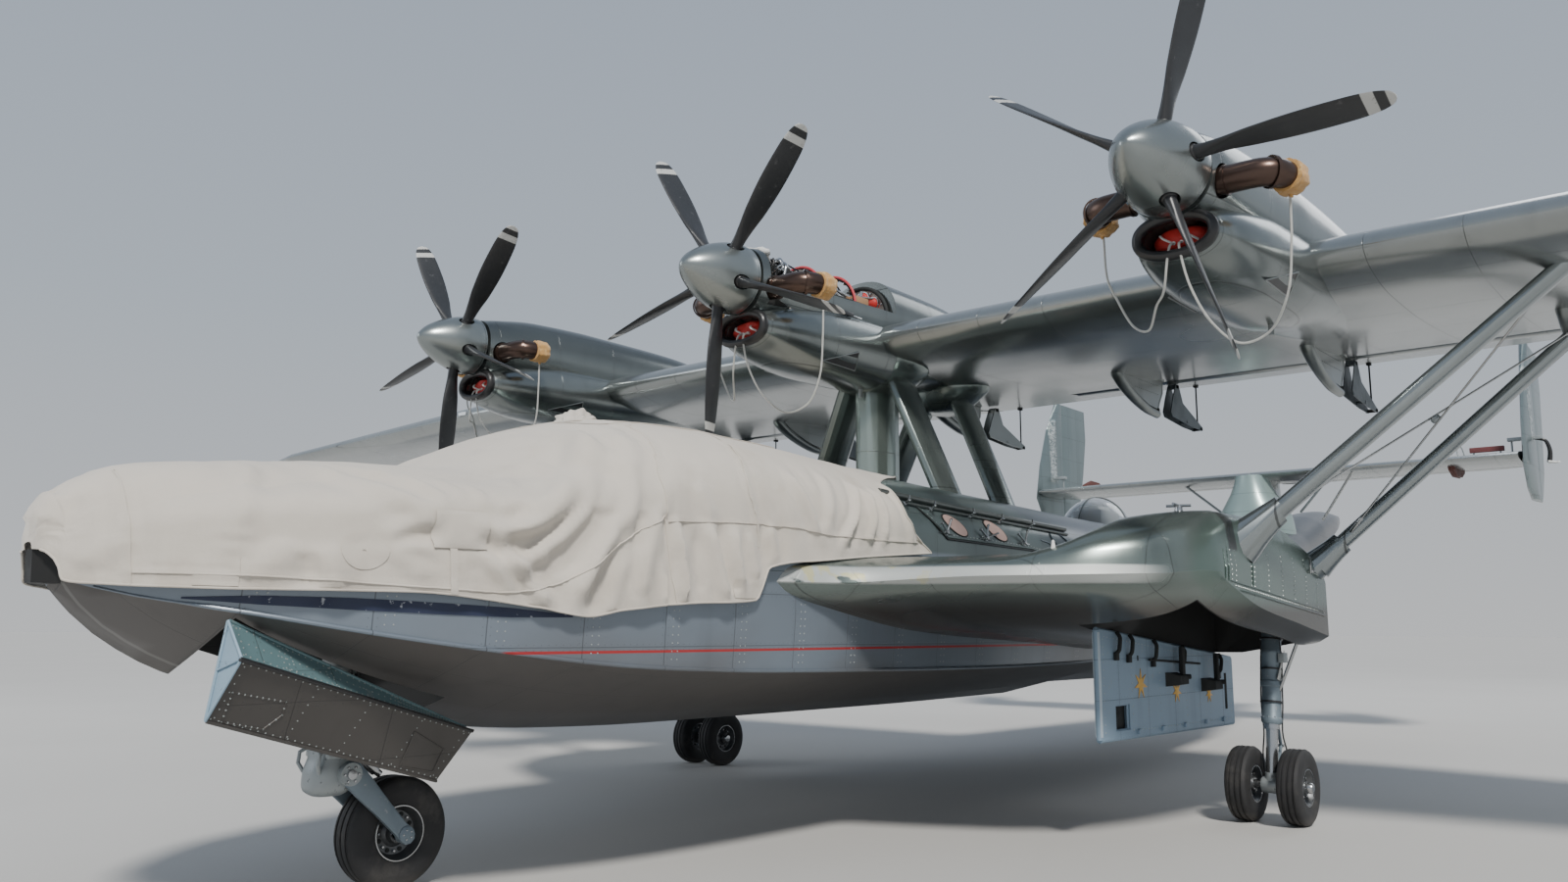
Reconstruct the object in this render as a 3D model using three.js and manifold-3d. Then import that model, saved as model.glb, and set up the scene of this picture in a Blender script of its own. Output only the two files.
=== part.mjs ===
// Three-engined amphibious flying boat, parked on its gear, bow cover on.
// Millimetres. +Z up, bow towards -Y, port side at +X.
// Origin: middle of the bounding box in plan, on the ground.
import * as THREE from 'three';
import { mergeVertices } from 'three/addons/utils/BufferGeometryUtils.js';
import Module from 'manifold-3d';

const wasm = await Module();
wasm.setup();

// ---------------------------------------------------------------- sizes
const GAP = 0.4;             // clearance left between touching pieces

const LENGTH_HALF = 10975;   // bow and tail ends
const SPAN_HALF = 15000;     // wing tips

const PROP_Y = -6075;        // plane of the propeller blades
const PROP_Z = 4465;         // thrust line above the ground
const ENGINE_X = 3784;       // outboard thrust lines
const PROP_R = 1410;
const SPINNER_R = 300;
const SPINNER_FRONT = 450;   // nose of the spinner ahead of the blades
const SPINNER_BACK = 190;

const WING_LE = -4380;       // leading edge of the constant part
const WING_CHORD = 4200;
const WING_Z = 4200;         // leading edge height
const WING_JOINT_X = 5950;   // centre panel to outer panel
const WING_KINK_X = 11700;   // outer panel to raked tip
const WING_RISE = 0.01;       // the chord line climbs this much of the chord towards the trailing edge
const FLAP_CUT = 0.76;       // flap and aileron nose, part of the chord

const STAB_Z = 4010;
const FIN_X = 3820;

const NOSE_WHEEL = { y: -8895, r: 330, w: 240 };
const MAIN_WHEEL = { x: 3195, y: -2835, r: 300, w: 190, spread: 205 };

// ---------------------------------------------------------------- materials
const mat = (color, roughness, metalness) => new THREE.MeshStandardMaterial({ color, roughness, metalness });
const M = {
  silver: mat(0x8f9a9c, 0.38, 0.7),
  hull: mat(0x7f8c8c, 0.4, 0.6),
  primer: mat(0x8aa4ae, 0.5, 0.3),
  canvas: mat(0xcfc4b4, 0.95, 0.0),
  black: mat(0x1c1e20, 0.55, 0.1),
  tyre: mat(0x151515, 0.9, 0.0),
  steel: mat(0x9aa0a4, 0.35, 0.8),
  bronze: mat(0x4a3b33, 0.5, 0.6),
  glass: mat(0xbcd0e0, 0.1, 0.0),
  rope: mat(0xe8e4da, 0.9, 0.0),
};

// ---------------------------------------------------------------- helpers
const V3 = (x, y, z) => new THREE.Vector3(x, y, z);
const DEG = Math.PI / 180;

// closed solid between rings of equal length; rings run the same way round
function loft(rings) {
  const n = rings[0].length;
  const pos = [];
  for (const r of rings) for (const p of r) pos.push(p[0], p[1], p[2]);
  const idx = [];
  for (let k = 0; k + 1 < rings.length; k++) {
    for (let i = 0; i < n; i++) {
      const a = k * n + i, b = k * n + (i + 1) % n, c = a + n, d = b + n;
      idx.push(a, b, d, a, d, c);
    }
  }
  for (const end of [0, rings.length - 1]) {
    const r = rings[end];
    const c = [0, 1, 2].map((j) => r.reduce((s, p) => s + p[j], 0) / n);
    const ci = pos.length / 3;
    pos.push(...c);
    for (let i = 0; i < n; i++) {
      const a = end * n + i, b = end * n + (i + 1) % n;
      if (end === 0) idx.push(ci, b, a); else idx.push(ci, a, b);
    }
  }
  const g = new THREE.BufferGeometry();
  g.setAttribute('position', new THREE.Float32BufferAttribute(pos, 3));
  g.setIndex(idx);
  return outward(g);
}

function volume(g) {
  const p = g.getAttribute('position'), ix = g.getIndex();
  let v = 0;
  const a = V3(), b = V3(), c = V3();
  for (let i = 0; i < ix.count; i += 3) {
    a.fromBufferAttribute(p, ix.getX(i)); b.fromBufferAttribute(p, ix.getX(i + 1)); c.fromBufferAttribute(p, ix.getX(i + 2));
    v += a.dot(b.clone().cross(c)) / 6;
  }
  return v;
}

function clean(g) {
  let h = g.clone();
  h.deleteAttribute('normal'); h.deleteAttribute('uv');
  h.clearGroups();
  if (!h.getIndex()) h.setIndex([...Array(h.getAttribute('position').count).keys()]);
  h = mergeVertices(h, 1e-3);
  const ix = h.getIndex().array, keep = [];
  for (let i = 0; i < ix.length; i += 3) {
    if (ix[i] !== ix[i + 1] && ix[i + 1] !== ix[i + 2] && ix[i] !== ix[i + 2]) keep.push(ix[i], ix[i + 1], ix[i + 2]);
  }
  h.setIndex(keep);
  return h;
}

function outward(g) {
  const h = clean(g);
  if (volume(h) < 0) {
    const ix = [...h.getIndex().array];
    for (let i = 0; i < ix.length; i += 3) { const t = ix[i + 1]; ix[i + 1] = ix[i + 2]; ix[i + 2] = t; }
    h.setIndex(ix);
  }
  return h;
}

const solid = (g) => {
  const h = outward(g);
  return new wasm.Manifold(new wasm.Mesh({
    numProp: 3,
    vertProperties: new Float32Array(h.getAttribute('position').array),
    triVerts: new Uint32Array(h.getIndex().array),
  }));
};
function unsolid(s) {
  const m = s.getMesh();
  const pos = new Float32Array((m.vertProperties.length / m.numProp) * 3);
  for (let i = 0; i < pos.length / 3; i++) for (let j = 0; j < 3; j++) pos[i * 3 + j] = m.vertProperties[i * m.numProp + j];
  const g = new THREE.BufferGeometry();
  g.setAttribute('position', new THREE.BufferAttribute(pos, 3));
  g.setIndex([...m.triVerts]);
  return g;
}
const join = (...gs) => unsolid(gs.map((g) => solid(g)).reduce((a, b) => a.add(b)));
const cut = (g, ...tools) => unsolid(tools.reduce((s, t) => s.subtract(solid(t)), solid(g)));
const common = (a, b) => unsolid(solid(a).intersect(solid(b)));

const moved = (g, x, y, z) => { const h = g.clone(); h.translate(x, y, z); return h; };
const mirrored = (g) => { const h = g.clone(); h.scale(-1, 1, 1); return outward(h); };
const box = (x0, x1, y0, y1, z0, z1) => moved(new THREE.BoxGeometry(x1 - x0, y1 - y0, z1 - z0), (x0 + x1) / 2, (y0 + y1) / 2, (z0 + z1) / 2);

// straight round bar between two points
function bar(a, b, ra, rb = ra, sides = 16) {
  const d = b.clone().sub(a), len = d.length();
  const g = new THREE.CylinderGeometry(rb, ra, len, sides);
  g.applyQuaternion(new THREE.Quaternion().setFromUnitVectors(V3(0, 1, 0), d.normalize()));
  g.translate((a.x + b.x) / 2, (a.y + b.y) / 2, (a.z + b.z) / 2);
  return g;
}
// streamlined bar: oval section, its chord along Y, between two points; chords may differ
function strut(a, b, chordA, thickA, chordB = chordA, thickB = thickA, n = 14) {
  const ring = (c, chord, thick) => {
    const out = [];
    const across = V3(b.z - a.z, 0, -(b.x - a.x)).normalize();
    for (let i = 0; i < n; i++) {
      const t = i / n * 2 * Math.PI;
      const u = Math.cos(t) * chord / 2, w = Math.sin(t) * thick / 2;
      out.push([c.x + across.x * w, c.y + u, c.z + across.z * w]);
    }
    return out;
  };
  return loft([ring(a, chordA, thickA), ring(b, chordB, thickB)]);
}
// tube with a round section along a smooth curve through points
function tube(points, r, steps, sides = 8) {
  const path = new THREE.CatmullRomCurve3(points);
  const s = new THREE.Shape();
  for (let i = 0; i < sides; i++) {
    const t = i / sides * 2 * Math.PI;
    if (i === 0) s.moveTo(r * Math.cos(t), r * Math.sin(t)); else s.lineTo(r * Math.cos(t), r * Math.sin(t));
  }
  s.closePath();
  return new THREE.ExtrudeGeometry(s, { steps, bevelEnabled: false, extrudePath: path });
}
// body of revolution about Y: profile rows [y, r], ends on the axis
function turned(profile, x, z, sides = 24) {
  const g = new THREE.LatheGeometry(profile.map(([y, r]) => new THREE.Vector2(r, y)), sides);
  g.translate(x, 0, z);
  return g;
}

const part = new THREE.Group();
function add(name, geometry, material) {
  const g = outward(geometry);
  g.computeVertexNormals();
  const m = new THREE.Mesh(g, material);
  m.name = name;
  part.add(m);
  return g;
}

// ---------------------------------------------------------------- hull
// station table; each row is one frame of the hull
const HULL = [
  // y,     keelZ, chineX, chineZ, sideX, sheerZ, topZ
  [-10890, 1745, 60, 1790, 75, 1960, 2060],
  [-10700, 1545, 430, 1705, 455, 2000, 2190],
  [-10270, 1300, 780, 1620, 815, 2070, 2300],
  [-9600, 1130, 1050, 1500, 1070, 2130, 2390],
  [-8900, 1000, 1240, 1400, 1260, 2180, 2440],
  [-8350, 915, 1330, 1335, 1350, 2240, 2680],
  [-7850, 880, 1380, 1300, 1400, 2300, 2880],
  [-6900, 855, 1410, 1265, 1440, 2320, 2930],
  [-4000, 850, 1420, 1230, 1450, 2250, 2860],
  [-1600, 870, 1390, 1250, 1430, 2200, 2790],
  [-1580, 960, 1390, 1330, 1430, 2200, 2790],
  [900, 960, 1280, 1340, 1360, 2200, 2760],
  [3600, 1180, 960, 1480, 1130, 2280, 2840],
  [3620, 1330, 960, 1560, 1130, 2280, 2840],
  [6800, 2260, 560, 2480, 700, 2800, 3200],
  [9900, 3150, 250, 3260, 300, 3450, 3680],
  [10975, 3460, 50, 3510, 60, 3600, 3690],
];
const SHOULDER = 5; // points on the rounded deck of each side
function hullRing([y, kz, cx, cz, sx, sz, tz], inset = 0) {
  const half = [[0, kz + inset * 1.15], [cx - inset, cz + inset * 0.9], [sx - inset, cz + (sz - cz) * 0.35], [sx - inset, sz]];
  for (let i = 1; i <= SHOULDER; i++) {
    const t = i / SHOULDER * Math.PI / 2;
    half.push([(sx - inset) * Math.pow(Math.cos(t), 0.85), sz + (tz - inset - sz) * Math.pow(Math.sin(t), 0.85)]);
  }
  half[half.length - 1][0] = 0;
  const ring = half.map(([x, z]) => [x, y, z]);
  for (let i = half.length - 2; i > 0; i--) ring.push([-half[i][0], y, half[i][1]]);
  return ring;
}
function hullAt(y) { // station interpolated between the rows
  let k = 0;
  while (k < HULL.length - 2 && HULL[k + 1][0] < y) k++;
  const a = HULL[k], b = HULL[k + 1], t = (y - a[0]) / (b[0] - a[0]);
  return a.map((v, i) => v + (b[i] - v) * t);
}
const HULL_WALL = 70;
const DOME = { y: 770, r: 430, h: 470 }; // clear dome on the aft deck
const hullOuter = loft(HULL.map((r) => hullRing(r)));
const hullInner = loft([-3300, -1650, 900, 3600, 6800, 8600].map((y) => hullRing(hullAt(y + (y === 3600 ? 40 : 0)).map((v, i) => (i === 0 ? y : v)), HULL_WALL)));
const BAY = { y0: -10270, y1: -8880, x0: 720, x1: 480, top: 1900 };
const noseBay = loft([
  [[-BAY.x0, BAY.y0, 700], [BAY.x0, BAY.y0, 700], [BAY.x0, BAY.y0, BAY.top], [-BAY.x0, BAY.y0, BAY.top]],
  [[-BAY.x1, BAY.y1, 700], [BAY.x1, BAY.y1, 700], [BAY.x1, BAY.y1, BAY.top], [-BAY.x1, BAY.y1, BAY.top]],
]);
// the bay is kept inside the skin of the hull at chine height
const bayLimit = loft([-10400, -9600, -8900, -8350].map((y) => {
  const r = hullAt(y);
  return [[-r[2] + 25, y, 700], [r[2] - 25, y, 700], [r[2] - 25, y, r[3] - 5], [r[2] - 60, y, 2050], [-r[2] + 60, y, 2050], [-r[2] + 25, y, r[3] - 5]];
}));
const domeHole = moved(new THREE.CylinderGeometry(DOME.r - 70, DOME.r - 70, 900, 32).rotateX(Math.PI / 2), 0, DOME.y, 2700);

const hull = cut(hullOuter, common(noseBay, bayLimit), hullInner, domeHole);

// ---------------------------------------------------------------- sponsons
// sections from the root outwards; each row is one rib
const SPONSON = [
  // x,   yFront, yBack, zNose, zTop, zBelowFront, zBelowBack, zTailTop, zTailFoot
  [1300, -7260, -1600, 1855, 2060, 1620, 1330, 2000, 1650],
  [1460, -6960, -1640, 1860, 2070, 1620, 1330, 2000, 1630],
  [1640, -6500, -1680, 1862, 2085, 1630, 1325, 2000, 1600],
  [1900, -6300, -1740, 1880, 2090, 1640, 1320, 2000, 1570],
  [2460, -6055, -1880, 1905, 2100, 1650, 1310, 2010, 1510],
  [2780, -5890, -1990, 1908, 2200, 1655, 1310, 2030, 1480],
  [3080, -5720, -2150, 1912, 2350, 1660, 1330, 2060, 1450],
  [3500, -5300, -2480, 1925, 2385, 1720, 1400, 2080, 1440],
  [3610, -5060, -2590, 1945, 2320, 1790, 1480, 2060, 1480],
  [3650, -4930, -2620, 1940, 2010, 1810, 1500, 1930, 1500], // flat end face, clear of the strut feet above it
];
function sponsonRing([x, yf, yb, zn, zt, zbf, zba, tt, tf]) {
  const c = yb - yf, p = [];
  const top = [[0, 0], [0.02, 0.45], [0.08, 0.75], [0.22, 1], [0.55, 1]];
  for (const [s, h] of top) p.push([x, yf + s * c, zn + h * (zt - zn)]);
  p.push([x, yf + 0.85 * c, tt + 0.45 * (zt - tt)], [x, yb, tt], [x, yb, tf]);
  const low = [[0.9, 1], [0.7, 1], [0.3, 1], [0.1, 0.62], [0.02, 0.28]];
  for (const [s, h] of low) { const zb = zbf + (zba - zbf) * s; p.push([x, yf + s * c, zn - h * (zn - zb)]); }
  return p;
}
const MAINBAY = { x0: 2600, x1: 3480, y0: -4960, y1: -2330, z: 1900 };
const sponsonBody = cut(loft(SPONSON.map(sponsonRing)),
  box(MAINBAY.x0, MAINBAY.x1, MAINBAY.y0, MAINBAY.y1, 1000, MAINBAY.z));
// the stub stops a hair outside the hull side
const hullClear = loft(HULL.map((r) => hullRing(r, -GAP * 2)));
const sponson = cut(sponsonBody, hullClear);

// ---------------------------------------------------------------- wing
// section points: part of chord, upper and lower height as part of the chord
const FOIL_U = [[0, 0], [0.012, 0.018], [0.05, 0.036], [0.15, 0.063], [0.32, 0.083], [0.55, 0.075], [0.76, 0.045], [1, 0.002]];
const FOIL_L = [[0.76, -0.03], [0.55, -0.046], [0.32, -0.056], [0.15, -0.052], [0.05, -0.035], [0.012, -0.018]];
function foilRing(x, yle, chord, z, thick = 1, end = 1, start = 0) {
  const p = [];
  const S = (arr, s) => { // height at s
    for (let i = 0; i + 1 < arr.length; i++) {
      const [a, ha] = arr[i], [b, hb] = arr[i + 1];
      if ((s >= a && s <= b) || (s <= a && s >= b)) return ha + (hb - ha) * (s - a) / (b - a || 1);
    }
    return 0;
  };
  const low = [[0, 0], ...[...FOIL_L].reverse(), [1, -0.004]];
  const ss = FOIL_U.map((u) => start + (end - start) * u[0]);
  const up = (s, h) => z + (h * thick + WING_RISE * s) * chord;
  for (const s of ss) p.push([x, yle + s * chord, up(s, S(FOIL_U, s))]);
  for (const s of [...ss].reverse().slice(0, -1)) p.push([x, yle + s * chord, up(s, S(low, s))]);
  if (start > 0) p.push([x, yle + start * chord, up(start, S(low, start))]);
  return p;
}
const chordAt = (x) => x < 6000 ? WING_CHORD : WING_CHORD - (x - 6000) / (WING_KINK_X - 6000) * 1680;
const leAt = (x) => x < 6000 ? WING_LE : WING_LE + (x - 6000) / (WING_KINK_X - 6000) * 560;
const zAt = (x) => WING_Z + (x < 6000 ? 0 : (x - 6000) / (WING_KINK_X - 6000) * 20);
const FLAP = { x0: 700, x1: 5900 }, AIL = { x0: 6250, x1: 11500 };
const HINGE_GAP = 14;         // between a fixed edge and the round nose of the surface behind it
// round nose: points from the top of a circle round its front to its foot
const noseArc = (c, h, r, n = 6) => [...Array(n + 1).keys()].map((i) => {
  const a = Math.PI / 2 + i / n * Math.PI;
  return [c + r * Math.cos(a), h + r * Math.sin(a)];
});

const wingShell = (stations, wall, openEnd) => {
  const outer = loft(stations.map(([x, yle, c, z, th]) => foilRing(x, yle, c, z, th)));
  const inner = loft(stations.map(([x, yle, c, z, th], i) => {
    const xx = i === 0 ? x - openEnd * 30 : i === stations.length - 1 ? x - 60 * Math.sign(openEnd || 1) : x;
    return foilRing(xx, yle + wall * 2, c - wall * 10, z + wall * 0.3, th * (1 - 2 * wall / (0.15 * c)));
  }));
  return cut(outer, inner);
};
const slot = (x0, x1, ends) => { // room for a trailing-edge surface, straight cut
  const f = (x) => {
    const c = chordAt(x), y = leAt(x) + FLAP_CUT * c, z = zAt(x);
    return [[x, y, z - 400], [x, y, z + 500], [x, leAt(x) + c + 200, z + 500], [x, leAt(x) + c + 200, z - 400]];
  };
  return loft([f(x0), f(x1)]);
};
const hingeAt = (x) => { // hinge line and nose radius of the flap or aileron at a rib
  const c = chordAt(x), up = 0.045 * c, low = 0.03 * c, r = (up + low) / 2 * 0.97;
  return { y: leAt(x) + FLAP_CUT * c + HINGE_GAP + r, z: zAt(x) + (up - low) / 2 - 3 + WING_RISE * FLAP_CUT * c, r };
};
const wingSurface = (x0, x1) => { // flap or aileron between two ribs
  const ring = (x) => {
    const h = hingeAt(x), c = chordAt(x), te = leAt(x) + c, z = zAt(x) + WING_RISE * c;
    return [[te, z + 0.002 * c], [h.y + (te - h.y) * 0.4, z + 0.028 * c], ...noseArc(h.y, h.z, h.r),
      [h.y + (te - h.y) * 0.4, z - 0.021 * c], [te, z - 0.004 * c]].map(([y, zz]) => [x, y, zz]);
  };
  return loft([ring(x0), ring(x1)]);
};

const centreStations = [[-WING_JOINT_X + GAP, WING_LE, WING_CHORD, WING_Z, 1], [WING_JOINT_X - GAP, WING_LE, WING_CHORD, WING_Z, 1]];
const centreOuter = loft(centreStations.map((s) => foilRing(...s)));
const centreInner = loft([-WING_JOINT_X - 50, WING_JOINT_X + 50].map((x) => foilRing(x, WING_LE + 90, WING_CHORD * 0.70, WING_Z + 8, 1.12)));
const wingCentre = cut(centreOuter, centreInner, slot(FLAP.x0, FLAP.x1), mirrored(slot(FLAP.x0, FLAP.x1)));

const outerStations = [6000, WING_KINK_X].map((x) => [x, leAt(x), chordAt(x), zAt(x), 1]);
outerStations[0][0] = WING_JOINT_X + GAP;
const tipStations = [
  [13000, leAt(WING_KINK_X) + 420, 1780, zAt(WING_KINK_X) + 60, 0.85],
  [14300, leAt(WING_KINK_X) + 1080, 830, zAt(WING_KINK_X) + 190, 0.75],
  [SPAN_HALF, leAt(WING_KINK_X) + 1560, 170, zAt(WING_KINK_X) + 300, 0.9],
];
const outerOuter = loft([...outerStations, ...tipStations].map((s) => foilRing(...s)));
const outerInner = loft([[WING_JOINT_X - 50, leAt(6000) + 90, WING_CHORD * 0.70, zAt(6000) + 8, 1.12],
  [WING_KINK_X - 200, leAt(WING_KINK_X) + 80, chordAt(WING_KINK_X) * 0.66, zAt(WING_KINK_X) + 6, 1.05]].map((s) => foilRing(...s)));
const wingOuter = cut(outerOuter, outerInner, slot(AIL.x0, AIL.x1));
const flap = wingSurface(FLAP.x0 + 20, FLAP.x1 - 20);
const aileron = wingSurface(AIL.x0 + 20, AIL.x1 - 20);

// ---------------------------------------------------------------- nacelles and engines
// sections behind the spinner; each row is one frame: half width, top, bottom about the thrust line
const NACELLE = [
  // y,                halfW, top,  bottom
  [PROP_Y + 230, 292, 292, -300],
  [PROP_Y + 420, 330, 330, -560],
  [PROP_Y + 900, 400, 390, -660],
  [PROP_Y + 1500, 430, 400, -700],
  [-4300, 440, 390, -670],
  [-3300, 430, 360, -540],
  [-2300, 330, 265, -430],
  [-1500, 120, 190, -330],
];
function nacelleRing([y, w, t, b], grow = 0) {
  const n = 20, p = [];
  for (let i = 0; i < n; i++) {
    const a = i / n * 2 * Math.PI, s = Math.sin(a), c = Math.cos(a);
    const e = 0.85;
    const cx = Math.sign(c) * Math.pow(Math.abs(c), e) * (w + grow);
    const cz = s >= 0 ? Math.pow(s, e) * (t + grow) : -Math.pow(-s, e) * (-b + grow);
    p.push([cx, y, PROP_Z + cz]);
  }
  return p;
}
const INTAKE = { y: PROP_Y + 420, z: PROP_Z - 400, w: 230, h: 110 }; // chin intake mouth
function intakeDuct() { // oval recess with a domed plug behind it
  const ring = (y, w, h) => [...Array(20).keys()].map((i) => { const a = i / 20 * 2 * Math.PI; return [w * Math.cos(a), y, INTAKE.z + h * Math.sin(a)]; });
  return loft([ring(INTAKE.y - 260, INTAKE.w * 1.0, INTAKE.h * 1.0), ring(INTAKE.y + 190, INTAKE.w * 0.93, INTAKE.h * 0.9)]);
}
const chin = loft([
  [PROP_Y + 290, 262, 140], [PROP_Y + 330, 290, 168], [PROP_Y + 700, 350, 260], [PROP_Y + 1500, 360, 300],
].map(([y, w, h]) => [...Array(20).keys()].map((i) => { const a = i / 20 * 2 * Math.PI; return [w * Math.cos(a), y, INTAKE.z + 10 + h * Math.sin(a)]; })));
// the wing passes through each nacelle, so the nacelle is cut by the wing with a hair of room
const wingRoom = loft([-WING_JOINT_X, WING_JOINT_X].map((x) => foilRing(x, WING_LE - 2, WING_CHORD + 6, WING_Z, 1.012)));
const ENGINE_BOX = { w: 250, y0: PROP_Y + 320, y1: -4480, z0: -230, z1: 230 };
const engineRoom = box(-270, 270, ENGINE_BOX.y0 - 20, ENGINE_BOX.y1 + 20, PROP_Z - 250, PROP_Z + 250);
const EXHAUST = { y: PROP_Y + 310, z: PROP_Z - 75 };
const stubHole = moved(new THREE.CylinderGeometry(104, 104, 1200, 20).rotateZ(Math.PI / 2), 0, EXHAUST.y, EXHAUST.z);
const nacelleBody = join(loft(NACELLE.map((r) => nacelleRing(r))), chin);
const nacelleSide = cut(nacelleBody, intakeDuct(), engineRoom, stubHole, wingRoom);
// the centre engine stands open: its top cowl is off
const topCowlGone = box(-900, 900, PROP_Y + 330, -4480 + 20, PROP_Z + 150, PROP_Z + 900);
const nacelleMid = cut(nacelleSide, topCowlGone);

// engine block with its two exhaust elbows, each ending in a tied cover
function exhaust(side) {
  const y = EXHAUST.y, z = EXHAUST.z;
  const pts = [V3(side * 200, y, z), V3(side * 400, y, z), V3(side * 540, y + 30, z), V3(side * 612, y + 130, z), V3(side * 634, y + 240, z)];
  return join(tube(pts, 96, 8, 10), bar(V3(side * 632, y + 205, z), V3(side * 645, y + 365, z), 112, 100, 12));
}
const engineBlock = box(-ENGINE_BOX.w, ENGINE_BOX.w, ENGINE_BOX.y0, ENGINE_BOX.y1, PROP_Z + ENGINE_BOX.z0, PROP_Z + ENGINE_BOX.z1);
const engine = join(engineBlock, exhaust(1), exhaust(-1));

// ---------------------------------------------------------------- propellers
const spinnerProfile = [[PROP_Y - SPINNER_FRONT, 0], [PROP_Y - SPINNER_FRONT + 18, 45], [PROP_Y - 370, 112], [PROP_Y - 250, 190], [PROP_Y - 110, 252],
  [PROP_Y + 20, 288], [PROP_Y + 120, SPINNER_R], [PROP_Y + SPINNER_BACK, SPINNER_R - 4], [PROP_Y + SPINNER_BACK, 0]];
function blade(angle) { // coarse pitch: chord nearly fore and aft, tip less so
  const rows = [
    // r,   chord, thick, pitch (degrees of the chord from the plane of rotation)
    [150, 110, 100, 84], [340, 130, 70, 84], [620, 205, 40, 80], [900, 235, 26, 76], [1180, 215, 18, 72], [1340, 165, 12, 70], [PROP_R, 70, 8, 69],
  ];
  const rings = rows.map(([r, c, th, p]) => [...Array(8).keys()].map((i) => {
    const t = i / 8 * 2 * Math.PI, u = Math.cos(t) * c / 2, w = Math.sin(t) * th / 2;
    const cp = Math.cos(p * DEG), sp = Math.sin(p * DEG);
    return [u * cp - w * sp, u * sp + w * cp, r]; // x across, y fore-aft, z outwards
  }));
  const g = loft(rings);
  g.rotateY((90 - angle) * DEG); // angle from +X towards +Z
  g.translate(0, PROP_Y, PROP_Z);
  return g;
}
const propeller = (phase) => join(turned(spinnerProfile, 0, PROP_Z), ...[0, 1, 2, 3, 4].map((k) => blade(phase + 72 * k)));
const PHASE = { port: 217.25, mid: 193.9, stbd: 193.3 };

// ---------------------------------------------------------------- cabane
const underWing = WING_Z - 0.05 * WING_CHORD;
const deckClear = hullClear;
const nacelleRoom = loft(NACELLE.map((r) => nacelleRing(r, GAP * 3)));
const wingClear = loft([-3000, 3000].map((x) => foilRing(x, WING_LE - 2, WING_CHORD + 6, WING_Z, 1.006)));
const saddle = (y, len) => loft([
  [0, 560, len], [-110, 520, len * 0.94], [-230, 330, len * 0.8], [-290, 150, len * 0.6],
].map(([dz, w, l]) => [...Array(20).keys()].map((i) => { const a = i / 20 * 2 * Math.PI; return [w * Math.cos(a), y + l / 2 * Math.sin(a), underWing + 60 + dz]; })));
const cabaneFront = cut(join(
  saddle(-3850, 900),
  strut(V3(250, -3850, underWing - 60), V3(880, -3800, 2480), 420, 170),
  strut(V3(-250, -3850, underWing - 60), V3(-880, -3800, 2480), 420, 170),
  strut(V3(0, -3850, underWing), V3(0, -3850, 2700), 560, 330),
), deckClear, wingClear, nacelleRoom);
const cabaneRear = cut(join(
  saddle(-2700, 700),
  strut(V3(200, -2700, underWing - 60), V3(870, -2790, 2450), 380, 160),
  strut(V3(-200, -2700, underWing - 60), V3(-870, -2790, 2450), 380, 160),
), deckClear, wingClear, nacelleRoom);

// ---------------------------------------------------------------- outer struts
const grownStub = (r, d) => sponsonRing([r[0] + (r[0] > 3600 ? d : 0), r[1] - d, r[2] + d, r[3], r[4] + d, r[5] - d, r[6] - d, r[7] + d, r[8] - d]);
const sponsonClear = loft(SPONSON.map((r) => grownStub(r, 1)));
const wingClearOuter = loft([[5000, WING_LE, WING_CHORD, WING_Z, 1.01], [WING_JOINT_X, WING_LE, WING_CHORD, WING_Z, 1.01], [WING_KINK_X, leAt(WING_KINK_X), chordAt(WING_KINK_X), zAt(WING_KINK_X), 1.01]].map((s) => foilRing(...s)));
const STRUT_TOP_X = 5740;
const strutFront = cut(join(
  strut(V3(3560, -4310, 2160), V3(STRUT_TOP_X, -3680, 4090), 190, 130),
  strut(V3(3500, -4330, 2110), V3(3860, -4225, 2450), 560, 330, 200, 140),
), sponsonClear, wingClearOuter);
const strutRear = cut(join(
  strut(V3(3590, -2690, 2060), V3(STRUT_TOP_X, -1960, 4120), 170, 120),
  strut(V3(3545, -2710, 2020), V3(3800, -2620, 2270), 380, 240, 180, 130),
), sponsonClear, wingClearOuter);

// ---------------------------------------------------------------- tail
const STAB = { le: 6300, chord: 1750, z: STAB_Z, x: FIN_X };
const ELEV_CUT = 0.58;
const stabFoil = (x, s0, s1, th = 0.115) => {
  const p = [], f = (s) => th / 2 * (s < 0.3 ? Math.sqrt(s / 0.3) : 1 - (s - 0.3) / 0.7 * 0.94);
  const ss = [0, 0.04, 0.15, 0.4, 0.7, 1].map((u) => s0 + (s1 - s0) * u);
  for (const s of ss) p.push([x, STAB.le + s * STAB.chord, STAB.z + f(s) * STAB.chord + (s0 === 0 && s === 0 ? 0 : 0)]);
  for (const s of [...ss].reverse()) { if (!(s0 === 0 && s === 0)) p.push([x, STAB.le + s * STAB.chord, STAB.z - f(s) * STAB.chord]); }
  return p;
};
const tailCone = loft([
  // pylon that carries the tailplane on the aft hull
  [2700, 260, 1500, 0], [3300, 230, 1250, 60], [3960, 150, 1050, 180],
].map(([z, w, l, dy]) => [...Array(20).keys()].map((i) => { const a = i / 20 * 2 * Math.PI; return [w * Math.cos(a), 6950 + dy + l / 2 * Math.sin(a), z]; })));
const tailplane = cut(join(loft([-STAB.x + 60, STAB.x - 60].map((x) => stabFoil(x, 0, ELEV_CUT))), tailCone), hullClear);
const ELEV = { r: 62, y: STAB.le + ELEV_CUT * STAB.chord + HINGE_GAP + 62, te: STAB.le + STAB.chord };
const elevatorRing = (x, skew) => [[ELEV.te, 5], [ELEV.y + 300, 38], ...noseArc(ELEV.y, 0, ELEV.r), [ELEV.y + 300, -38], [ELEV.te, -5]]
  .map(([y, z]) => [x - skew * Math.max(0, y - ELEV.y), y, STAB.z + z]);
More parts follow.
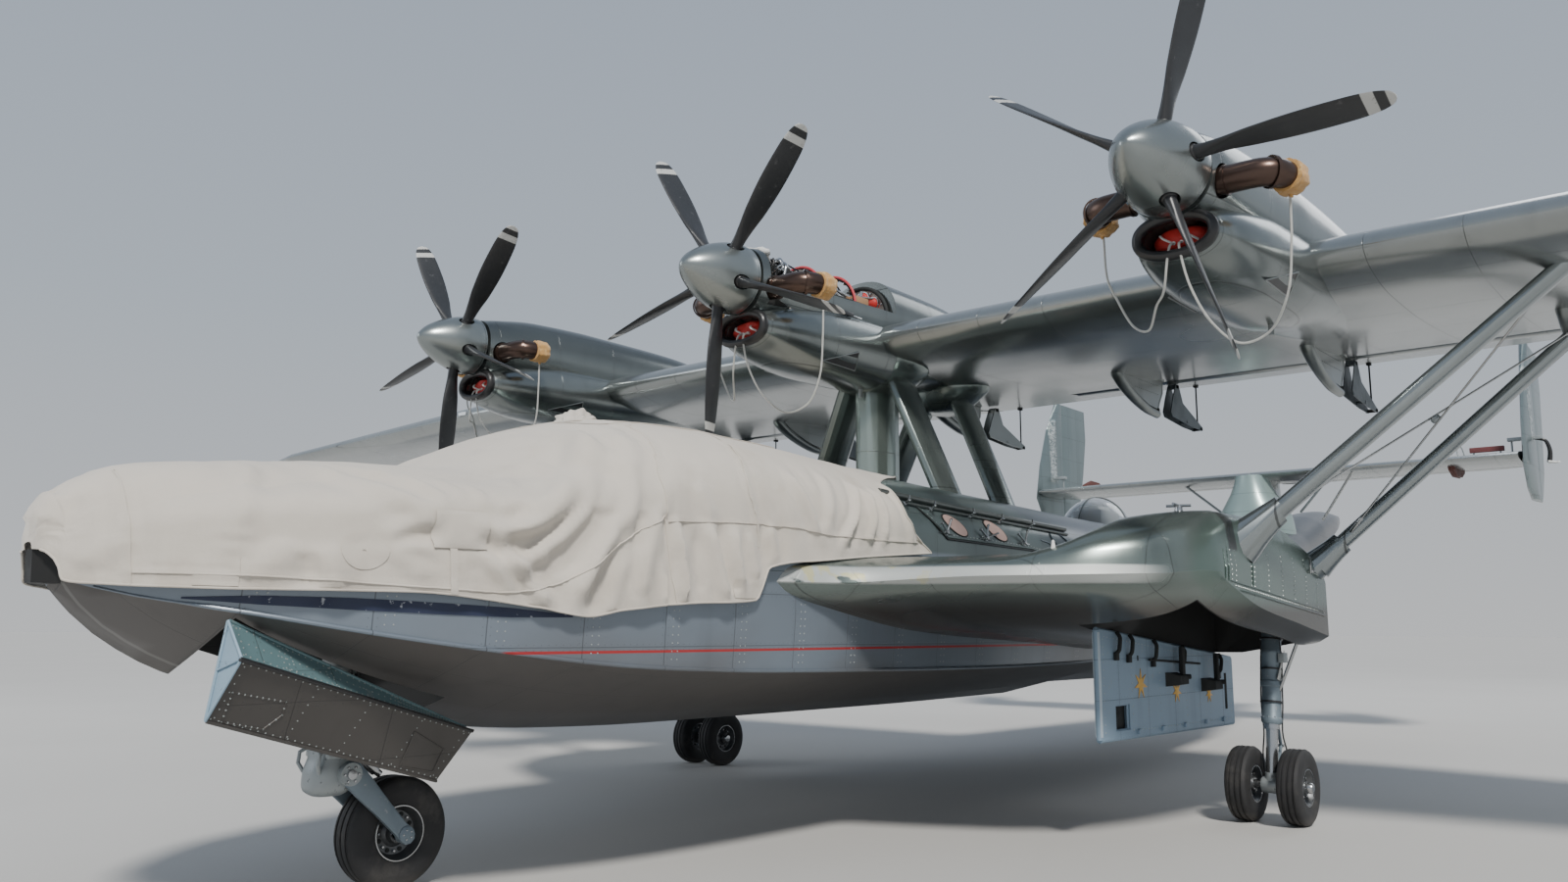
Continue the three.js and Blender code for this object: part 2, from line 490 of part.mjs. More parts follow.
const elevator = loft([elevatorRing(190, 0), elevatorRing(STAB.x - 140, 0.52)]); // outer end clears the rudder

// fin outline rows: z, leading edge y, chord, all in the plane of the fin
const FIN = [
  [3420, 6950, 700], [3560, 6560, 1250], [3900, 6330, 1720], [4500, 6470, 1750], [5200, 6760, 1600], [5760, 7150, 1180], [5920, 7430, 700],
];
const RUDDER_CUT = 0.56;
const finRing = ([z, y, c], s0, s1) => {
  const p = [], t = 0.075, f = (s) => t / 2 * (s < 0.3 ? Math.sqrt(s / 0.3) : 1 - (s - 0.3) / 0.7 * 0.93);
  const ss = [0, 0.04, 0.15, 0.4, 0.7, 1].map((u) => s0 + (s1 - s0) * u);
  const hinge = 7310; // rudder hinge line, straight up
  const yy = (s) => (s <= RUDDER_CUT ? y + (hinge - y) * s / RUDDER_CUT : hinge + (y + c - hinge) * (s - RUDDER_CUT) / (1 - RUDDER_CUT));
  for (const s of ss) p.push([f(s) * 1700, yy(s), z]);
  for (const s of [...ss].reverse()) { if (!(s0 === 0 && s === 0)) p.push([-f(s) * 1700, yy(s), z]); }
  return p;
};
const finRows = FIN.slice(0, 6);
const fin = loft(finRows.map((r) => finRing(r, 0, RUDDER_CUT)));
const RUD = { r: 40, y: 7310 + HINGE_GAP + 40 };
const rudder = loft(finRows.map(([z, y, c]) => [[5, y + c], [24, RUD.y + (y + c - RUD.y) * 0.45], ...noseArc(RUD.y, 0, RUD.r).map(([a, b]) => [b, a]), [-24, RUD.y + (y + c - RUD.y) * 0.45], [-5, y + c]]
  .map(([x, yy]) => [x, yy, z])));

// ---------------------------------------------------------------- nose gear
const NG = { y: -9300, top: BAY.top - GAP, pivot: 760, axle: NOSE_WHEEL.r, yAxle: NOSE_WHEEL.y };
const noseLeg = join(
  bar(V3(0, NG.y, NG.pivot + 160), V3(0, NG.y, NG.top), 92, 92, 20),
  bar(V3(0, NG.y, 1500), V3(0, NG.y + 370, 1840), 40, 40, 10),
);
const tyreProfile = (r, w, rimR) => [
  [-w / 2 * 0.72, 0], [-w / 2 * 0.85, rimR], [-w / 2, r - (r - rimR) * 0.45], [-w / 2 * 0.85, r - w * 0.1],
  [-w / 2 * 0.4, r], [w / 2 * 0.4, r], [w / 2 * 0.85, r - w * 0.1], [w / 2, r - (r - rimR) * 0.45], [w / 2 * 0.85, rimR], [w / 2 * 0.72, 0]];
const wheel = (r, w, rimR, x, y, z) => {
  const g = new THREE.LatheGeometry(tyreProfile(r, w, rimR).map(([u, q]) => new THREE.Vector2(q, u)), 28);
  g.rotateZ(-Math.PI / 2);
  g.translate(x, y, z);
  return g;
};
const noseWheel = cut(wheel(NOSE_WHEEL.r, NOSE_WHEEL.w, 150, 0, NG.yAxle, NG.axle), bar(V3(-200, NG.yAxle, NG.axle), V3(200, NG.yAxle, NG.axle), 36));
const forkArm = (s) => strut(V3(s * 150, NG.y + 30, NG.pivot - 40), V3(s * 150, NG.yAxle, NG.axle), 150, 46, 110, 46, 12);
const noseFork = join(
  bar(V3(0, NG.y, NG.pivot - 110), V3(0, NG.y, NG.pivot + 150), 105, 100, 20),
  bar(V3(-172, NG.y + 25, NG.pivot - 50), V3(172, NG.y + 25, NG.pivot - 50), 62, 62, 14),
  forkArm(1), forkArm(-1),
  bar(V3(-176, NG.yAxle, NG.axle), V3(176, NG.yAxle, NG.axle), 30, 30, 14),
);

// nose gear door: one wedge shell with the keel's V section, hung on the port edge of its bay, open.
// Each end: hinge edge, spine, lower edge.
const NOSE_DOOR = [
  [[740, -10310, 1580], [890, -10300, 1398], [730, -10380, 1100]],
  [[550, -8780, 965], [580, -8745, 949], [520, -8940, 673]],
];
const noseDoor = loft(NOSE_DOOR);

// ---------------------------------------------------------------- main gear
const MW = MAIN_WHEEL;
const mainLeg = join(
  bar(V3(MW.x, MW.y + 75, 780), V3(MW.x, MW.y + 240, MAINBAY.z - 60), 78, 78, 16),
  bar(V3(MW.x, MW.y, MW.r - 50), V3(MW.x, MW.y + 78, 800), 55, 55, 16),
  box(MW.x - 90, MW.x + 90, MW.y + 130, MW.y + 360, MAINBAY.z - 90, MAINBAY.z - GAP),
  bar(V3(MW.x - 70, MW.y, MW.r), V3(MW.x + 70, MW.y, MW.r), 66, 66, 16),
  bar(V3(MW.x, MW.y + 110, 950), V3(MW.x, MW.y + 420, 1740), 30, 30, 10),
  bar(V3(MW.x, MW.y + 420, 1720), V3(MW.x, MW.y + 330, MAINBAY.z - 40), 34, 34, 10),
);
const mainLegBored = cut(mainLeg, bar(V3(MW.x - 100, MW.y, MW.r), V3(MW.x + 100, MW.y, MW.r), 40, 40));
const mainWheels = join(
  wheel(MW.r, MW.w, 145, MW.x - MW.spread, MW.y, MW.r),
  wheel(MW.r, MW.w, 145, MW.x + MW.spread, MW.y, MW.r),
  bar(V3(MW.x - MW.spread, MW.y, MW.r), V3(MW.x + MW.spread, MW.y, MW.r), 30, 30, 16),
);
// inboard bay door, hanging open; corners in the plane of the door: y, z
const MD = { x: 2640, t: 50, corners: [[-4780, 1545], [-4780, 750], [-2140, 735], [-2140, 1293]] };
const mainDoor = cut(loft([MD.x - MD.t / 2, MD.x + MD.t / 2].map((x) => MD.corners.map(([y, z]) => [x, y, z]))),
  box(MD.x - 100, MD.x + 100, -4540, -4300, 800, 990));

// ---------------------------------------------------------------- dome, fender, cover
const domeShape = new THREE.SphereGeometry(1, 24, 12);
const domeOuter = domeShape.clone(); domeOuter.scale(DOME.r, DOME.r * 1.15, DOME.h);
const domeInner = domeShape.clone(); domeInner.scale(DOME.r - 14, DOME.r * 1.15 - 14, DOME.h - 14);
const dome = cut(moved(domeOuter, 0, DOME.y, 2700), moved(domeInner, 0, DOME.y, 2700), hullClear,
  moved(new THREE.CylinderGeometry(DOME.r - 60, DOME.r - 60, 600, 32).rotateX(Math.PI / 2), 0, DOME.y, 2450));

const fender = cut(loft([
  [-10975, 60, 1790, 1990], [-10940, 110, 1760, 2010], [-10840, 200, 1740, 2020],
].map(([y, w, zb, zt]) => [...Array(16).keys()].map((i) => { const a = i / 16 * 2 * Math.PI; return [w * Math.cos(a), y, (zb + zt) / 2 + (zt - zb) / 2 * Math.sin(a)]; }))), hullClear);

// soft cover over the bow and the cockpit: an open-bottomed skin
const COVER = [
  // y,     halfW, zHem, zTop
  [-10890, 190, 2040, 2190],
  [-10640, 560, 1760, 2350],
  [-10270, 880, 1740, 2410],
  [-9600, 1130, 1750, 2490],
  [-8900, 1310, 1710, 2570],
  [-8350, 1400, 1640, 2800],
  [-7850, 1450, 1650, 3010],
  [-6900, 1490, 1740, 3035],
  [-5500, 1500, 2080, 3005],
  [-4330, 1490, 2170, 2930],
];
function coverRing([y, w, zh, zt], off, hem) {
  const half = [[w + off, hem]];
  const sh = zt - 640 > zh ? zt - 640 : zh + 60;
  half.push([w + off, Math.max(sh, hem + 30)]);
  for (let i = 1; i <= SHOULDER; i++) {
    const t = i / SHOULDER * Math.PI / 2;
    half.push([(w + off) * Math.pow(Math.cos(t), 0.85), sh + (zt + off - sh) * Math.pow(Math.sin(t), 0.85)]);
  }
  half[half.length - 1][0] = 0;
  const ring = half.map(([x, z]) => [x, y, z]);
  for (let i = half.length - 2; i >= 0; i--) ring.push([-half[i][0], y, half[i][1]]);
  return ring;
}
const hullUnder = loft(HULL.map((r) => hullRing(r, -14)));
const coverOuter = loft(COVER.map((r) => coverRing(r, 0, r[2])));
const stubRoom = loft([[900, ...SPONSON[0].slice(1)], ...SPONSON].map((r) => grownStub(r, 40)));
const bowCover = cut(coverOuter, hullUnder, stubRoom, mirrored(stubRoom), box(-1600, 1600, -11000, -4000, 0, 1600));

// ---------------------------------------------------------------- ropes
// two tie ropes on each engine: from the intake plug, in a hanging loop, to each exhaust cover
const rope = (dx, side, low) => tube([
  [26, -5745, 4030], [30, -5806, 4000], [44, -5822, 3920], [90, -5800, 3700], [180, -5700, low + 120], [300, -5560, low],
  [450, -5460, low + 70], [570, -5450, low + 290], [620, -5470, 3960], [634, -5480, 4262],
].map(([x, y, z]) => V3(dx + side * x, y, z)), 8, 30, 8);

// ================================================================ assembly
add('hull', hull, M.hull);
add('bow_fender', fender, M.black);
add('bow_cover', bowCover, M.canvas);
add('deck_dome', dome, M.glass);
add('sponson_port', sponson, M.silver);
add('sponson_stbd', mirrored(sponson), M.silver);

add('wing_centre', wingCentre, M.silver);
add('wing_port', wingOuter, M.silver);
add('wing_stbd', mirrored(wingOuter), M.silver);
add('flap_port', flap, M.silver);
add('flap_stbd', mirrored(flap), M.silver);
add('aileron_port', aileron, M.silver);
add('aileron_stbd', mirrored(aileron), M.silver);

for (const [side, dx, body] of [['port', ENGINE_X, nacelleSide], ['centre', 0, nacelleMid], ['stbd', -ENGINE_X, nacelleSide]]) {
  add(`nacelle_${side}`, moved(body, dx, 0, 0), M.silver);
  add(`engine_${side}`, moved(engine, dx, 0, 0), M.bronze);
}
add('propeller_port', moved(propeller(PHASE.port), ENGINE_X, 0, 0), M.black);
add('propeller_centre', propeller(PHASE.mid), M.black);
add('propeller_stbd', moved(propeller(PHASE.stbd), -ENGINE_X, 0, 0), M.black);

add('cabane_front', cabaneFront, M.silver);
add('cabane_rear', cabaneRear, M.silver);
add('strut_front_port', strutFront, M.silver);
add('strut_front_stbd', mirrored(strutFront), M.silver);
add('strut_rear_port', strutRear, M.silver);
add('strut_rear_stbd', mirrored(strutRear), M.silver);

add('tailplane', tailplane, M.silver);
add('elevator_port', elevator, M.silver);
add('elevator_stbd', mirrored(elevator), M.silver);
add('fin_port', moved(fin, FIN_X, 0, 0), M.silver);
add('fin_stbd', moved(fin, -FIN_X, 0, 0), M.silver);
add('rudder_port', moved(rudder, FIN_X, 0, 0), M.silver);
add('rudder_stbd', moved(rudder, -FIN_X, 0, 0), M.silver);

add('nose_leg', noseLeg, M.steel);
add('nose_fork', noseFork, M.steel);
add('nose_wheel', noseWheel, M.tyre);
add('nose_door_port', noseDoor, M.primer);

add('main_leg_port', mainLegBored, M.primer);
add('main_leg_stbd', mirrored(mainLegBored), M.primer);
add('main_wheels_port', mainWheels, M.tyre);
add('main_wheels_stbd', mirrored(mainWheels), M.tyre);
add('main_door_port', mainDoor, M.primer);
add('main_door_stbd', mirrored(mainDoor), M.primer);

for (const [name, dx, low] of [['port', ENGINE_X, 3350], ['centre', 0, 3340], ['stbd', -ENGINE_X, 3400]]) {
  add(`tie_rope_${name}_left`, rope(dx, 1, low), M.rope);
  add(`tie_rope_${name}_right`, rope(dx, -1, low + 180), M.rope);
}

export default part;
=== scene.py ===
import bpy, bmesh, math, random
import numpy as np
from mathutils import Vector, Matrix


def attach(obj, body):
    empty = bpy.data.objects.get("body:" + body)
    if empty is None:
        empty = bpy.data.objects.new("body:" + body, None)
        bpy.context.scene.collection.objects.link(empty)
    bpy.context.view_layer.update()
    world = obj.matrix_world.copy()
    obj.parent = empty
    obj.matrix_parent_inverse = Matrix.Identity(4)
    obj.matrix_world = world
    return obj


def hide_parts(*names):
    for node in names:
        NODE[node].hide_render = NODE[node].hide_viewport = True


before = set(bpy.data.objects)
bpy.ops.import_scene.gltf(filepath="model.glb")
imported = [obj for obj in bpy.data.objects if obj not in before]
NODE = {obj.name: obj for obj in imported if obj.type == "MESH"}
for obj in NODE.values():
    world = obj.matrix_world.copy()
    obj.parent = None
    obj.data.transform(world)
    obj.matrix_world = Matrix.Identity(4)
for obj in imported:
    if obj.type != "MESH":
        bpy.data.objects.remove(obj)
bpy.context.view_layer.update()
SCENE = bpy.context.scene
COL = SCENE.collection

# ------------------------------------------------------------------ camera
cam_data = bpy.data.cameras.new("photo_camera")
cam_data.lens = 27.29
cam_data.sensor_width = 36.0
cam_data.clip_end = 900.0
cam = bpy.data.objects.new("photo_camera", cam_data)
COL.objects.link(cam)
_yaw, _pitch, _roll = math.radians(40.4643), math.radians(8.9164), math.radians(0.1887)
_d = Vector((-math.sin(_yaw) * math.cos(_pitch), math.cos(_yaw) * math.cos(_pitch), math.sin(_pitch)))
_r = Vector((math.cos(_yaw), math.sin(_yaw), 0.0))
_u = _r.cross(_d)
_r2 = _r * math.cos(_roll) + _u * math.sin(_roll)
_u2 = _u * math.cos(_roll) - _r * math.sin(_roll)
cam.matrix_world = Matrix.Translation((6.6547, -13.0403, 1.5559)) @ Matrix((
    (_r2.x, _u2.x, -_d.x), (_r2.y, _u2.y, -_d.y), (_r2.z, _u2.z, -_d.z))).to_4x4()
SCENE.camera = cam


# ------------------------------------------------------------------ mesh helpers
def v3(p):
    return np.array(p, float)


def pchip(xs, ys, xq):
    """Smooth curve through the rows of a table that never overshoots them."""
    xs, ys, xq = np.asarray(xs, float), np.asarray(ys, float), np.asarray(xq, float)
    if ys.ndim == 1:
        return pchip(xs, ys[:, None], xq)[:, 0]
    if len(xs) == 2:
        t = ((xq - xs[0]) / (xs[1] - xs[0]))[:, None]
        return ys[0] + (ys[1] - ys[0]) * t
    h = np.diff(xs)[:, None]
    dl = np.diff(ys, axis=0) / h
    m = np.zeros_like(ys)
    w1, w2 = 2 * h[1:] + h[:-1], h[1:] + 2 * h[:-1]
    same = (dl[:-1] * dl[1:]) > 0
    with np.errstate(divide="ignore", invalid="ignore"):
        hm = (w1 + w2) / (w1 / dl[:-1] + w2 / dl[1:])
    m[1:-1] = np.where(same, hm, 0.0)
    m[0], m[-1] = dl[0], dl[-1]
    k = np.clip(np.searchsorted(xs, xq, side="right") - 1, 0, len(xs) - 2)
    t = ((xq - xs[k]) / h[k, 0])[:, None]
    hk = h[k]
    return ((1 + 2 * t) * (1 - t) ** 2 * ys[k] + t * (1 - t) ** 2 * hk * m[k]
            + t * t * (3 - 2 * t) * ys[k + 1] + t * t * (t - 1) * hk * m[k + 1])


def smooth_line(points, n):
    """n points along a smooth curve through the given ones, evenly spaced."""
    p = np.array(points, float)
    s = np.concatenate([[0], np.cumsum(np.linalg.norm(np.diff(p, axis=0), axis=1))])
    q = pchip(s, p, np.linspace(0, s[-1], n * 4))
    s2 = np.concatenate([[0], np.cumsum(np.linalg.norm(np.diff(q, axis=0), axis=1))])
    return np.stack([np.interp(np.linspace(0, s2[-1], n), s2, q[:, i]) for i in range(q.shape[1])], 1)


class Geo:
    """Collects closed shells that make one piece."""

    def __init__(self):
        self.v, self.f, self.m = [], [], []

    def add(self, verts, faces, mi=0):
        b = len(self.v)
        self.v += [tuple(float(c) for c in p) for p in verts]
        self.f += [tuple(i + b for i in f) for f in faces]
        self.m += [mi] * len(faces)
        return self

    def loft(self, rings, mi=0, caps=(True, True), closed=True):
        rings = [np.asarray(r, float) for r in rings]
        n, k = len(rings[0]), len(rings)
        faces = []
        for j in range(k - 1):
            for i in range(n if closed else n - 1):
                a, b = j * n + i, j * n + (i + 1) % n
                faces.append((a, b, b + n, a + n))
        if caps[0]:
            faces.append(tuple(range(n))[::-1])
        if caps[1]:
            faces.append(tuple((k - 1) * n + i for i in range(n)))
        return self.add(np.concatenate(rings), faces, mi)

    def tube(self, pts, r, sides=12, mi=0, caps=(True, True), squash=1.0, up=(0, 0, 1)):
        p = np.array(pts, float)
        rr = np.full(len(p), r) if np.isscalar(r) else np.array(r, float)
        t = np.gradient(p, axis=0)
        t /= np.linalg.norm(t, axis=1)[:, None] + 1e-12
        ref = v3(up) if abs(t[0] @ v3(up)) < 0.95 else v3((1, 0, 0))
        a = np.cross(t[0], ref); a /= np.linalg.norm(a)
        rings = []
        for i in range(len(p)):
            a = a - (a @ t[i]) * t[i]; a /= np.linalg.norm(a)
            b = np.cross(t[i], a)
            ang = np.linspace(0, 2 * math.pi, sides, endpoint=False)
            rings.append(p[i] + rr[i] * (np.cos(ang)[:, None] * a + squash * np.sin(ang)[:, None] * b))
        return self.loft(rings, mi, caps)

    def bar(self, a, b, r, r2=None, sides=20, mi=0):
        return self.tube([a, b], [r, r if r2 is None else r2], sides, mi)

    def lathe(self, prof, origin, axis, sides=48, mi=0, phase=0.0):
        """prof: (along, radius) points; the ends close on the axis if their radius is 0."""
        ax = v3(axis) / np.linalg.norm(axis)
        ref = v3((0, 0, 1)) if abs(ax[2]) < 0.9 else v3((1, 0, 0))
        a = np.cross(ax, ref); a /= np.linalg.norm(a)
        b = np.cross(ax, a)
        ang = np.linspace(0, 2 * math.pi, sides, endpoint=False) + phase
        rings = [v3(origin) + s * ax + max(r, 1e-5) * (np.cos(ang)[:, None] * a + np.sin(ang)[:, None] * b) for s, r in prof]
        return self.loft(rings, mi)

    def ring(self, prof, origin, axis, sides=48, mi=0):
        """prof: closed section of (along, radius) points turned round the axis."""
        ax = v3(axis) / np.linalg.norm(axis)
        ref = v3((0, 0, 1)) if abs(ax[2]) < 0.9 else v3((1, 0, 0))
        a = np.cross(ax, ref); a /= np.linalg.norm(a)
        b = np.cross(ax, a)
        n = len(prof)
        verts, faces = [], []
        for k in range(sides):
            g = 2 * math.pi * k / sides
            d = math.cos(g) * a + math.sin(g) * b
            verts += [v3(origin) + s * ax + r * d for s, r in prof]
        for k in range(sides):
            for i in range(n):
                p, q = k * n + i, k * n + (i + 1) % n
                p2, q2 = ((k + 1) % sides) * n + i, ((k + 1) % sides) * n + (i + 1) % n
                faces.append((p, q, q2, p2))
        return self.add(verts, faces, mi)

    def box(self, lo, hi, mi=0, bevel=0.0):
        lo, hi = v3(lo), v3(hi)
        c, h = (lo + hi) / 2, (hi - lo) / 2
        return self.block(c, [v3((h[0], 0, 0)), v3((0, h[1], 0)), v3((0, 0, h[2]))], mi, bevel)

    def block(self, c, half, mi=0, bevel=0.0):
        """Box from its centre and three half axes, its edges rounded off."""
        c = v3(c)
        hs = [v3(h) for h in half]
        L = [np.linalg.norm(h) for h in hs]
        if bevel <= 0:
            bevel = min(L) * 0.12
        bevel = min(bevel, min(L) * 0.9)
        e = [h / l for h, l in zip(hs, L)]
        bm = bmesh.new()
        bmesh.ops.create_cube(bm, size=2.0)
        for q in bm.verts:
            q.co = Vector([q.co[i] * L[i] for i in range(3)])
        bmesh.ops.bevel(bm, geom=list(bm.edges), offset=bevel, segments=2, affect="EDGES", profile=0.6)
        vs = [c + q.co.x * e[0] + q.co.y * e[1] + q.co.z * e[2] for q in bm.verts]
        bm.verts.index_update()
        fs = [tuple(q.index for q in f.verts) for f in bm.faces]
        bm.free()
        return self.add(vs, fs, mi)

    def plate(self, outline, thick, mi=0):
        """Flat plate: outline points in space, thick is a vector."""
        o = np.array(outline, float)
        return self.loft([o - v3(thick) / 2, o + v3(thick) / 2], mi)

    def dome(self, c, radii, mi=0, n=10, sides=24, low=0.0, axis="z"):
        """Half an ellipsoid or more, from its foot angle up."""
        rings = []
        for k in range(n + 1):
            t = low + (math.pi / 2 - low) * k / n
            rr, h = math.cos(t), math.sin(t)
            rr = max(rr, 1e-4)
            ang = np.linspace(0, 2 * math.pi, sides, endpoint=False)
            if axis == "z":
                rings.append(np.stack([c[0] + radii[0] * rr * np.cos(ang), c[1] + radii[1] * rr * np.sin(ang), np.full(sides, c[2] + radii[2] * h)], 1))
            elif axis == "x":
                rings.append(np.stack([np.full(sides, c[0] + radii[0] * h), c[1] + radii[1] * rr * np.cos(ang), c[2] + radii[2] * rr * np.sin(ang)], 1))
            else:
                rings.append(np.stack([c[0] + radii[0] * rr * np.cos(ang), np.full(sides, c[1] + radii[1] * h), c[2] + radii[2] * rr * np.sin(ang)], 1))
        return self.loft(rings, mi)

    def mirrored(self):
        g = Geo()
        g.v = [(-x, y, z) for x, y, z in self.v]
        g.f = [tuple(reversed(f)) for f in self.f]
        g.m = list(self.m)
        return g

    def shifted(self, dx, dy=0.0, dz=0.0):
        g = Geo()
        g.v = [(x + dx, y + dy, z + dz) for x, y, z in self.v]
        g.f, g.m = list(self.f), list(self.m)
        return g

    def join(self, other):
        b = len(self.v)
        self.v += other.v
        self.f += [tuple(i + b for i in f) for f in other.f]
        self.m += other.m
        return self

    def build(self, name, mats, body, replaces=(), smooth=True, angle=34, slot=None, fix=True, bevel=None):
        me = bpy.data.meshes.new(name)
        me.from_pydata(self.v, [], self.f)
        me.validate()
        mats = mats if isinstance(mats, (list, tuple)) else [mats]
        for m in mats:
            me.materials.append(m)
        if len(me.polygons) == len(self.m):
            me.polygons.foreach_set("material_index", self.m)
        if fix:
            bm = bmesh.new()
            bm.from_mesh(me)
            bmesh.ops.recalc_face_normals(bm, faces=bm.faces)
            bm.to_mesh(me)
            bm.free()
        o = bpy.data.objects.new(name, me)
        COL.objects.link(o)
        finish_mesh(o, smooth, angle)
        if body:
            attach(o, body)
        if replaces:
            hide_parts(*([replaces] if isinstance(replaces, str) else replaces))
        return o


def finish_mesh(o, smooth=True, angle=34):
    me = o.data
    me.polygons.foreach_set("use_smooth", [smooth] * len(me.polygons))
    if smooth:
        me.set_sharp_from_angle(angle=math.radians(angle))
    me.update()


def cut(o, *cutters, op="DIFFERENCE", smooth_angle=34):
    """Cuts the shape of each cutter out of a piece and removes the cutters."""
    for c in cutters:
        m = o.modifiers.new("cut", "BOOLEAN")
        m.operation, m.object, m.solver = op, c, "EXACT"
    dg = bpy.context.evaluated_depsgraph_get()
    dg.update()
    me = bpy.data.meshes.new_from_object(o.evaluated_get(dg))
    o.modifiers.clear()
    old = o.data
    o.data = me
    bpy.data.meshes.remove(old)
    for c in cutters:
        bpy.data.objects.remove(c)
    finish_mesh(o, True, smooth_angle)
    return o


def cutter(geo, name="cutter"):
    return geo.build(name, [], None)


def both(geo, name, mats, bodies, replaces=None, **kw):
    """The port piece and its mirror image to starboard."""
    r = replaces or ((), ())
    return (geo.build(name + "_port", mats, bodies[0], replaces=r[0], **kw),
            geo.mirrored().build(name + "_stbd", mats, bodies[1], replaces=r[1], **kw))


# ------------------------------------------------------------------ material helper
class Mat:
    """A procedural material in the object's own coordinates, in metres."""

    def __init__(self, name, color, rough=0.5, metallic=0.0, **kw):
        self.mat = bpy.data.materials.new(name)
        self.mat.use_nodes = True
        self.t = self.mat.node_tree
        self.b = self.t.nodes["Principled BSDF"]
        self.col, self.rgh, self.met, self.h = tuple(color) + (1.0,), rough, metallic, None
        for k, val in kw.items():
            self.b.inputs[k.replace("_", " ")].default_value = val
        self.tc = self.t.nodes.new("ShaderNodeTexCoord")
        self.p = self.tc.outputs["Object"]
        sep = self.t.nodes.new("ShaderNodeSeparateXYZ")
        self.t.links.new(self.p, sep.inputs[0])
        self.x, self.y, self.z = sep.outputs

    def _set(self, inp, val):
        if isinstance(val, bpy.types.NodeSocket):
            self.t.links.new(val, inp)
        else:
            inp.default_value = val

    def m(self, op, a, b=0.0, c=None):
        n = self.t.nodes.new("ShaderNodeMath")
        n.operation = op
        self._set(n.inputs[0], a)
        self._set(n.inputs[1], b)
        if c is not None:
            self._set(n.inputs[2], c)
        return n.outputs[0]

    def s(self, val, a, b):
        """0 at a, 1 at b, smooth between; a may be above b."""
        if a > b:
            return self.m("SUBTRACT", 1.0, self.s(val, b, a))
        n = self.t.nodes.new("ShaderNodeMapRange")
        n.interpolation_type = "SMOOTHSTEP"
        self._set(n.inputs["Value"], val)
        n.inputs["From Min"].default_value, n.inputs["From Max"].default_value = a, b
        return n.outputs[0]

    def vec(self, scale=(1, 1, 1), off=(0, 0, 0), rot=(0, 0, 0)):
        n = self.t.nodes.new("ShaderNodeMapping")
        self.t.links.new(self.p, n.inputs["Vector"])
        n.inputs["Scale"].default_value = scale
        n.inputs["Location"].default_value = off
        n.inputs["Rotation"].default_value = rot
        return n.outputs[0]

    def noise(self, scale, detail=4.0, rough=0.55, stretch=None, off=(0, 0, 0), dist=0.0):
        n = self.t.nodes.new("ShaderNodeTexNoise")
        self.t.links.new(self.vec(stretch or (1, 1, 1), off), n.inputs["Vector"])
        n.inputs["Scale"].default_value = scale
        n.inputs["Detail"].default_value = detail
        n.inputs["Roughness"].default_value = rough
        n.inputs["Distortion"].default_value = dist
        return n.outputs["Fac"]

    def voronoi(self, scale, stretch=None, feature="F1", off=(0, 0, 0)):
        n = self.t.nodes.new("ShaderNodeTexVoronoi")
        n.feature = feature
        self.t.links.new(self.vec(stretch or (1, 1, 1), off), n.inputs["Vector"])
        n.inputs["Scale"].default_value = scale
        return n.outputs["Distance"]

    def wave(self, scale, axis="X", dist=0.0, off=(0, 0, 0), rot=(0, 0, 0)):
        n = self.t.nodes.new("ShaderNodeTexWave")
        n.bands_direction = axis
        self.t.links.new(self.vec((1, 1, 1), off, rot), n.inputs["Vector"])
        n.inputs["Scale"].default_value = scale
        n.inputs["Distortion"].default_value = dist
        return n.outputs["Fac"]

    def mixc(self, fac, color):
        n = self.t.nodes.new("ShaderNodeMix")
        n.data_type = "RGBA"
        self._set(n.inputs[0], fac)
        self._set(n.inputs[6], self.col)
        self._set(n.inputs[7], tuple(color) + (1.0,) if isinstance(color, (tuple, list)) else color)
        self.col = n.outputs[2]

    def mul(self, fac, lo, hi):
        """Makes the colour lighter or darker by a factor from lo to hi, as fac goes from 0 to 1."""
        g = self.t.nodes.new("ShaderNodeMapRange")
        self._set(g.inputs["Value"], fac)
        g.inputs["To Min"].default_value, g.inputs["To Max"].default_value = lo, hi
        n = self.t.nodes.new("ShaderNodeVectorMath")
        n.operation = "SCALE"
        self._set(n.inputs[0], self.col if isinstance(self.col, bpy.types.NodeSocket) else self.col[:3])
        self.t.links.new(g.outputs[0], n.inputs["Scale"])
        self.col = n.outputs[0]

    def _mixf(self, fac, a, b):
        n = self.t.nodes.new("ShaderNodeMix")
        n.data_type = "FLOAT"
        self._set(n.inputs[0], fac)
        self._set(n.inputs[2], a)
        self._set(n.inputs[3], b)
        return n.outputs[0]

    def mixr(self, fac, r):
        self.rgh = self._mixf(fac, self.rgh, r)

    def mixm(self, fac, r):
        self.met = self._mixf(fac, self.met, r)

    def bump(self, sock, amount):
        g = self.m("MULTIPLY", sock, amount)
        self.h = g if self.h is None else self.m("ADD", self.h, g)

    def near(self, coord, pitch, off=0.0):
        """Distance to the nearest of a set of evenly spaced lines, in metres."""
        f = self.m("FRACT", self.m("DIVIDE", self.m("ADD", coord, off + 100 * pitch), pitch))
        return self.m("MULTIPLY", self.m("ABSOLUTE", self.m("SUBTRACT", f, 0.5)), pitch)

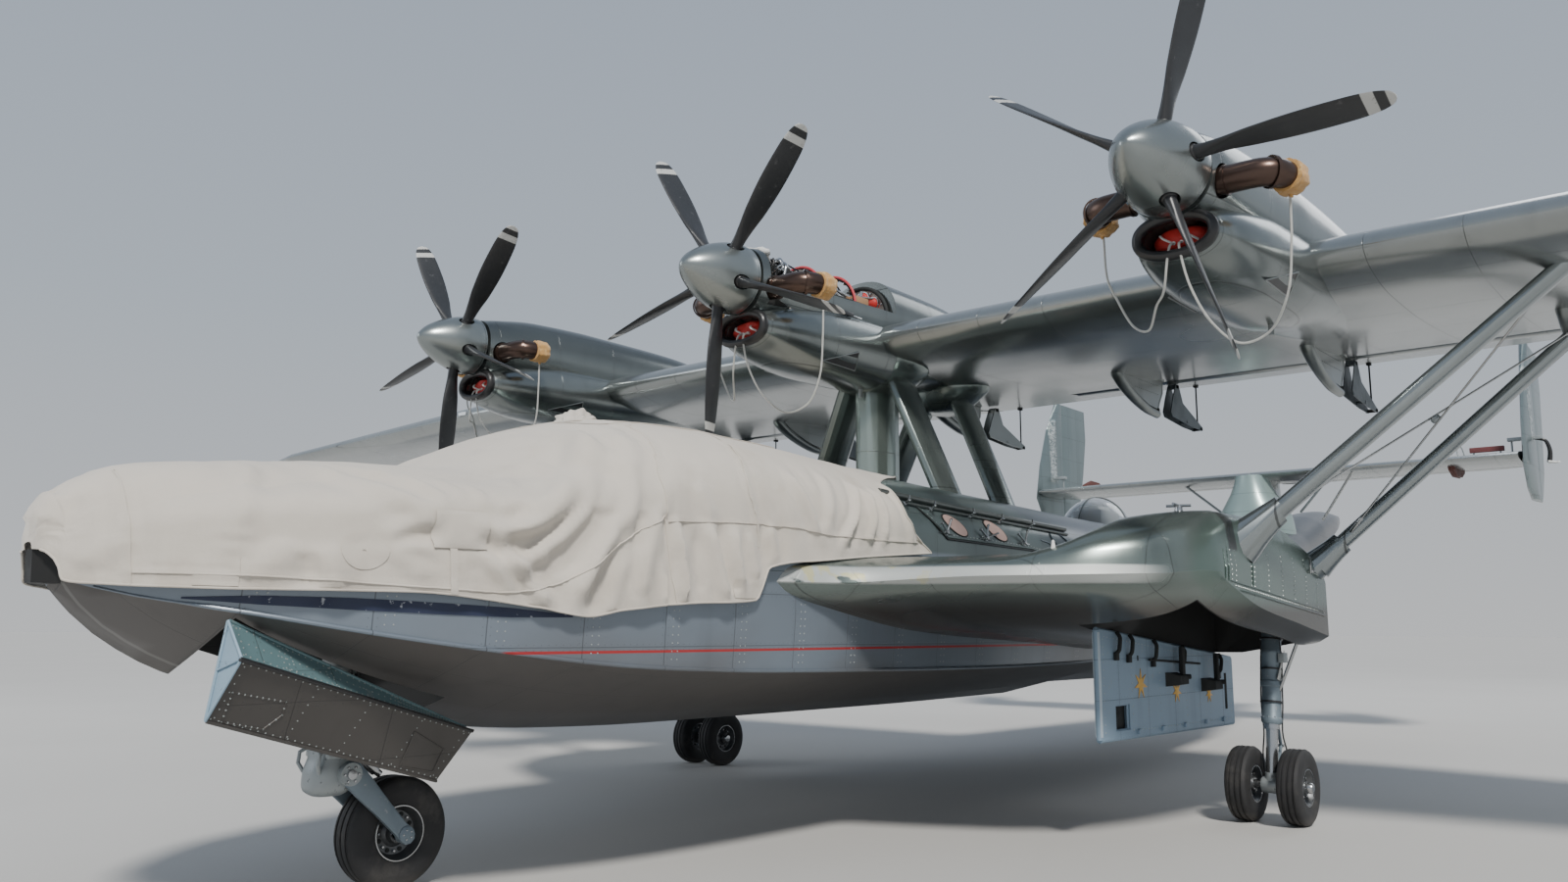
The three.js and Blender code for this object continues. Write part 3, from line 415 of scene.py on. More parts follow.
    def panel(self, cross, along, pitch, off=0.0, rivet=0.04, rr=0.0045, gap=0.004, edge=0.022, dark=0.55, lines=True):
        """Seams across one coordinate, every pitch metres, with a row of rivets on each side."""
        d = self.near(cross, pitch, off)
        line = self.m("SUBTRACT", 1.0, self.s(d, gap * 0.4, gap))
        a = self.near(along, rivet)
        w = self.m("SUBTRACT", d, edge)
        q = self.m("SQRT", self.m("ADD", self.m("MULTIPLY", a, a), self.m("MULTIPLY", w, w)))
        dot = self.m("SUBTRACT", 1.0, self.s(q, rr * 0.5, rr * 1.15))
        if lines:
            self.mixc(self.m("MULTIPLY", line, dark), (0.03, 0.03, 0.03))
            self.bump(line, -0.0012)
        self.mixc(self.m("MULTIPLY", dot, 0.28), (0.05, 0.05, 0.055))
        self.bump(dot, 0.0005)
        return d

    def done(self, backface=None):
        self._set(self.b.inputs["Base Color"], self.col)
        self._set(self.b.inputs["Roughness"], self.rgh)
        self._set(self.b.inputs["Metallic"], self.met)
        if self.h is not None:
            n = self.t.nodes.new("ShaderNodeBump")
            n.inputs["Strength"].default_value = 1.0
            n.inputs["Distance"].default_value = 1.0
            self.t.links.new(self.h, n.inputs["Height"])
            self.t.links.new(n.outputs[0], self.b.inputs["Normal"])
        return self.mat


def weather(m, amount=0.12, scale=0.9, fine=9.0, streak=True):
    """Broad and fine variation of shade and gloss, with faint runs of dirt."""
    broad = m.noise(scale, 2.5)
    m.mul(broad, 1 - amount, 1 + amount)
    m.mul(m.noise(fine * 0.4, 2.0, 0.5), 1 - amount * 0.3, 1 + amount * 0.3)
    if streak:
        st = m.noise(3.0, 2.5, 0.5, stretch=(1.6, 1.6, 0.16))
        m.mul(m.s(st, 0.52, 0.75), 1.0, 1 - amount * 1.1)
    if not isinstance(m.rgh, bpy.types.NodeSocket):
        r0 = m.rgh
        m.mixr(m.s(broad, 0.35, 0.7), min(1.0, r0 * 1.15))


# ------------------------------------------------------------------ materials
def silver(name, base=(0.34, 0.36, 0.355), rough=0.27, metallic=0.82, **kw):
    return Mat(name, base, rough, metallic, Coat_Weight=0.25, Coat_Roughness=0.12, **kw)


def wing_material():
    m = silver("wing_silver", (0.33, 0.35, 0.345), 0.24, 0.85)
    weather(m, 0.10, 0.5)
    m.panel(m.x, m.y, 0.62, 0.1, rivet=0.045)
    m.panel(m.y, m.x, 0.84, 0.22, rivet=0.045)
    return m.done()


def nacelle_material(name, cx, cz=4.465):
    m = silver(name, (0.225, 0.250, 0.246), 0.22, 0.85)
    weather(m, 0.10, 0.8)
    m.panel(m.y, m.z, 0.74, 0.18, rivet=0.042)
    m.panel(m.z, m.y, 0.46, 0.09, rivet=0.042, edge=0.018)
    top = m.s(m.z, cz - 0.05, cz + 0.12)
    m.mul(top, 1.0, 0.62)
    soot = m.m("MULTIPLY", m.s(m.y, -5.3, -4.2), m.s(m.noise(2.2, 4.0, stretch=(1, 0.35, 1.6)), 0.42, 0.62))
    m.mul(soot, 1.0, 0.86)
    return m.done()


def hull_material():
    m = Mat("hull_paint", (0.180, 0.215, 0.255), 0.30, 0.42, Coat_Weight=0.35, Coat_Roughness=0.2)
    y, z = m.y, m.z
    # above the sheer the deck is dark green-grey
    deck = m.s(z, 2.12, 2.16)
    m.mixc(deck, (0.085, 0.115, 0.115))
    aft = m.m("MULTIPLY", m.s(y, -3.2, -2.0), deck)
    m.mixc(m.m("MULTIPLY", aft, 0.8), (0.035, 0.055, 0.10))
    # red line just above the chine
    wl = m.m("ABSOLUTE", m.m("SUBTRACT", z, 1.411))
    red = m.m("MULTIPLY", m.s(wl, 0.010, 0.006), m.m("MULTIPLY", m.s(y, -9.05, -9.0), m.s(y, 3.0, 2.9)))
    # mottled brown, stronger down towards the chine
    low_side_mottle = m.s(m.noise(1.3, 3.0, 0.5, stretch=(1, 0.5, 1)), 0.45, 0.7)
    m.mixc(m.m("MULTIPLY", m.m("MULTIPLY", low_side_mottle, m.s(z, 1.75, 1.25)), 0.45), (0.105, 0.085, 0.070))
    m.mixc(m.m("MULTIPLY", m.s(y, 2.4, 3.6), 0.75), (0.070, 0.062, 0.055))
    m.mixc(red, (0.42, 0.028, 0.03))
    weather(m, 0.08, 0.6)
    m.panel(y, z, 0.58, 0.13, rivet=0.045)
    m.panel(z, y, 0.335, 0.07, rivet=0.045, edge=0.016, dark=0.35)
    # inside of the nose gear bay: its dark primer painted near black as painted shade
    ax = m.m("ABSOLUTE", m.x)
    bay = m.m("MULTIPLY", m.m("MULTIPLY", m.s(ax, 0.752, 0.742), m.s(z, 1.93, 1.91)), m.m("MULTIPLY", m.s(y, -10.285, -10.278), m.s(y, -8.865, -8.872)))
    m.mixc(bay, (0.020, 0.021, 0.021))
    m.mixm(bay, 0.0)
    m.mixr(bay, 0.85)
    return m.done()


def bottom_material():
    """Planing bottom and keel: dull taupe paint darkened with painted shade and a painted reflection of the dark
    ground, getting darker towards the tail with more painted shade.
    """
    m = Mat("hull_bottom", (0.082, 0.074, 0.068), 0.42, 0.15, Coat_Weight=0.25, Coat_Roughness=0.3)
    ax = m.m("ABSOLUTE", m.x)
    weather(m, 0.14, 0.8)
    # painted shade under the hull, darker aft of the bow
    m.mixc(m.m("MULTIPLY", m.s(m.y, -9.0, -3.5), 0.7), (0.022, 0.019, 0.017))
    m.panel(m.y, ax, 0.58, 0.13, rivet=0.045)
    m.panel(ax, m.y, 0.41, 0.20, rivet=0.045, edge=0.018, dark=0.35)
    # strips beside the stem
    d = m.m("ABSOLUTE", m.m("SUBTRACT", ax, 0.115))
    m.mixc(m.m("MULTIPLY", m.m("MULTIPLY", m.s(d, 0.014, 0.010), m.s(m.y, -8.4, -8.6)), 0.8), (0.17, 0.165, 0.155))
    # round plate on the bow
    dx = m.m("SUBTRACT", ax, 0.42)
    dy = m.m("ADD", m.y, 10.02)
    q = m.m("SQRT", m.m("ADD", m.m("MULTIPLY", dx, dx), m.m("MULTIPLY", dy, dy)))
    ring = m.s(m.m("ABSOLUTE", m.m("SUBTRACT", q, 0.13)), 0.010, 0.006)
    m.mixc(m.m("MULTIPLY", ring, 0.7), (0.18, 0.175, 0.165))
    return m.done()


def canvas_material():
    m = Mat("canvas_cloth", (0.60, 0.550, 0.480), 0.9, 0.0, Sheen_Weight=0.25, Sheen_Roughness=0.5)
    m.mul(m.noise(0.7, 3.0), 0.93, 1.06)
    m.mul(m.noise(4.0, 5.0, 0.6), 0.94, 1.05)
    stain = m.s(m.noise(1.1, 5.0, 0.65, off=(3.1, 0.4, 1.7)), 0.57, 0.72)
    m.mixc(m.m("MULTIPLY", stain, 0.35), (0.46, 0.39, 0.30))
    run = m.s(m.noise(2.2, 4.0, 0.6, stretch=(1.4, 1.4, 0.18)), 0.56, 0.76)
    m.mixc(m.m("MULTIPLY", run, 0.22), (0.42, 0.37, 0.31))
    low = m.m("MULTIPLY", m.s(m.z, 2.05, 1.70), m.s(m.noise(3.5, 4.0), 0.4, 0.62))
    m.mixc(m.m("MULTIPLY", low, 0.35), (0.40, 0.35, 0.29))
    weave = m.m("MULTIPLY", m.wave(160.0, "Y"), m.wave(160.0, "Z"))
    m.bump(weave, 0.0004)
    m.bump(m.noise(26.0, 4.0, 0.6), 0.0015)
    m.bump(m.noise(6.0, 4.0, 0.6), 0.006)
    return m.done()


def tan_cloth_material():
    m = Mat("tan_cloth", (0.56, 0.31, 0.10), 0.92, 0.0, Sheen_Weight=0.3, Sheen_Roughness=0.5)
    m.mul(m.noise(9.0, 5.0, 0.65), 0.72, 1.18)
    m.mixc(m.s(m.noise(22.0, 4.0, 0.6), 0.55, 0.72), (0.68, 0.46, 0.20))
    m.bump(m.m("MULTIPLY", m.wave(300.0, "X"), m.wave(300.0, "Z")), 0.0006)
    m.bump(m.noise(40.0, 4.0), 0.004)
    return m.done()


def red_cloth_material():
    m = Mat("red_cover", (0.52, 0.018, 0.012), 0.55, 0.0, Coat_Weight=0.15, Coat_Roughness=0.4)
    m.mul(m.noise(7.0, 5.0, 0.65), 0.6, 1.25)
    m.bump(m.noise(18.0, 4.0), 0.008)
    m.bump(m.m("MULTIPLY", m.wave(260.0, "X"), m.wave(260.0, "Z")), 0.0005)
    return m.done()


def blade_material(name, c):
    m = Mat(name, (0.020, 0.021, 0.023), 0.42, 0.1, Coat_Weight=0.2, Coat_Roughness=0.3)
    dx = m.m("SUBTRACT", m.x, c[0])
    dz = m.m("SUBTRACT", m.z, c[2])
    r = m.m("SQRT", m.m("ADD", m.m("MULTIPLY", dx, dx), m.m("MULTIPLY", dz, dz)))
    m.mul(m.noise(6.0, 5.0, 0.65), 0.7, 1.5)
    m.mixc(m.m("MULTIPLY", m.s(m.noise(16.0, 6.0, 0.7), 0.60, 0.70), 0.35), (0.14, 0.14, 0.14))
    white = m.m("ADD", m.m("MULTIPLY", m.s(r, 1.240, 1.246), m.s(r, 1.312, 1.306)), m.s(r, 1.364, 1.370))
    worn = m.m("MULTIPLY", white, m.m("SUBTRACT", 1.0, m.m("MULTIPLY", m.s(m.noise(30.0, 6.0, 0.7), 0.58, 0.66), 0.5)))
    m.mixc(worn, (0.52, 0.52, 0.50))
    m.bump(m.noise(60.0, 3.0), 0.0004)
    return m.done()


def tyre_material():
    m = Mat("tyre_rubber", (0.018, 0.018, 0.019), 0.72, 0.0)
    m.mul(m.noise(7.0, 5.0, 0.6), 0.7, 1.5)
    m.mixc(m.m("MULTIPLY", m.s(m.noise(3.0, 5.0, 0.7), 0.5, 0.7), 0.4), (0.085, 0.078, 0.070))
    m.mixc(m.m("MULTIPLY", m.s(m.z, 0.10, 0.0), 0.5), (0.11, 0.10, 0.09))
    m.bump(m.noise(90.0, 4.0), 0.0008)
    return m.done()


def plain_paint(name, color, rough=0.4, metallic=0.0, var=0.15, chips=None, scale=3.0, fine=14.0, **kw):
    m = Mat(name, color, rough, metallic, **kw)
    m.mul(m.noise(scale, 4.0), 1 - var, 1 + var)
    if metallic > 0.5:
        m.mul(m.noise(fine * 0.5, 2.0, 0.5), 1 - var * 0.3, 1 + var * 0.3)
        return m.done()
    m.mul(m.noise(fine, 3.0, 0.55), 1 - var * 0.6, 1 + var * 0.6)
    if chips:
        m.mixc(m.m("MULTIPLY", m.s(m.noise(fine * 1.6, 4.0, 0.6), 0.63, 0.68), 0.7), chips)
    m.mixr(m.s(m.noise(fine * 0.5, 2.0), 0.4, 0.7), min(1.0, rough * 1.3))
    m.bump(m.noise(fine * 2, 2.0), 0.0004)
    return m.done()


def primer_panel(name, color, pitch_y=0.42, pitch_z=0.30, dark=0.5, rr=0.006, chip=0.3):
    m = Mat(name, color, 0.42, 0.25)
    weather(m, 0.13, 1.4)
    m.panel(m.y, m.z, pitch_y, 0.05, rivet=0.05, rr=rr)
    m.panel(m.z, m.y, pitch_z, 0.02, rivet=0.05, rr=rr, edge=0.018, dark=dark)
    if chip:
        m.mixc(m.m("MULTIPLY", m.s(m.noise(9.0, 4.0, 0.6), 0.63, 0.70), chip), (0.30, 0.31, 0.30))
    return m.done()


WING = wing_material()
HULL_PAINT = hull_material()
BOTTOM = bottom_material()
CANVAS = canvas_material()
TAN = tan_cloth_material()
RED = red_cloth_material()
TYRE = tyre_material()
SILVER = plain_paint("bare_silver", (0.40, 0.42, 0.42), 0.28, 0.85, 0.08)


def strut_material():
    m = silver("strut_silver", (0.29, 0.32, 0.325), 0.20, 0.82)
    weather(m, 0.08, 0.8)
    d = m.m("ABSOLUTE", m.m("SUBTRACT", m.m("ABSOLUTE", m.x), 3.84))
    m.mixc(m.m("MULTIPLY", m.s(d, 0.009, 0.005), 0.7), (0.03, 0.03, 0.03))
    return m.done()


STRUT = strut_material()
# near-black paint for dark parts, also used inside holes and recesses as painted shade
DARK = plain_paint("dark_inside", (0.018, 0.020, 0.020), 0.75, 0.1, 0.3)
BLACK = plain_paint("black_rubber_edge", (0.014, 0.014, 0.015), 0.38, 0.0, 0.3, Coat_Weight=0.3, Coat_Roughness=0.25)
BRONZE = plain_paint("exhaust_bronze", (0.095, 0.062, 0.050), 0.30, 0.85, 0.30, scale=6.0)
STEEL = plain_paint("machined_steel", (0.45, 0.46, 0.47), 0.22, 0.95, 0.08)
CAST = plain_paint("cast_grey", (0.33, 0.36, 0.37), 0.42, 0.45, 0.14, chips=(0.12, 0.12, 0.12))
BLUEGREY = plain_paint("gear_blue_grey", (0.17, 0.215, 0.25), 0.40, 0.35, 0.14, chips=(0.32, 0.33, 0.33))
WHITE = plain_paint("white_fabric", (0.72, 0.72, 0.69), 0.7, 0.0, 0.10)
PIPE = plain_paint("bright_pipe", (0.55, 0.56, 0.56), 0.25, 0.9, 0.15)
BROWN = plain_paint("red_oxide", (0.17, 0.060, 0.040), 0.45, 0.3, 0.25, chips=(0.30, 0.28, 0.26))
GOLD = plain_paint("star_gold", (0.62, 0.36, 0.07), 0.35, 0.6, 0.14)
PINK = plain_paint("blanked_window", (0.42, 0.285, 0.25), 0.45, 0.0, 0.12, Coat_Weight=0.4, Coat_Roughness=0.15)
ENGINE_GREY = plain_paint("engine_grey", (0.22, 0.23, 0.24), 0.38, 0.7, 0.25, scale=7.0)
NAVY = plain_paint("spray_strip_navy", (0.012, 0.018, 0.034), 0.40, 0.1, 0.35, chips=(0.30, 0.33, 0.36), scale=5.0, fine=7.0)
ROPE = None


def rope_material():
    m = Mat("white_rope", (0.66, 0.66, 0.62), 0.85, 0.0, Sheen_Weight=0.2)
    m.mul(m.wave(90.0, "DIAGONAL"), 0.72, 1.08)
    m.mul(m.noise(12.0, 4.0), 0.85, 1.08)
    m.bump(m.wave(90.0, "DIAGONAL"), 0.002)
    return m.done()


ROPE = rope_material()


def glass_material():
    m = Mat("dome_clear", (0.90, 0.93, 0.95), 0.06, 0.0, Transmission_Weight=0.85, IOR=1.45)
    m.mul(m.noise(4.0, 4.0), 0.92, 1.04)
    m.bump(m.noise(3.0, 2.0), 0.002)
    return m.done()


GLASS = glass_material()

# ------------------------------------------------------------------ cords: tie ropes, intake plug to exhaust cover
HUB_Y, HUB_Z, ENG_X = -6.075, 4.465, 3.784


def catmull(points, n):
    """Centripetal curve through the points, n samples with even parameter."""
    P = [v3(p) for p in points]
    P = [2 * P[0] - P[1]] + P + [2 * P[-1] - P[-2]]
    out = []
    seg = len(P) - 3
    for k in range(n + 1):
        u = min(k / n * seg, seg - 1e-9)
        i = int(u)
        w = u - i
        p0, p1, p2, p3 = P[i:i + 4]
        d0 = max(np.linalg.norm(p1 - p0) ** 0.5, 1e-4)
        d1 = max(np.linalg.norm(p2 - p1) ** 0.5, 1e-4)
        d2 = max(np.linalg.norm(p3 - p2) ** 0.5, 1e-4)
        t1 = ((p1 - p0) / d0 - (p2 - p0) / (d0 + d1) + (p2 - p1) / d1) * d1
        t2 = ((p2 - p1) / d1 - (p3 - p1) / (d1 + d2) + (p3 - p2) / d2) * d1
        h = ((2 * w ** 3 - 3 * w ** 2 + 1) * p1 + (w ** 3 - 2 * w ** 2 + w) * t1
             + (-2 * w ** 3 + 3 * w ** 2) * p2 + (w ** 3 - w ** 2) * t2)
        out.append(h)
    return np.array(out)


for label, dx, low in (("port", ENG_X, 3.350), ("centre", 0.0, 3.340), ("stbd", -ENG_X, 3.400)):
    for side, tag, lo in ((1, "left", low), (-1, "right", low + 0.180)):
        route = [(dx + side * x, y, z) for x, y, z in (
            (0.026, -5.745, 4.030), (0.030, -5.806, 4.000), (0.044, -5.822, 3.920), (0.090, -5.800, 3.700),
            (0.180, -5.700, lo + 0.120), (0.300, -5.560, lo), (0.450, -5.460, lo + 0.070), (0.570, -5.450, lo + 0.290),
            (0.620, -5.470, 3.960), (0.634, -5.480, 4.262))]
        path = catmull(route, 90)
        g = Geo().tube(path, 0.008, 10)
        o = g.build(f"rope_{label}_{tag}", ROPE, "airframe", replaces=f"tie_rope_{label}_{tag}", slot="rope")

# ------------------------------------------------------------------ hull
HULL = np.array([
    [-10890, 1745, 60, 1790, 75, 1960, 2060], [-10700, 1545, 430, 1705, 455, 2000, 2190],
    [-10270, 1300, 780, 1620, 815, 2070, 2300], [-9600, 1130, 1050, 1500, 1070, 2130, 2390],
    [-8900, 1000, 1240, 1400, 1260, 2180, 2440], [-8350, 915, 1330, 1335, 1350, 2240, 2680],
    [-7850, 880, 1380, 1300, 1400, 2300, 2880], [-6900, 855, 1410, 1265, 1440, 2320, 2930],
    [-4000, 850, 1420, 1230, 1450, 2250, 2860], [-1600, 870, 1390, 1250, 1430, 2200, 2790],
    [-1580, 960, 1390, 1330, 1430, 2200, 2790], [900, 960, 1280, 1340, 1360, 2200, 2760],
    [3600, 1180, 960, 1480, 1130, 2280, 2840], [3620, 1330, 960, 1560, 1130, 2280, 2840],
    [6800, 2260, 560, 2480, 700, 2800, 3200], [9900, 3150, 250, 3260, 300, 3450, 3680],
    [10975, 3460, 50, 3510, 60, 3600, 3690]]) / 1000.0


def hull_rows(ys):
    """Frames of the hull at the given stations, smooth between the steps."""
    out = []
    parts = [(0, 9), (10, 12), (13, 16)]
    for y in ys:
        for a, b in parts:
            if y <= HULL[b, 0] + 1e-9 or b == 16:
                seg = HULL[a:b + 1]
                out.append(np.concatenate([[y], pchip(seg[:, 0], seg[:, 1:], [y])[0]]))
                break
    return out


def hull_ring(row, grow=0.0, shoulder=12):
    y, kz, cx, cz, sx, sz, tz = row
    half = [(0, kz - grow)]
    for t in (0.34, 0.67):
        half.append((t * cx, kz + (cz - kz) * t * (1 - 0.10 * (1 - t)) - grow))
    half += [(cx + grow, cz - grow), (cx + grow, cz + 0.02), (sx + grow, cz + (sz - cz) * 0.35), (sx + grow, sz)]
    for i in range(1, shoulder + 1):
        t = i / shoulder * math.pi / 2
        half.append(((sx + grow) * max(math.cos(t), 0) ** 0.85, sz + (tz + grow - sz) * math.sin(t) ** 0.85))
    half[-1] = (0, tz + grow)
    ring = [(x, y, z) for x, z in half]
    ring += [(-x, y, z) for x, z in reversed(half[1:-1])]
    return ring


stations = np.concatenate([np.linspace(-10.89, -8.0, 26), np.linspace(-7.88, -1.6, 36), [-1.58],
                           np.linspace(-1.4, 3.6, 26), [3.62], np.linspace(3.8, 10.975, 34)])
hg = Geo().loft([hull_ring(r) for r in hull_rows(stations)])
nr = len(hull_ring(hull_rows([-8.0])[0]))
low_edge = {0, 1, 2, 3, nr - 1, nr - 2, nr - 3}
for q, f in enumerate(hg.f):
    if len(f) == 4 and all(i % nr in low_edge for i in f):
        hg.m[q] = 2
hull = hg.build("hull_shell", [HULL_PAINT, DARK, BOTTOM], "airframe", replaces="hull", slot="hull")
bay = Geo().loft([[(-0.72, -10.27, 0.7), (0.72, -10.27, 0.7), (0.72, -10.27, 1.9), (-0.72, -10.27, 1.9)],
                  [(-0.48, -8.88, 0.7), (0.48, -8.88, 0.7), (0.48, -8.88, 1.9), (-0.48, -8.88, 1.9)]])
well = Geo().lathe([(2.45, 0.0), (2.45, 0.36), (3.4, 0.36), (3.4, 0.0)], (0, 0.77, 0), (0, 0, 1), 48)
cut(hull, cutter(bay, "cut_bay"), cutter(well, "cut_well"))

# ------------------------------------------------------------------ sponsons
SPONSON = np.array([
    [1300, -7260, -1600, 1855, 2060, 1620, 1330, 2000, 1650], [1460, -6960, -1640, 1860, 2070, 1620, 1330, 2000, 1630],
    [1640, -6500, -1680, 1862, 2085, 1630, 1325, 2000, 1600], [1900, -6300, -1740, 1880, 2090, 1640, 1320, 2000, 1570],
    [2460, -6055, -1880, 1905, 2100, 1650, 1310, 2010, 1510], [2780, -5890, -1990, 1908, 2200, 1655, 1310, 2030, 1480],
    [3080, -5720, -2150, 1912, 2350, 1660, 1330, 2060, 1450], [3500, -5300, -2480, 1925, 2385, 1720, 1400, 2080, 1440],
    [3610, -5060, -2590, 1945, 2320, 1790, 1480, 2060, 1480], [3650, -4930, -2620, 1940, 2010, 1810, 1500, 1930, 1500]]) / 1000.0


def sponson_ring(row, n=44):
    x, yf, yb, zn, zt, zbf, zba, tt, tf = row
    c = yb - yf
    top = [(0, 0), (0.02, 0.45), (0.08, 0.75), (0.22, 1), (0.55, 1)]
    up = [(s, zn + h * (zt - zn)) for s, h in top] + [(0.85, tt + 0.45 * (zt - tt)), (1.0, tt)]
    low = [(0, 0), (0.02, 0.28), (0.1, 0.62), (0.3, 1), (0.7, 1), (0.9, 1)]
    dn = [(s, zn - h * (zn - (zbf + (zba - zbf) * s))) for s, h in low] + [(1.0, tf)]
    su = np.linspace(0, 1, n) ** 1.8
    zu = pchip([a for a, _ in up], [b for _, b in up], su)
    zd = pchip([a for a, _ in dn], [b for _, b in dn], su)
    ring = [(x, yf + s * c, z) for s, z in zip(su, zu)] + [(x, yf + s * c, z) for s, z in zip(su[::-1], zd[::-1])][:-1]
    return ring


sx = np.concatenate([np.linspace(1.3, 2.46, 14), np.linspace(2.54, 3.5, 14), [3.55, 3.59, 3.61, 3.63, 3.65]])
sp_rows = pchip(SPONSON[:, 0], SPONSON[:, 1:], sx)


def sponson_material():
    m = silver("sponson_silver", (0.170, 0.205, 0.192), 0.25, 0.72)
    weather(m, 0.11, 0.6)
    ax = m.m("ABSOLUTE", m.x)
    m.panel(m.y, ax, 0.55, 0.1, rivet=0.045)
    m.panel(ax, m.y, 0.62, 0.06, rivet=0.045)
    end = m.s(ax, 3.52, 3.58)
    m.mixc(m.m("MULTIPLY", end, 0.85), (0.13, 0.185, 0.162))
    # dark band across the top near the tip
    band = m.m("MULTIPLY", m.m("MULTIPLY", m.s(m.y, -4.73, -4.715), m.s(m.y, -4.57, -4.585)), m.m("MULTIPLY", m.s(ax, 3.25, 3.27), m.s(m.z, 2.08, 2.12)))
    m.mixc(m.m("MULTIPLY", band, 0.9), (0.02, 0.02, 0.02))
    # bottom: smooth, painted dark brown as painted shade and a painted reflection of the brown ground
    painted_shade_and_reflection = m.s(m.z, 1.80, 1.66)
    m.mixc(m.m("MULTIPLY", painted_shade_and_reflection, 0.9), (0.048, 0.038, 0.030))
    # worn filler along the leading edge
    lead = m.m("MULTIPLY", m.m("MULTIPLY", m.s(m.z, 1.845, 1.865), m.s(m.z, 1.985, 1.965)),
               m.s(m.m("ADD", m.y, m.m("MULTIPLY", m.m("ABSOLUTE", m.m("SUBTRACT", ax, 2.2)), -0.42)), -5.84, -6.02))
    lead = m.m("MULTIPLY", lead, m.s(ax, 3.50, 3.47))
    patch = m.m("MULTIPLY", lead, m.s(m.noise(2.6, 3.0, 0.5, stretch=(1.0, 2.0, 4.0)), 0.30, 0.38))
    m.mixc(m.m("MULTIPLY", patch, 0.85), (0.52, 0.54, 0.52))
    m.mixm(patch, 0.30)
    m.mixr(patch, 0.45)
    yel = m.m("MULTIPLY", m.m("MULTIPLY", patch, m.s(m.noise(7.0, 3.0), 0.54, 0.62)), m.s(ax, 2.3, 1.9))
    m.mixc(m.m("MULTIPLY", yel, 0.6), (0.55, 0.50, 0.20))
    # inside of the wheel bay, painted near black as painted shade
    bay = m.m("MULTIPLY", m.m("MULTIPLY", m.s(ax, 2.590, 2.596), m.s(ax, 3.492, 3.485)),
              m.m("MULTIPLY", m.m("MULTIPLY", m.s(m.y, -4.972, -4.966), m.s(m.y, -2.318, -2.324)), m.s(m.z, 1.912, 1.906)))
    m.mixc(bay, (0.012, 0.012, 0.012))
    m.mixm(bay, 0.0)
    m.mixr(bay, 0.85)
    return m.done()


SPON = sponson_material()
for side, sgn in (("port", 1), ("stbd", -1)):
    g = Geo().loft([sponson_ring([x, *r]) for x, r in zip(sx, sp_rows)])
    if sgn < 0:
        g = g.mirrored()
    o = g.build(f"sponson_{side}_skin", [SPON, DARK], "airframe", replaces=f"sponson_{side}", slot="silver")
    b = Geo().box((sgn * 2.6, -4.96, 1.0) if sgn > 0 else (-3.48, -4.96, 1.0), (3.48, -2.33, 1.9) if sgn > 0 else (-2.6, -2.33, 1.9), bevel=0.001)
    cut(o, cutter(b, "cut_" + side))

# ------------------------------------------------------------------ wing
FOIL_U = [(0, 0), (.012, .018), (.05, .036), (.15, .063), (.32, .083), (.55, .075), (.76, .045), (1, .002)]
FOIL_L = [(0, 0), (.012, -.018), (.05, -.035), (.15, -.052), (.32, -.056), (.55, -.046), (.76, -.03), (1, -.004)]


def chord_at(x):
    return 4.2 if x < 6 else 4.2 - (x - 6) / 5.7 * 1.68


def le_at(x):
    return -4.38 if x < 6 else -4.38 + (x - 6) / 5.7 * 0.56


def z_at(x):
    return 4.2 if x < 6 else 4.2 + (x - 6) / 5.7 * 0.02


def foil_ring(x, yle, c, z, th=1.0, n=40, s0=0.0, s1=1.0):
    s = s0 + (s1 - s0) * np.linspace(0, 1, n) ** 2 if s0 == 0 else np.linspace(s0, s1, n)
    def h(tab, s):
        a = np.array(tab)
        v = pchip(a[:, 0], a[:, 1], s)
        k = 0.018 / math.sqrt(0.012)
        return np.where(s < 0.012, np.sign(a[1, 1]) * k * np.sqrt(np.maximum(s, 0)), v)
    zu = z + (h(FOIL_U, s) * th + 0.01 * s) * c
    zl = z + (h(FOIL_L, s) * th + 0.01 * s) * c
    up = [(x, yle + a * c, b) for a, b in zip(s, zu)]
    dn = [(x, yle + a * c, b) for a, b in zip(s[::-1], zl[::-1])]
    return up + (dn[:-1] if s0 == 0 else dn)


def wing_slot(x0, x1, sgn=1):
    def f(x):
        c = chord_at(x); y = le_at(x) + .76 * c; z = z_at(x)
        r = [(x, y, z - .4), (x, y, z + .5), (x, le_at(x) + c + .2, z + .5), (x, le_at(x) + c + .2, z - .4)]
        return [(sgn * a, b, q) for a, b, q in r]
    return Geo().loft([f(x0), f(x1)])


wc = Geo().loft([foil_ring(x, -4.38, 4.2, 4.2) for x in np.linspace(-5.9496, 5.9496, 25)])
wc = wc.build("wing_centre_skin", [WING, DARK], "airframe", replaces="wing_centre", slot="silver")
cut(wc, cutter(wing_slot(.7, 5.9), "s1"), cutter(wing_slot(.7, 5.9, -1), "s2"))
tips = [(6 - .0496, le_at(6), 4.2, 4.2, 1.0), (11.7, le_at(11.7), chord_at(11.7), z_at(11.7), 1.0),
        (13.0, le_at(11.7) + .42, 1.78, z_at(11.7) + .06, .85), (14.3, le_at(11.7) + 1.08, .83, z_at(11.7) + .19, .75),
        (15.0, le_at(11.7) + 1.56, .17, z_at(11.7) + .30, .9)]
tq = np.concatenate([np.linspace(5.9504, 11.7, 12), np.linspace(11.9, 15.0, 16)])
T = np.array(tips)
outer = [[x, *r] for x, r in zip(tq, np.concatenate([
    np.stack([np.interp(tq[:12], T[:2, 0], T[:2, i]) for i in range(1, 5)], 1),
    pchip(T[1:, 0], T[1:, 1:], tq[12:])]))]
for side, sgn in (("port", 1), ("stbd", -1)):
    g = Geo().loft([foil_ring(*r) for r in outer])
    if sgn < 0:
        g = g.mirrored()
    o = g.build(f"wing_{side}_skin", [WING, DARK], "airframe", replaces=f"wing_{side}", slot="silver")
    cut(o, cutter(wing_slot(6.25, 11.5, sgn), "s3"))


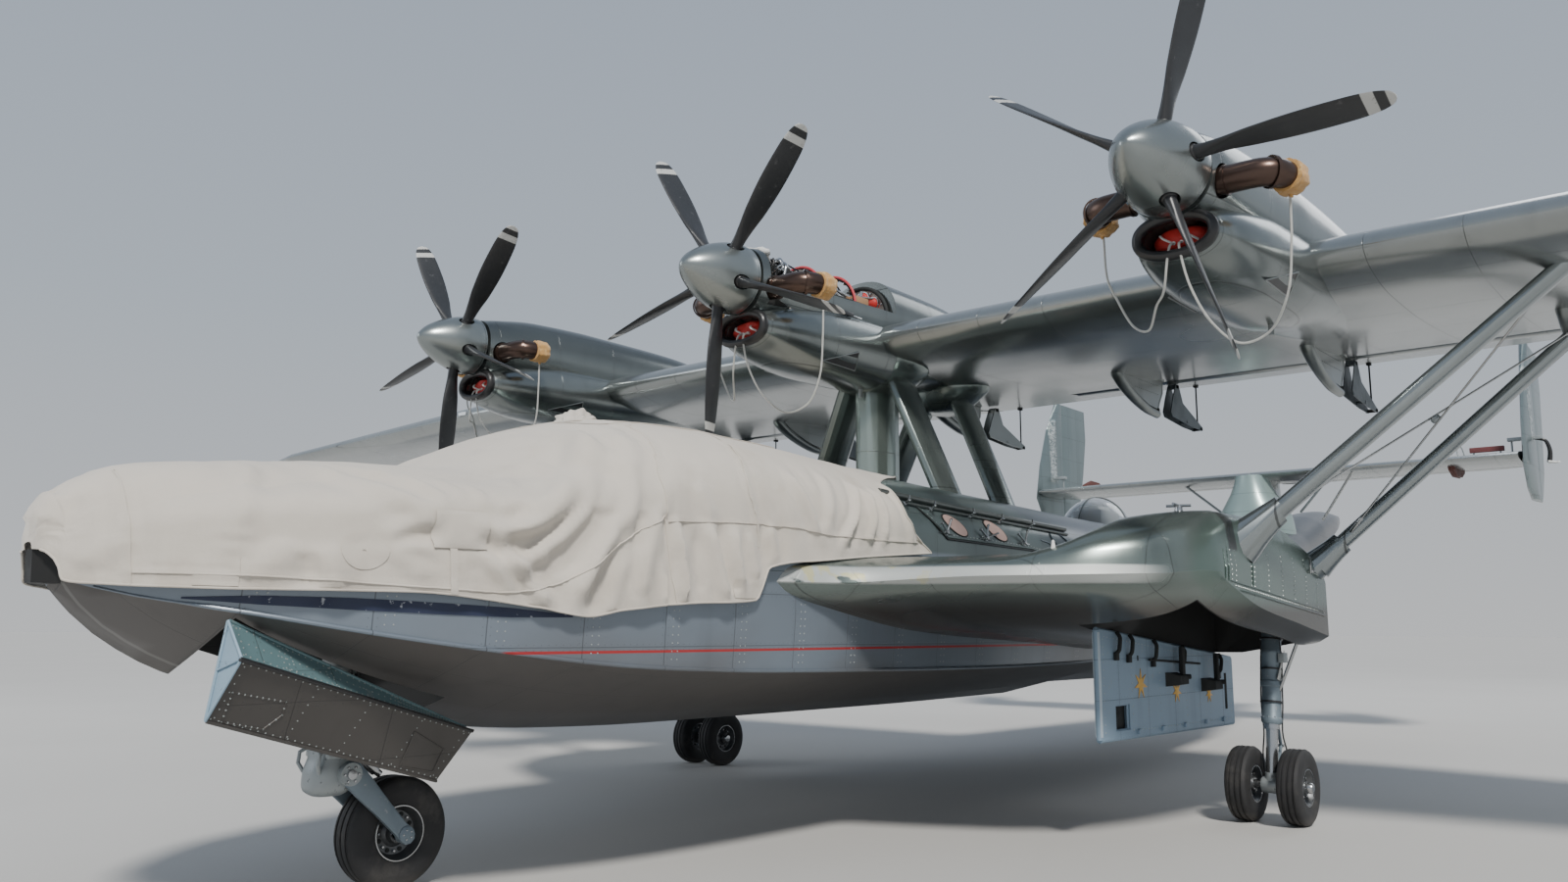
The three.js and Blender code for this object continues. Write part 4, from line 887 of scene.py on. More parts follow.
def hinge_at(x):
    c = chord_at(x); up, lo = .045 * c, .03 * c
    r = (up + lo) / 2 * .97
    return le_at(x) + .76 * c + .014 + r, z_at(x) + (up - lo) / 2 - .003 + .0076 * c, r


def surface_ring(x):
    """Section of a flap or aileron: round nose and slim tail."""
    hy, hz, r = hinge_at(x); c = chord_at(x)
    te, z = le_at(x) + c, z_at(x) + .01 * c
    ys = np.linspace(0, 1, 10)
    upc = pchip([0, .4, 1], [hz + r, z + .028 * c, z + .002 * c], ys)
    loc = pchip([0, .4, 1], [hz - r, z - .021 * c, z - .004 * c], ys)
    up = [(x, hy + (te - hy) * t, q) for t, q in zip(ys, upc)][::-1]
    nose = [(x, hy + r * math.cos(a), hz + r * math.sin(a)) for a in np.linspace(math.pi / 2, 1.5 * math.pi, 14)[1:-1]]
    dn = [(x, hy + (te - hy) * t, q) for t, q in zip(ys, loc)]
    return up + nose + dn


flap = Geo().loft([surface_ring(x) for x in np.linspace(.72, 5.88, 14)])
both(flap, "flap_skin", WING, ("flaps_port", "flaps_stbd"), (("flap_port",), ("flap_stbd",)), slot="silver")
ail = Geo().loft([surface_ring(x) for x in np.linspace(6.27, 11.48, 14)])
both(ail, "aileron_skin", WING, ("ail_port", "ail_stbd"), (("aileron_port",), ("aileron_stbd",)), slot="silver")

# ------------------------------------------------------------------ nacelles
COWL = np.array([[-5.845, .286, .286, -.292], [-5.655, .318, .322, -.315], [-5.175, .352, .385, -.36], [-4.575, .385, .398, -.42],
                 [-4.3, .405, .390, -.46], [-3.3, .425, .360, -.50], [-2.3, .330, .265, -.43], [-1.5, .12, .19, -.33]])
CHIN = np.array([[-5.790, 4.065, .262, .138], [-5.745, 4.066, .285, .160], [-5.60, 4.07, .335, .215], [-5.3, 4.08, .395, .285],
                 [-4.9, 4.10, .432, .335], [-4.3, 4.12, .440, .350], [-3.3, 4.14, .430, .235], [-2.3, 4.15, .330, .13], [-1.5, 4.18, .10, .06]])


def oval(cx, y, cz, w, h, n=48, e=0.9, h2=None):
    ang = np.linspace(0, 2 * math.pi, n, endpoint=False)
    c, s = np.cos(ang), np.sin(ang)
    hh = np.where(s >= 0, h, h if h2 is None else h2)
    return np.stack([cx + np.sign(c) * np.abs(c) ** e * w, np.full(n, y), cz + np.sign(s) * np.abs(s) ** e * hh], 1)


def nacelle(label, dx):
    mat = nacelle_material(f"nacelle_paint_{label}", dx)
    ys = np.concatenate([np.linspace(-5.845, -4.3, 22), np.linspace(-4.2, -1.5, 24)])
    rows = pchip(COWL[:, 0], COWL[:, 1:], ys)
    top = Geo().loft([oval(dx, y, HUB_Z, w, t, e=.85, h2=-b) for y, (w, t, b) in zip(ys, rows)])
    o = top.build(f"cowl_{label}", [mat, DARK], "airframe", replaces=f"nacelle_{label}", slot="silver")
    hole = Geo().lathe([(-.9, 0.0), (-.9, .112), (.9, .112), (.9, 0.0)], (dx, -5.70, 4.39), (1, 0, 0), 32)
    cuts = [cutter(hole, "cut_h")]
    if label == "centre":
        cuts.append(cutter(Geo().box((-.9, -5.765, 4.47), (.9, -4.10, 5.6), bevel=.001), "cut_t"))
        cuts.append(cutter(Geo().box((-.285, -5.74, 4.25), (.285, -4.12, 4.70), bevel=.001), "cut_i"))
    cut(o, *cuts)
    # chin scoop, open in front
    ys = np.concatenate([np.linspace(-5.79, -5.3, 12), np.linspace(-5.2, -1.5, 30)])
    rows = pchip(CHIN[:, 0], CHIN[:, 1:], ys)
    g = Geo()
    outer_r = [oval(dx, y, z, w, h, e=.88) for y, (z, w, h) in zip(ys, rows)]
    duct = [oval(dx, y, 4.065, w, h, e=.88) for y, w, h in ((-5.30, .205, .088), (-5.55, .215, .098), (-5.72, .228, .108), (-5.785, .240, .118))]
    g.loft(duct + outer_r, 0)
    o2 = g.build(f"chin_{label}", [mat, DARK], "airframe", slot="silver")
    # rubber lip round the mouth
    ang = np.linspace(0, 2 * math.pi, 73)[:-1]
    c, s = np.cos(ang), np.sin(ang)
    cxy = np.stack([dx + np.sign(c) * np.abs(c) ** .88 * .252, np.full(72, -5.795), 4.065 + np.sign(s) * np.abs(s) ** .88 * .128], 1)
    lip, n = Geo(), 12
    verts, faces = [], []
    for k in range(72):
        p = cxy[k]
        out = np.array([(p[0] - dx) / .252 ** 2, 0, (p[2] - 4.065) / .128 ** 2]); out /= np.linalg.norm(out)
        for i in range(n):
            a = 2 * math.pi * i / n
            verts.append(p + .036 * math.cos(a) * out + np.array([0, .045 * math.sin(a), 0]))
    for k in range(72):
        for i in range(n):
            k2, i2 = (k + 1) % 72, (i + 1) % n
            faces.append((k * n + i, k * n + i2, k2 * n + i2, k2 * n + i))
    lip.add(verts, faces)
    lip.build(f"intake_lip_{label}", BLACK, "airframe", slot="black_rubber")
    # red plug, a stuffed cushion with a strap
    pl = Geo()
    rings = []
    for t in np.linspace(0, 1, 12):
        y = -5.52 - .225 * math.sin(t * math.pi / 2)
        k = max(math.cos(t * math.pi / 2) ** .35, .02)
        rings.append(oval(dx, y, 4.062, .214 * k, .094 * k, n=48, e=.9))
    rings = [oval(dx, -5.46, 4.062, .206, .088, n=48, e=.9)] + rings
    pl.loft(rings)
    rnd = random.Random({"port": 3, "centre": 5, "stbd": 8}[label])
    ph = [rnd.uniform(0, 6) for _ in range(6)]
    nv = []
    for x, y, z in pl.v:
        u, w = (x - dx) * 22, (z - 4.062) * 34
        d = .010 * math.sin(u + ph[0]) * math.cos(w + ph[1]) + .007 * math.sin(1.7 * u - w + ph[2]) + .005 * math.sin(2.9 * w + ph[3])
        nv.append((x, y + (d if y < -5.55 else 0), z))
    pl.v = nv
    plug = pl.build(f"intake_plug_{label}", RED, "airframe", angle=60)
    st = Geo()
    for k, (x0, x1) in enumerate(((-.12, -.03), (.05, .13))):
        pts = smooth_line([(dx + x0, -5.735, 4.10), (dx + x0 * .6 + x1 * .4, -5.775, 4.062), (dx + x1, -5.73, 4.03)], 14)
        st.tube(pts, .010, 8, squash=.5)
    st.bar((dx + .026, -5.66, 4.045), (dx + .026, -5.755, 4.028), .016, .012, 12)
    st.bar((dx - .026, -5.66, 4.045), (dx - .026, -5.755, 4.028), .016, .012, 12)
    st.build(f"plug_straps_{label}", WHITE, "airframe")


for label, dx in (("port", ENG_X), ("centre", 0.0), ("stbd", -ENG_X)):
    nacelle(label, dx)

# ------------------------------------------------------------------ exhaust elbows and their covers
for label, dx in (("port", ENG_X), ("centre", 0.0), ("stbd", -ENG_X)):
    pipe, cloth = Geo(), Geo()
    for sgn in (1, -1):
        path = smooth_line([(dx + sgn * x, y, 4.39) for x, y in ((.20, -5.700), (.40, -5.700), (.50, -5.695), (.572, -5.665), (.610, -5.610), (.634, -5.525), (.640, -5.47))], 34)
        pipe.tube(path, .091, 28)
        pipe.tube(path[6:8], [.099, .099], 28)
        # welded seam along the outside
        seam = path + np.array([0, 0, 0])
        pipe.tube(seam[4:-4] + np.array([0, 0, .0915]), .006, 6)
        pipe.ring([(-.012, .094), (.012, .094), (.012, .106), (-.012, .106)], path[22], path[23] - path[22], 32)
        # cloth bag tied over the outlet
        rings, A = [], np.array([dx + sgn * .634, -5.560, 4.39])
        ax = np.array([sgn * .013, .16, 0]); ax /= np.linalg.norm(ax)
        e1 = np.cross(ax, (0, 0, 1)); e1 /= np.linalg.norm(e1)
        e2 = np.cross(e1, ax)
        rnd = random.Random({"port": 11, "centre": 23, "stbd": 37}[label] + sgn)
        ph = [rnd.uniform(0, 6.28) for _ in range(8)]
        for s, r in ((-.004, .099), (0, .108), (.012, .106), (.020, .101), (.030, .108), (.05, .111), (.08, .112), (.11, .109), (.135, .103), (.150, .090), (.158, .066), (.162, .03), (.162, .004)):
            ang = np.linspace(0, 2 * math.pi, 44, endpoint=False)
            fold = 1 + .045 * np.sin(7 * ang + ph[0] + 9 * s) * min(1, s * 25 + .2) + .03 * np.sin(13 * ang + ph[1] - 20 * s) + .02 * np.sin(4 * ang + ph[2])
            c = A + ax * s + np.array([0, 0, -.004])
            rings.append(c + (r * fold)[:, None] * (np.cos(ang)[:, None] * e1 + np.sin(ang)[:, None] * e2))
        cloth.loft(rings)
        # tail of the tie below the bag
        tail = smooth_line([A + ax * .075 + (0, 0, -.100), A + ax * .080 + (0, 0, -.120), A + ax * .080 + (0, 0, -.132)], 8)
        cloth.tube(tail, [.020, .018, .016, .014, .013, .013, .014, .010], 10)
    pipe.build(f"exhaust_{label}", BRONZE, "airframe", replaces=f"engine_{label}", slot="engine")
    cloth.build(f"exhaust_bags_{label}", TAN, "airframe", angle=70)

# ------------------------------------------------------------------ propellers
def spinner_profile():
    pr = [(-.450, 0.0), (-.446, .020), (-.432, .045), (-.370, .112), (-.250, .190), (-.110, .252), (.02, .288), (.12, .300), (.186, .298)]
    s = np.linspace(0, 1, len(pr))
    q = pchip(s, np.array(pr), np.linspace(0, 1, 40))
    return [(a, b) for a, b in q] + [(.19, .29), (.19, .0)]


BLADE = np.array([[.200, .098, .098, 84], [.340, .118, .076, 84], [.45, .150, .055, 83], [.620, .205, .040, 80], [.900, .235, .026, 76],
                  [1.180, .215, .018, 72], [1.300, .180, .013, 70.5], [1.370, .130, .010, 69.5], [1.400, .080, .008, 69], [1.410, .030, .006, 69]])


def blade(angle):
    rq = np.concatenate([np.linspace(.2, 1.3, 30), np.linspace(1.32, 1.41, 9)])
    rows = pchip(BLADE[:, 0], BLADE[:, 1:], rq)
    rings = []
    for r, (c, th, p) in zip(rq, rows):
        # biconvex section, round at the root and thin with a sharp tail further out
        k = min(1.0, max(0.0, (r - .34) / .25))
        t = np.linspace(0, 2 * math.pi, 20, endpoint=False)
        u = np.cos(t) * c / 2
        w = np.sin(t) * th / 2 * (1 - .35 * k * np.cos(t)) + k * .18 * th * (1 - np.cos(t) ** 2)
        cp, sp = math.cos(math.radians(p)), math.sin(math.radians(p))
        rings.append(np.stack([u * cp - w * sp, u * sp + w * cp, np.full(20, r)], 1))
    g = Geo().loft(rings)
    a = math.radians(90 - angle)
    ca, sa = math.cos(a), math.sin(a)
    g.v = [(x * ca + z * sa, y, -x * sa + z * ca) for x, y, z in g.v]
    return g


SPIN = silver("spinner_silver", (0.27, 0.295, 0.290), 0.26, 0.85)
weather(SPIN, 0.07, 1.5)
d = SPIN.m("ABSOLUTE", SPIN.m("SUBTRACT", SPIN.y, HUB_Y + .165))
SPIN.mixc(SPIN.m("MULTIPLY", SPIN.s(d, .004, .002), .7), (0.03, 0.03, 0.03))
SPIN = SPIN.done()
for label, dx, phase in (("port", ENG_X, 217.25), ("centre", 0.0, 193.9), ("stbd", -ENG_X, 193.3)):
    body = {"port": "prop_port", "centre": "prop_centre", "stbd": "prop_stbd"}[label]
    bm_ = blade_material(f"blade_{label}", (dx, HUB_Y, HUB_Z))
    g = Geo()
    for k in range(5):
        g.join(blade(phase + 72 * k).shifted(dx, HUB_Y, HUB_Z))
    g.build(f"blades_{label}", bm_, body, replaces=f"propeller_{label}", slot="blade")
    s = Geo().lathe(spinner_profile(), (dx, HUB_Y, HUB_Z), (0, 1, 0), 72)
    sp = s.build(f"spinner_{label}", [SPIN, DARK], body)
    cuts = []
    for k in range(5):
        a = math.radians(phase + 72 * k)
        # slot for the blade root, cut into the shell
        dirv = np.array([math.cos(a), 0, math.sin(a)]); tv = np.array([-math.sin(a), 0, math.cos(a)])
        c = np.array([dx, HUB_Y, HUB_Z])
        ang = np.linspace(0, 2 * math.pi, 28, endpoint=False)
        rr = [c + dirv * q + (np.cos(ang)[:, None] * .063) * tv + (np.sin(ang)[:, None] * .082) * np.array([0, 1, 0]) for q in (.215, .34)]
        cuts.append(cutter(Geo().loft(rr), f"c{k}"))
    cut(sp, *cuts)
    # dark collar of each blade root
    cg = Geo()
    for k in range(5):
        a = math.radians(phase + 72 * k)
        dirv = np.array([math.cos(a), 0, math.sin(a)])
        c = np.array([dx, HUB_Y, HUB_Z])
        cg.tube([c + dirv * .21, c + dirv * .262, c + dirv * .275], [.058, .058, .050], 24)
    cg.build(f"blade_collars_{label}", BLACK, body)

# ------------------------------------------------------------------ canvas cover over the bow and cockpit
COVER = np.array([[-10.975, .05, 1.925, 1.96], [-10.962, .13, 1.920, 2.05], [-10.94, .18, 1.900, 2.11], [-10.915, .235, 1.850, 2.17],
                  [-10.90, .26, 1.775, 2.19], [-10.86, .31, 1.762, 2.235], [-10.78, .42, 1.755, 2.30], [-10.64, .58, 1.745, 2.365], [-10.27, .89, 1.735, 2.42],
                  [-9.60, 1.135, 1.735, 2.485], [-8.90, 1.315, 1.665, 2.52], [-8.55, 1.37, 1.615, 2.68], [-8.35, 1.41, 1.65, 2.79],
                  [-7.85, 1.455, 1.70, 2.945], [-7.25, 1.485, 1.73, 2.985], [-7.12, 1.49, 1.95, 2.98], [-6.9, 1.49, 1.985, 2.97],
                  [-6.4, 1.495, 2.01, 2.96], [-5.5, 1.50, 2.06, 2.925], [-4.05, 1.49, 2.13, 2.89]])
# folds of the cloth on the port side: kind (+ ridge, - valley), half width, height, then (y, z) points
FOLDS = [
    (1, .035, .022, [(-10.90, 2.20), (-10.93, 2.13), (-10.96, 2.04)]),
    (-1, .03, .016, [(-10.86, 2.18), (-10.90, 2.10), (-10.93, 1.98)]),
    (1, .02, .007, [(-10.71, 2.31), (-10.73, 2.2), (-10.71, 2.14), (-10.71, 1.76)]),
    (-1, .02, .008, [(-10.67, 2.25), (-10.68, 2.12), (-10.67, 1.80)]),
    (1, .05, .012, [(-10.86, 1.83), (-10.80, 1.89), (-10.72, 1.98)]),
    (1, .05, .020, [(-10.14, 2.40), (-10.16, 2.36), (-10.29, 2.2), (-10.38, 1.95)]),
    (-1, .04, .016, [(-10.08, 2.38), (-10.22, 2.2), (-10.33, 1.98)]),
    (1, .05, .014, [(-10.18, 2.25), (-10.27, 2.1), (-10.36, 1.88)]),
    (1, .045, .024, [(-9.40, 2.14), (-9.6, 2.23), (-9.74, 2.31), (-9.88, 2.40)]),
    (-1, .04, .018, [(-9.42, 2.20), (-9.60, 2.29), (-9.80, 2.38)]),
    (1, .04, .018, [(-9.36, 2.19), (-9.47, 2.3), (-9.62, 2.38)]),
    (1, .04, .016, [(-9.72, 2.01), (-9.58, 2.07), (-9.44, 2.12)]),
    (-1, .035, .014, [(-9.68, 1.98), (-9.55, 2.02), (-9.44, 2.03)]),
    (1, .035, .014, [(-9.70, 2.0), (-9.58, 1.98), (-9.45, 1.93)]),
    (1, .05, .016, [(-9.69, 1.98), (-9.60, 1.90), (-9.50, 1.78)]),
    (1, .035, .016, [(-9.27, 2.22), (-9.33, 2.31), (-9.42, 2.37)]),
    (1, .035, .014, [(-9.18, 2.18), (-9.2, 2.28), (-9.29, 2.36)]),
    (1, .06, .018, [(-10.12, 1.98), (-10.20, 1.88), (-10.32, 1.78)]),
    (1, .06, .016, [(-10.0, 1.95), (-9.96, 1.85), (-9.90, 1.74)]),
    (-1, .05, .014, [(-10.06, 1.92), (-10.05, 1.82), (-10.06, 1.74)]),
    # the great swag below the cockpit
    (1, .055, .050, [(-8.24, 2.78), (-8.40, 2.60), (-8.59, 2.37), (-8.75, 2.23), (-8.90, 2.12), (-9.06, 2.07), (-9.18, 2.10)]),
    (-1, .050, .045, [(-8.32, 2.60), (-8.50, 2.35), (-8.66, 2.20), (-8.82, 2.07), (-8.98, 2.00), (-9.14, 2.02)]),
    (1, .055, .055, [(-8.18, 2.80), (-8.29, 2.68), (-8.45, 2.41), (-8.60, 2.22), (-8.77, 2.06), (-8.96, 1.93), (-9.10, 1.90)]),
    (-1, .06, .050, [(-8.28, 2.50), (-8.42, 2.28), (-8.56, 2.12), (-8.72, 1.97), (-8.88, 1.88)]),
    (1, .035, .035, [(-8.58, 2.58), (-8.63, 2.45), (-8.75, 2.33), (-8.90, 2.23), (-8.97, 2.14)]),
    (-1, .035, .032, [(-8.66, 2.46), (-8.80, 2.35), (-8.94, 2.27)]),
    (1, .055, .040, [(-8.10, 2.72), (-8.30, 2.50), (-8.43, 2.23), (-8.46, 2.08), (-8.58, 1.86), (-8.70, 1.64)]),
    (-1, .05, .032, [(-8.34, 2.20), (-8.38, 2.02), (-8.47, 1.84), (-8.56, 1.68)]),
    (1, .06, .028, [(-8.02, 2.86), (-8.12, 2.70), (-8.30, 2.33), (-8.38, 2.02), (-8.44, 1.74)]),
    (-1, .05, .020, [(-8.08, 2.55), (-8.20, 2.25), (-8.27, 1.98)]),
    (1, .05, .026, [(-8.12, 2.30), (-8.18, 2.00), (-8.24, 1.72)]),
    (1, .04, .032, [(-9.16, 2.11), (-9.08, 2.00), (-8.96, 1.83), (-8.82, 1.65)]),
    (-1, .04, .026, [(-9.10, 2.10), (-8.98, 1.94), (-8.86, 1.78)]),
    (1, .04, .020, [(-9.22, 1.97), (-9.14, 1.88), (-9.03, 1.74)]),
    (1, .025, .008, [(-7.92, 2.95), (-7.97, 2.71), (-8.06, 2.45), (-8.05, 2.28)]),
    (-1, .032, .060, [(-8.05, 2.24), (-8.00, 2.02), (-7.98, 1.85), (-7.98, 1.66)]),
    (1, .045, .030, [(-8.02, 2.20), (-7.94, 2.00), (-7.90, 1.72)]),
    (1, .025, .008, [(-7.26, 2.86), (-7.31, 2.67), (-7.35, 2.48), (-7.27, 2.24), (-7.24, 2.05)]),
    (1, .045, .034, [(-7.72, 2.22), (-7.66, 2.05), (-7.60, 1.88), (-7.54, 1.72)]),
    (-1, .040, .028, [(-7.62, 2.18), (-7.57, 2.02), (-7.50, 1.85), (-7.46, 1.74)]),
    (1, .040, .026, [(-7.48, 2.20), (-7.47, 2.02), (-7.42, 1.80)]),
    (-1, .035, .020, [(-7.80, 2.16), (-7.78, 1.95), (-7.74, 1.74)]),
    (1, .040, .024, [(-7.35, 2.18), (-7.30, 2.02), (-7.26, 1.86)]),
    (1, .040, .020, [(-7.16, 2.22), (-7.12, 2.10), (-7.10, 1.97)]),
    (1, .050, .016, [(-7.80, 2.45), (-7.74, 2.33), (-7.68, 2.22)]),
    (1, .050, .020, [(-6.92, 2.62), (-6.84, 2.50), (-6.72, 2.32), (-6.64, 2.16)]),
    (-1, .045, .014, [(-6.80, 2.60), (-6.70, 2.44), (-6.58, 2.24)]),
    (1, .035, .030, [(-6.10, 2.62), (-6.15, 2.52), (-6.23, 2.34), (-6.40, 2.12)]),
    (-1, .035, .026, [(-6.04, 2.58), (-6.12, 2.40), (-6.26, 2.20)]),
    (1, .035, .026, [(-5.98, 2.58), (-6.00, 2.33), (-6.09, 2.15)]),
    (1, .035, .024, [(-5.86, 2.60), (-5.84, 2.40), (-5.86, 2.18)]),
    (-1, .03, .020, [(-5.92, 2.56), (-5.92, 2.36), (-5.97, 2.16)]),
    (1, .035, .020, [(-5.62, 2.66), (-5.56, 2.44), (-5.50, 2.16)]),
    (1, .04, .018, [(-5.30, 2.70), (-5.24, 2.46), (-5.22, 2.18)]),
    (-1, .04, .016, [(-5.45, 2.64), (-5.40, 2.40), (-5.38, 2.18)]),
    (1, .05, .018, [(-6.46, 2.66), (-6.50, 2.44), (-6.58, 2.18)]),
]
SEAMS = [  # stitched seams: (y, z) points
    [(-10.70, 2.34), (-10.71, 2.31), (-10.72, 2.14), (-10.70, 1.745)],
    [(-7.90, 3.00), (-7.97, 2.71), (-8.06, 2.45), (-8.04, 2.28), (-7.97, 1.88), (-7.94, 1.70)],
    [(-8.05, 2.22), (-8.28, 2.09), (-8.49, 1.96), (-8.78, 1.79), (-9.07, 1.74), (-9.42, 1.755), (-10.32, 1.80), (-10.70, 1.81)],
    [(-8.01, 2.19), (-7.28, 2.22), (-6.89, 2.22), (-6.49, 2.19), (-5.99, 2.19), (-5.4, 2.20)],
    [(-7.24, 2.90), (-7.31, 2.67), (-7.35, 2.48), (-7.27, 2.24), (-7.24, 2.08)],
    [(-8.02, 2.93), (-7.2, 2.90), (-6.4, 2.88)],
]


def line_distance(Y, Z, pts):
    """Distance of each point to a polyline, signed across it, and the part of its length reached."""
    pts = np.array(pts, float)
    best, sg, tt = np.full(Y.shape, 9.0), np.ones(Y.shape), np.zeros(Y.shape)
    seg = np.linalg.norm(np.diff(pts, axis=0), axis=1)
    cum = np.concatenate([[0], np.cumsum(seg)]) / seg.sum()
    for i in range(len(pts) - 1):
        a, b = pts[i], pts[i + 1]
        e = b - a
        t = np.clip(((Y - a[0]) * e[0] + (Z - a[1]) * e[1]) / (e @ e), 0, 1)
        d = np.hypot(Y - a[0] - t * e[0], Z - a[1] - t * e[1])
        c = np.sign((Y - a[0]) * e[1] - (Z - a[1]) * e[0])
        k = d < best
        best, sg, tt = np.where(k, d, best), np.where(k, c, sg), np.where(k, cum[i] + t * (cum[i + 1] - cum[i]), tt)
    return best, sg, tt


def sine_noise(Y, Z, seed, n=14, fmin=6.0, fmax=22.0, lean=0.45):
    """Smooth noise of a few leaning waves."""
    r = random.Random(seed)
    out = np.zeros(Y.shape)
    for _ in range(n):
        f = r.uniform(fmin, fmax)
        a = math.pi / 2 + r.gauss(0, lean)
        out += np.sin(f * (Y * math.sin(a) + Z * math.cos(a) * .55) + r.uniform(0, 6.28)) * (fmin / f) ** .6
    return out / n ** .5


ROWS, HALF = 215, 84
u = np.linspace(0, 1, ROWS)
ycurve = -10.975 + (u ** 1.0) * (10.975 - 4.05)
ycurve = np.sort(np.concatenate([np.array([-10.975, -10.97, -10.962, -10.95, -10.94, -10.925, -10.912, -10.905, -10.90, -10.89]), ycurve[2:], np.array([-7.23, -7.20, -7.17, -7.14])]))
ycurve = ycurve[np.concatenate([[True], np.diff(ycurve) > 1e-4])]
prof = pchip(COVER[:, 0], COVER[:, 1:], ycurve)
hrow = hull_rows(np.clip(ycurve, -10.89, 10))
BASE = np.zeros((len(ycurve), 2 * HALF + 1, 3))
LEAN = pchip([0, .15, .45, .72, .86, 1], [0, .05, .75, 1.55, 1.52, 1.20], np.linspace(0, 1, HALF + 1))
for j, (y, (w, hem, top)) in enumerate(zip(ycurve, prof)):
    sh = max(top - .64, hem + .03) if top - .64 > hem else hem + .06
    sh = min(sh, top - .02)
    t = np.linspace(math.pi / 2, 0, 60)
    xs = w * np.maximum(np.cos(t), 0) ** .85
    zs = sh + (top - sh) * np.sin(t) ** .85
    if y > -10.88:
        _, kz, cx, cz, sxx, szz, tzz = hrow[j]
        q = np.clip((zs - szz) / (tzz - szz), 0, 1) ** (1 / .85)
        xh = np.where(zs < tzz, sxx * np.maximum(np.cos(np.arcsin(q)), 0) ** .85 + .052, 0)
        xs[1:] = np.maximum(xs[1:], xh[1:])
    xs = np.concatenate([xs, [xs[-1]] * 12]); zs = np.concatenate([zs, np.linspace(sh, hem, 13)[1:]])
    s = np.concatenate([[0], np.cumsum(np.hypot(np.diff(xs), np.diff(zs)))])
    sq = np.linspace(0, s[-1], HALF + 1)
    hx, hz = np.interp(sq, s, xs), np.interp(sq, s, zs)
    # the aft edge leans forward from the crown to the hem
    fr = np.linspace(0, 1, HALF + 1)
    k = max(0.0, (y + 7.0) / 2.95)
    hy = y - k * LEAN
    BASE[j, HALF:, 0], BASE[j, HALF:, 1], BASE[j, HALF:, 2] = hx, hy, hz
    BASE[j, :HALF + 1, 0], BASE[j, :HALF + 1, 1], BASE[j, :HALF + 1, 2] = -hx[::-1], hy[::-1], hz[::-1]
du = np.gradient(BASE, axis=0)
dv = np.gradient(BASE, axis=1)
NRM = np.cross(du, dv)
NRM /= np.linalg.norm(NRM, axis=2)[..., None] + 1e-9
NRM *= np.sign((NRM[..., 0] * np.sign(BASE[..., 0]) + NRM[..., 2]).mean())
Y, Z, X = BASE[..., 1], BASE[..., 2], BASE[..., 0]
FR = np.abs(np.linspace(-1, 1, 2 * HALF + 1))[None, :] * np.ones((len(ycurve), 1))
D = np.zeros(Y.shape)
for side in (1, -1):
    mask = (np.sign(X) == side) | ((X == 0) & (side == 1))
    jig = random.Random(5)
    for kind, w, h, pts in FOLDS:
        sy, sz, am = (0, 0, 1) if side == 1 else (jig.uniform(-.12, .12), jig.uniform(-.04, .04), jig.uniform(.6, 1.1))
        p = [(a + sy, b + sz) for a, b in pts]
        d, sg, tt = line_distance(Y, Z, p)
        fade = np.clip(tt / .18, 0, 1) * np.clip((1.0 - tt) / .12, 0.25, 1)
        # a fold is steeper on its lower side
        d2 = d * np.where(sg > 0, 1.25, .85)
        shape = np.exp(-(d2 / w) ** 2) - .32 * np.exp(-((d2 - 2.0 * w) / (w * .9)) ** 2)
        D += np.where(mask, kind * max(h * 1.4, .013) * am * fade * shape, 0)
wr = sine_noise(Y, Z, 7)
ridge = (1 - np.abs(wr)) ** 2
flare = np.clip((FR - .55) / .45, 0, 1) ** 1.6
D += .0055 * ridge * (.35 + .65 * FR) + flare * .012 * sine_noise(Y, Z, 19, 10, 8, 30, .18)
D += .006 * sine_noise(Y, Z, 31, 12, 3, 9, 1.2)
endk = np.clip((Y + 6.6) / 2.0, 0, 1)
D += .012 * endk * np.clip(FR, .25, 1) * sine_noise(Y * .4 + Z * .2, Z, 43, 8, 14, 40, .9)
seam_d = np.full(Y.shape, 9.0)
for pts in SEAMS:
    d, _, _ = line_distance(Y, Z, pts)
    seam_d = np.minimum(seam_d, d)
D += .004 * np.exp(-(seam_d / .014) ** 2) - .003 * np.exp(-((seam_d - .03) / .014) ** 2)
# nothing sinks into the deck: the cloth keeps off the skin below it
D = np.maximum(D, np.where(Z > 2.22, -.006, -.024))
CLOTH = BASE + NRM * (D + .010)[..., None]
CLOTH[..., 1] = np.maximum(CLOTH[..., 1], -11.02)


def cloth_at(y, z, side=1, lift=0.0):
    """The point of the draped cloth at a place of its side view, and its outward direction."""
    c = HALF + side * int(HALF * .6)
    for _ in range(6):
        r = float(np.interp(y, CLOTH[:, c, 1], np.arange(len(ycurve))))
        ri = int(round(r))
        col = CLOTH[ri, HALF:, 2] if side > 0 else CLOTH[ri, HALF::-1, 2]
        k = float(np.interp(-z, -np.minimum.accumulate(col), np.arange(HALF + 1)))
        c = HALF + side * int(round(k))
    c = HALF + side * k
    r0, c0 = int(min(r, len(ycurve) - 2)), int(min(max(math.floor(c), 0), 2 * HALF - 1))
    a, b = r - r0, c - c0
    P = ((1 - a) * (1 - b) * CLOTH[r0, c0] + a * (1 - b) * CLOTH[r0 + 1, c0] + (1 - a) * b * CLOTH[r0, c0 + 1] + a * b * CLOTH[r0 + 1, c0 + 1])
    n = NRM[r0, c0]
    return P + n * lift, n


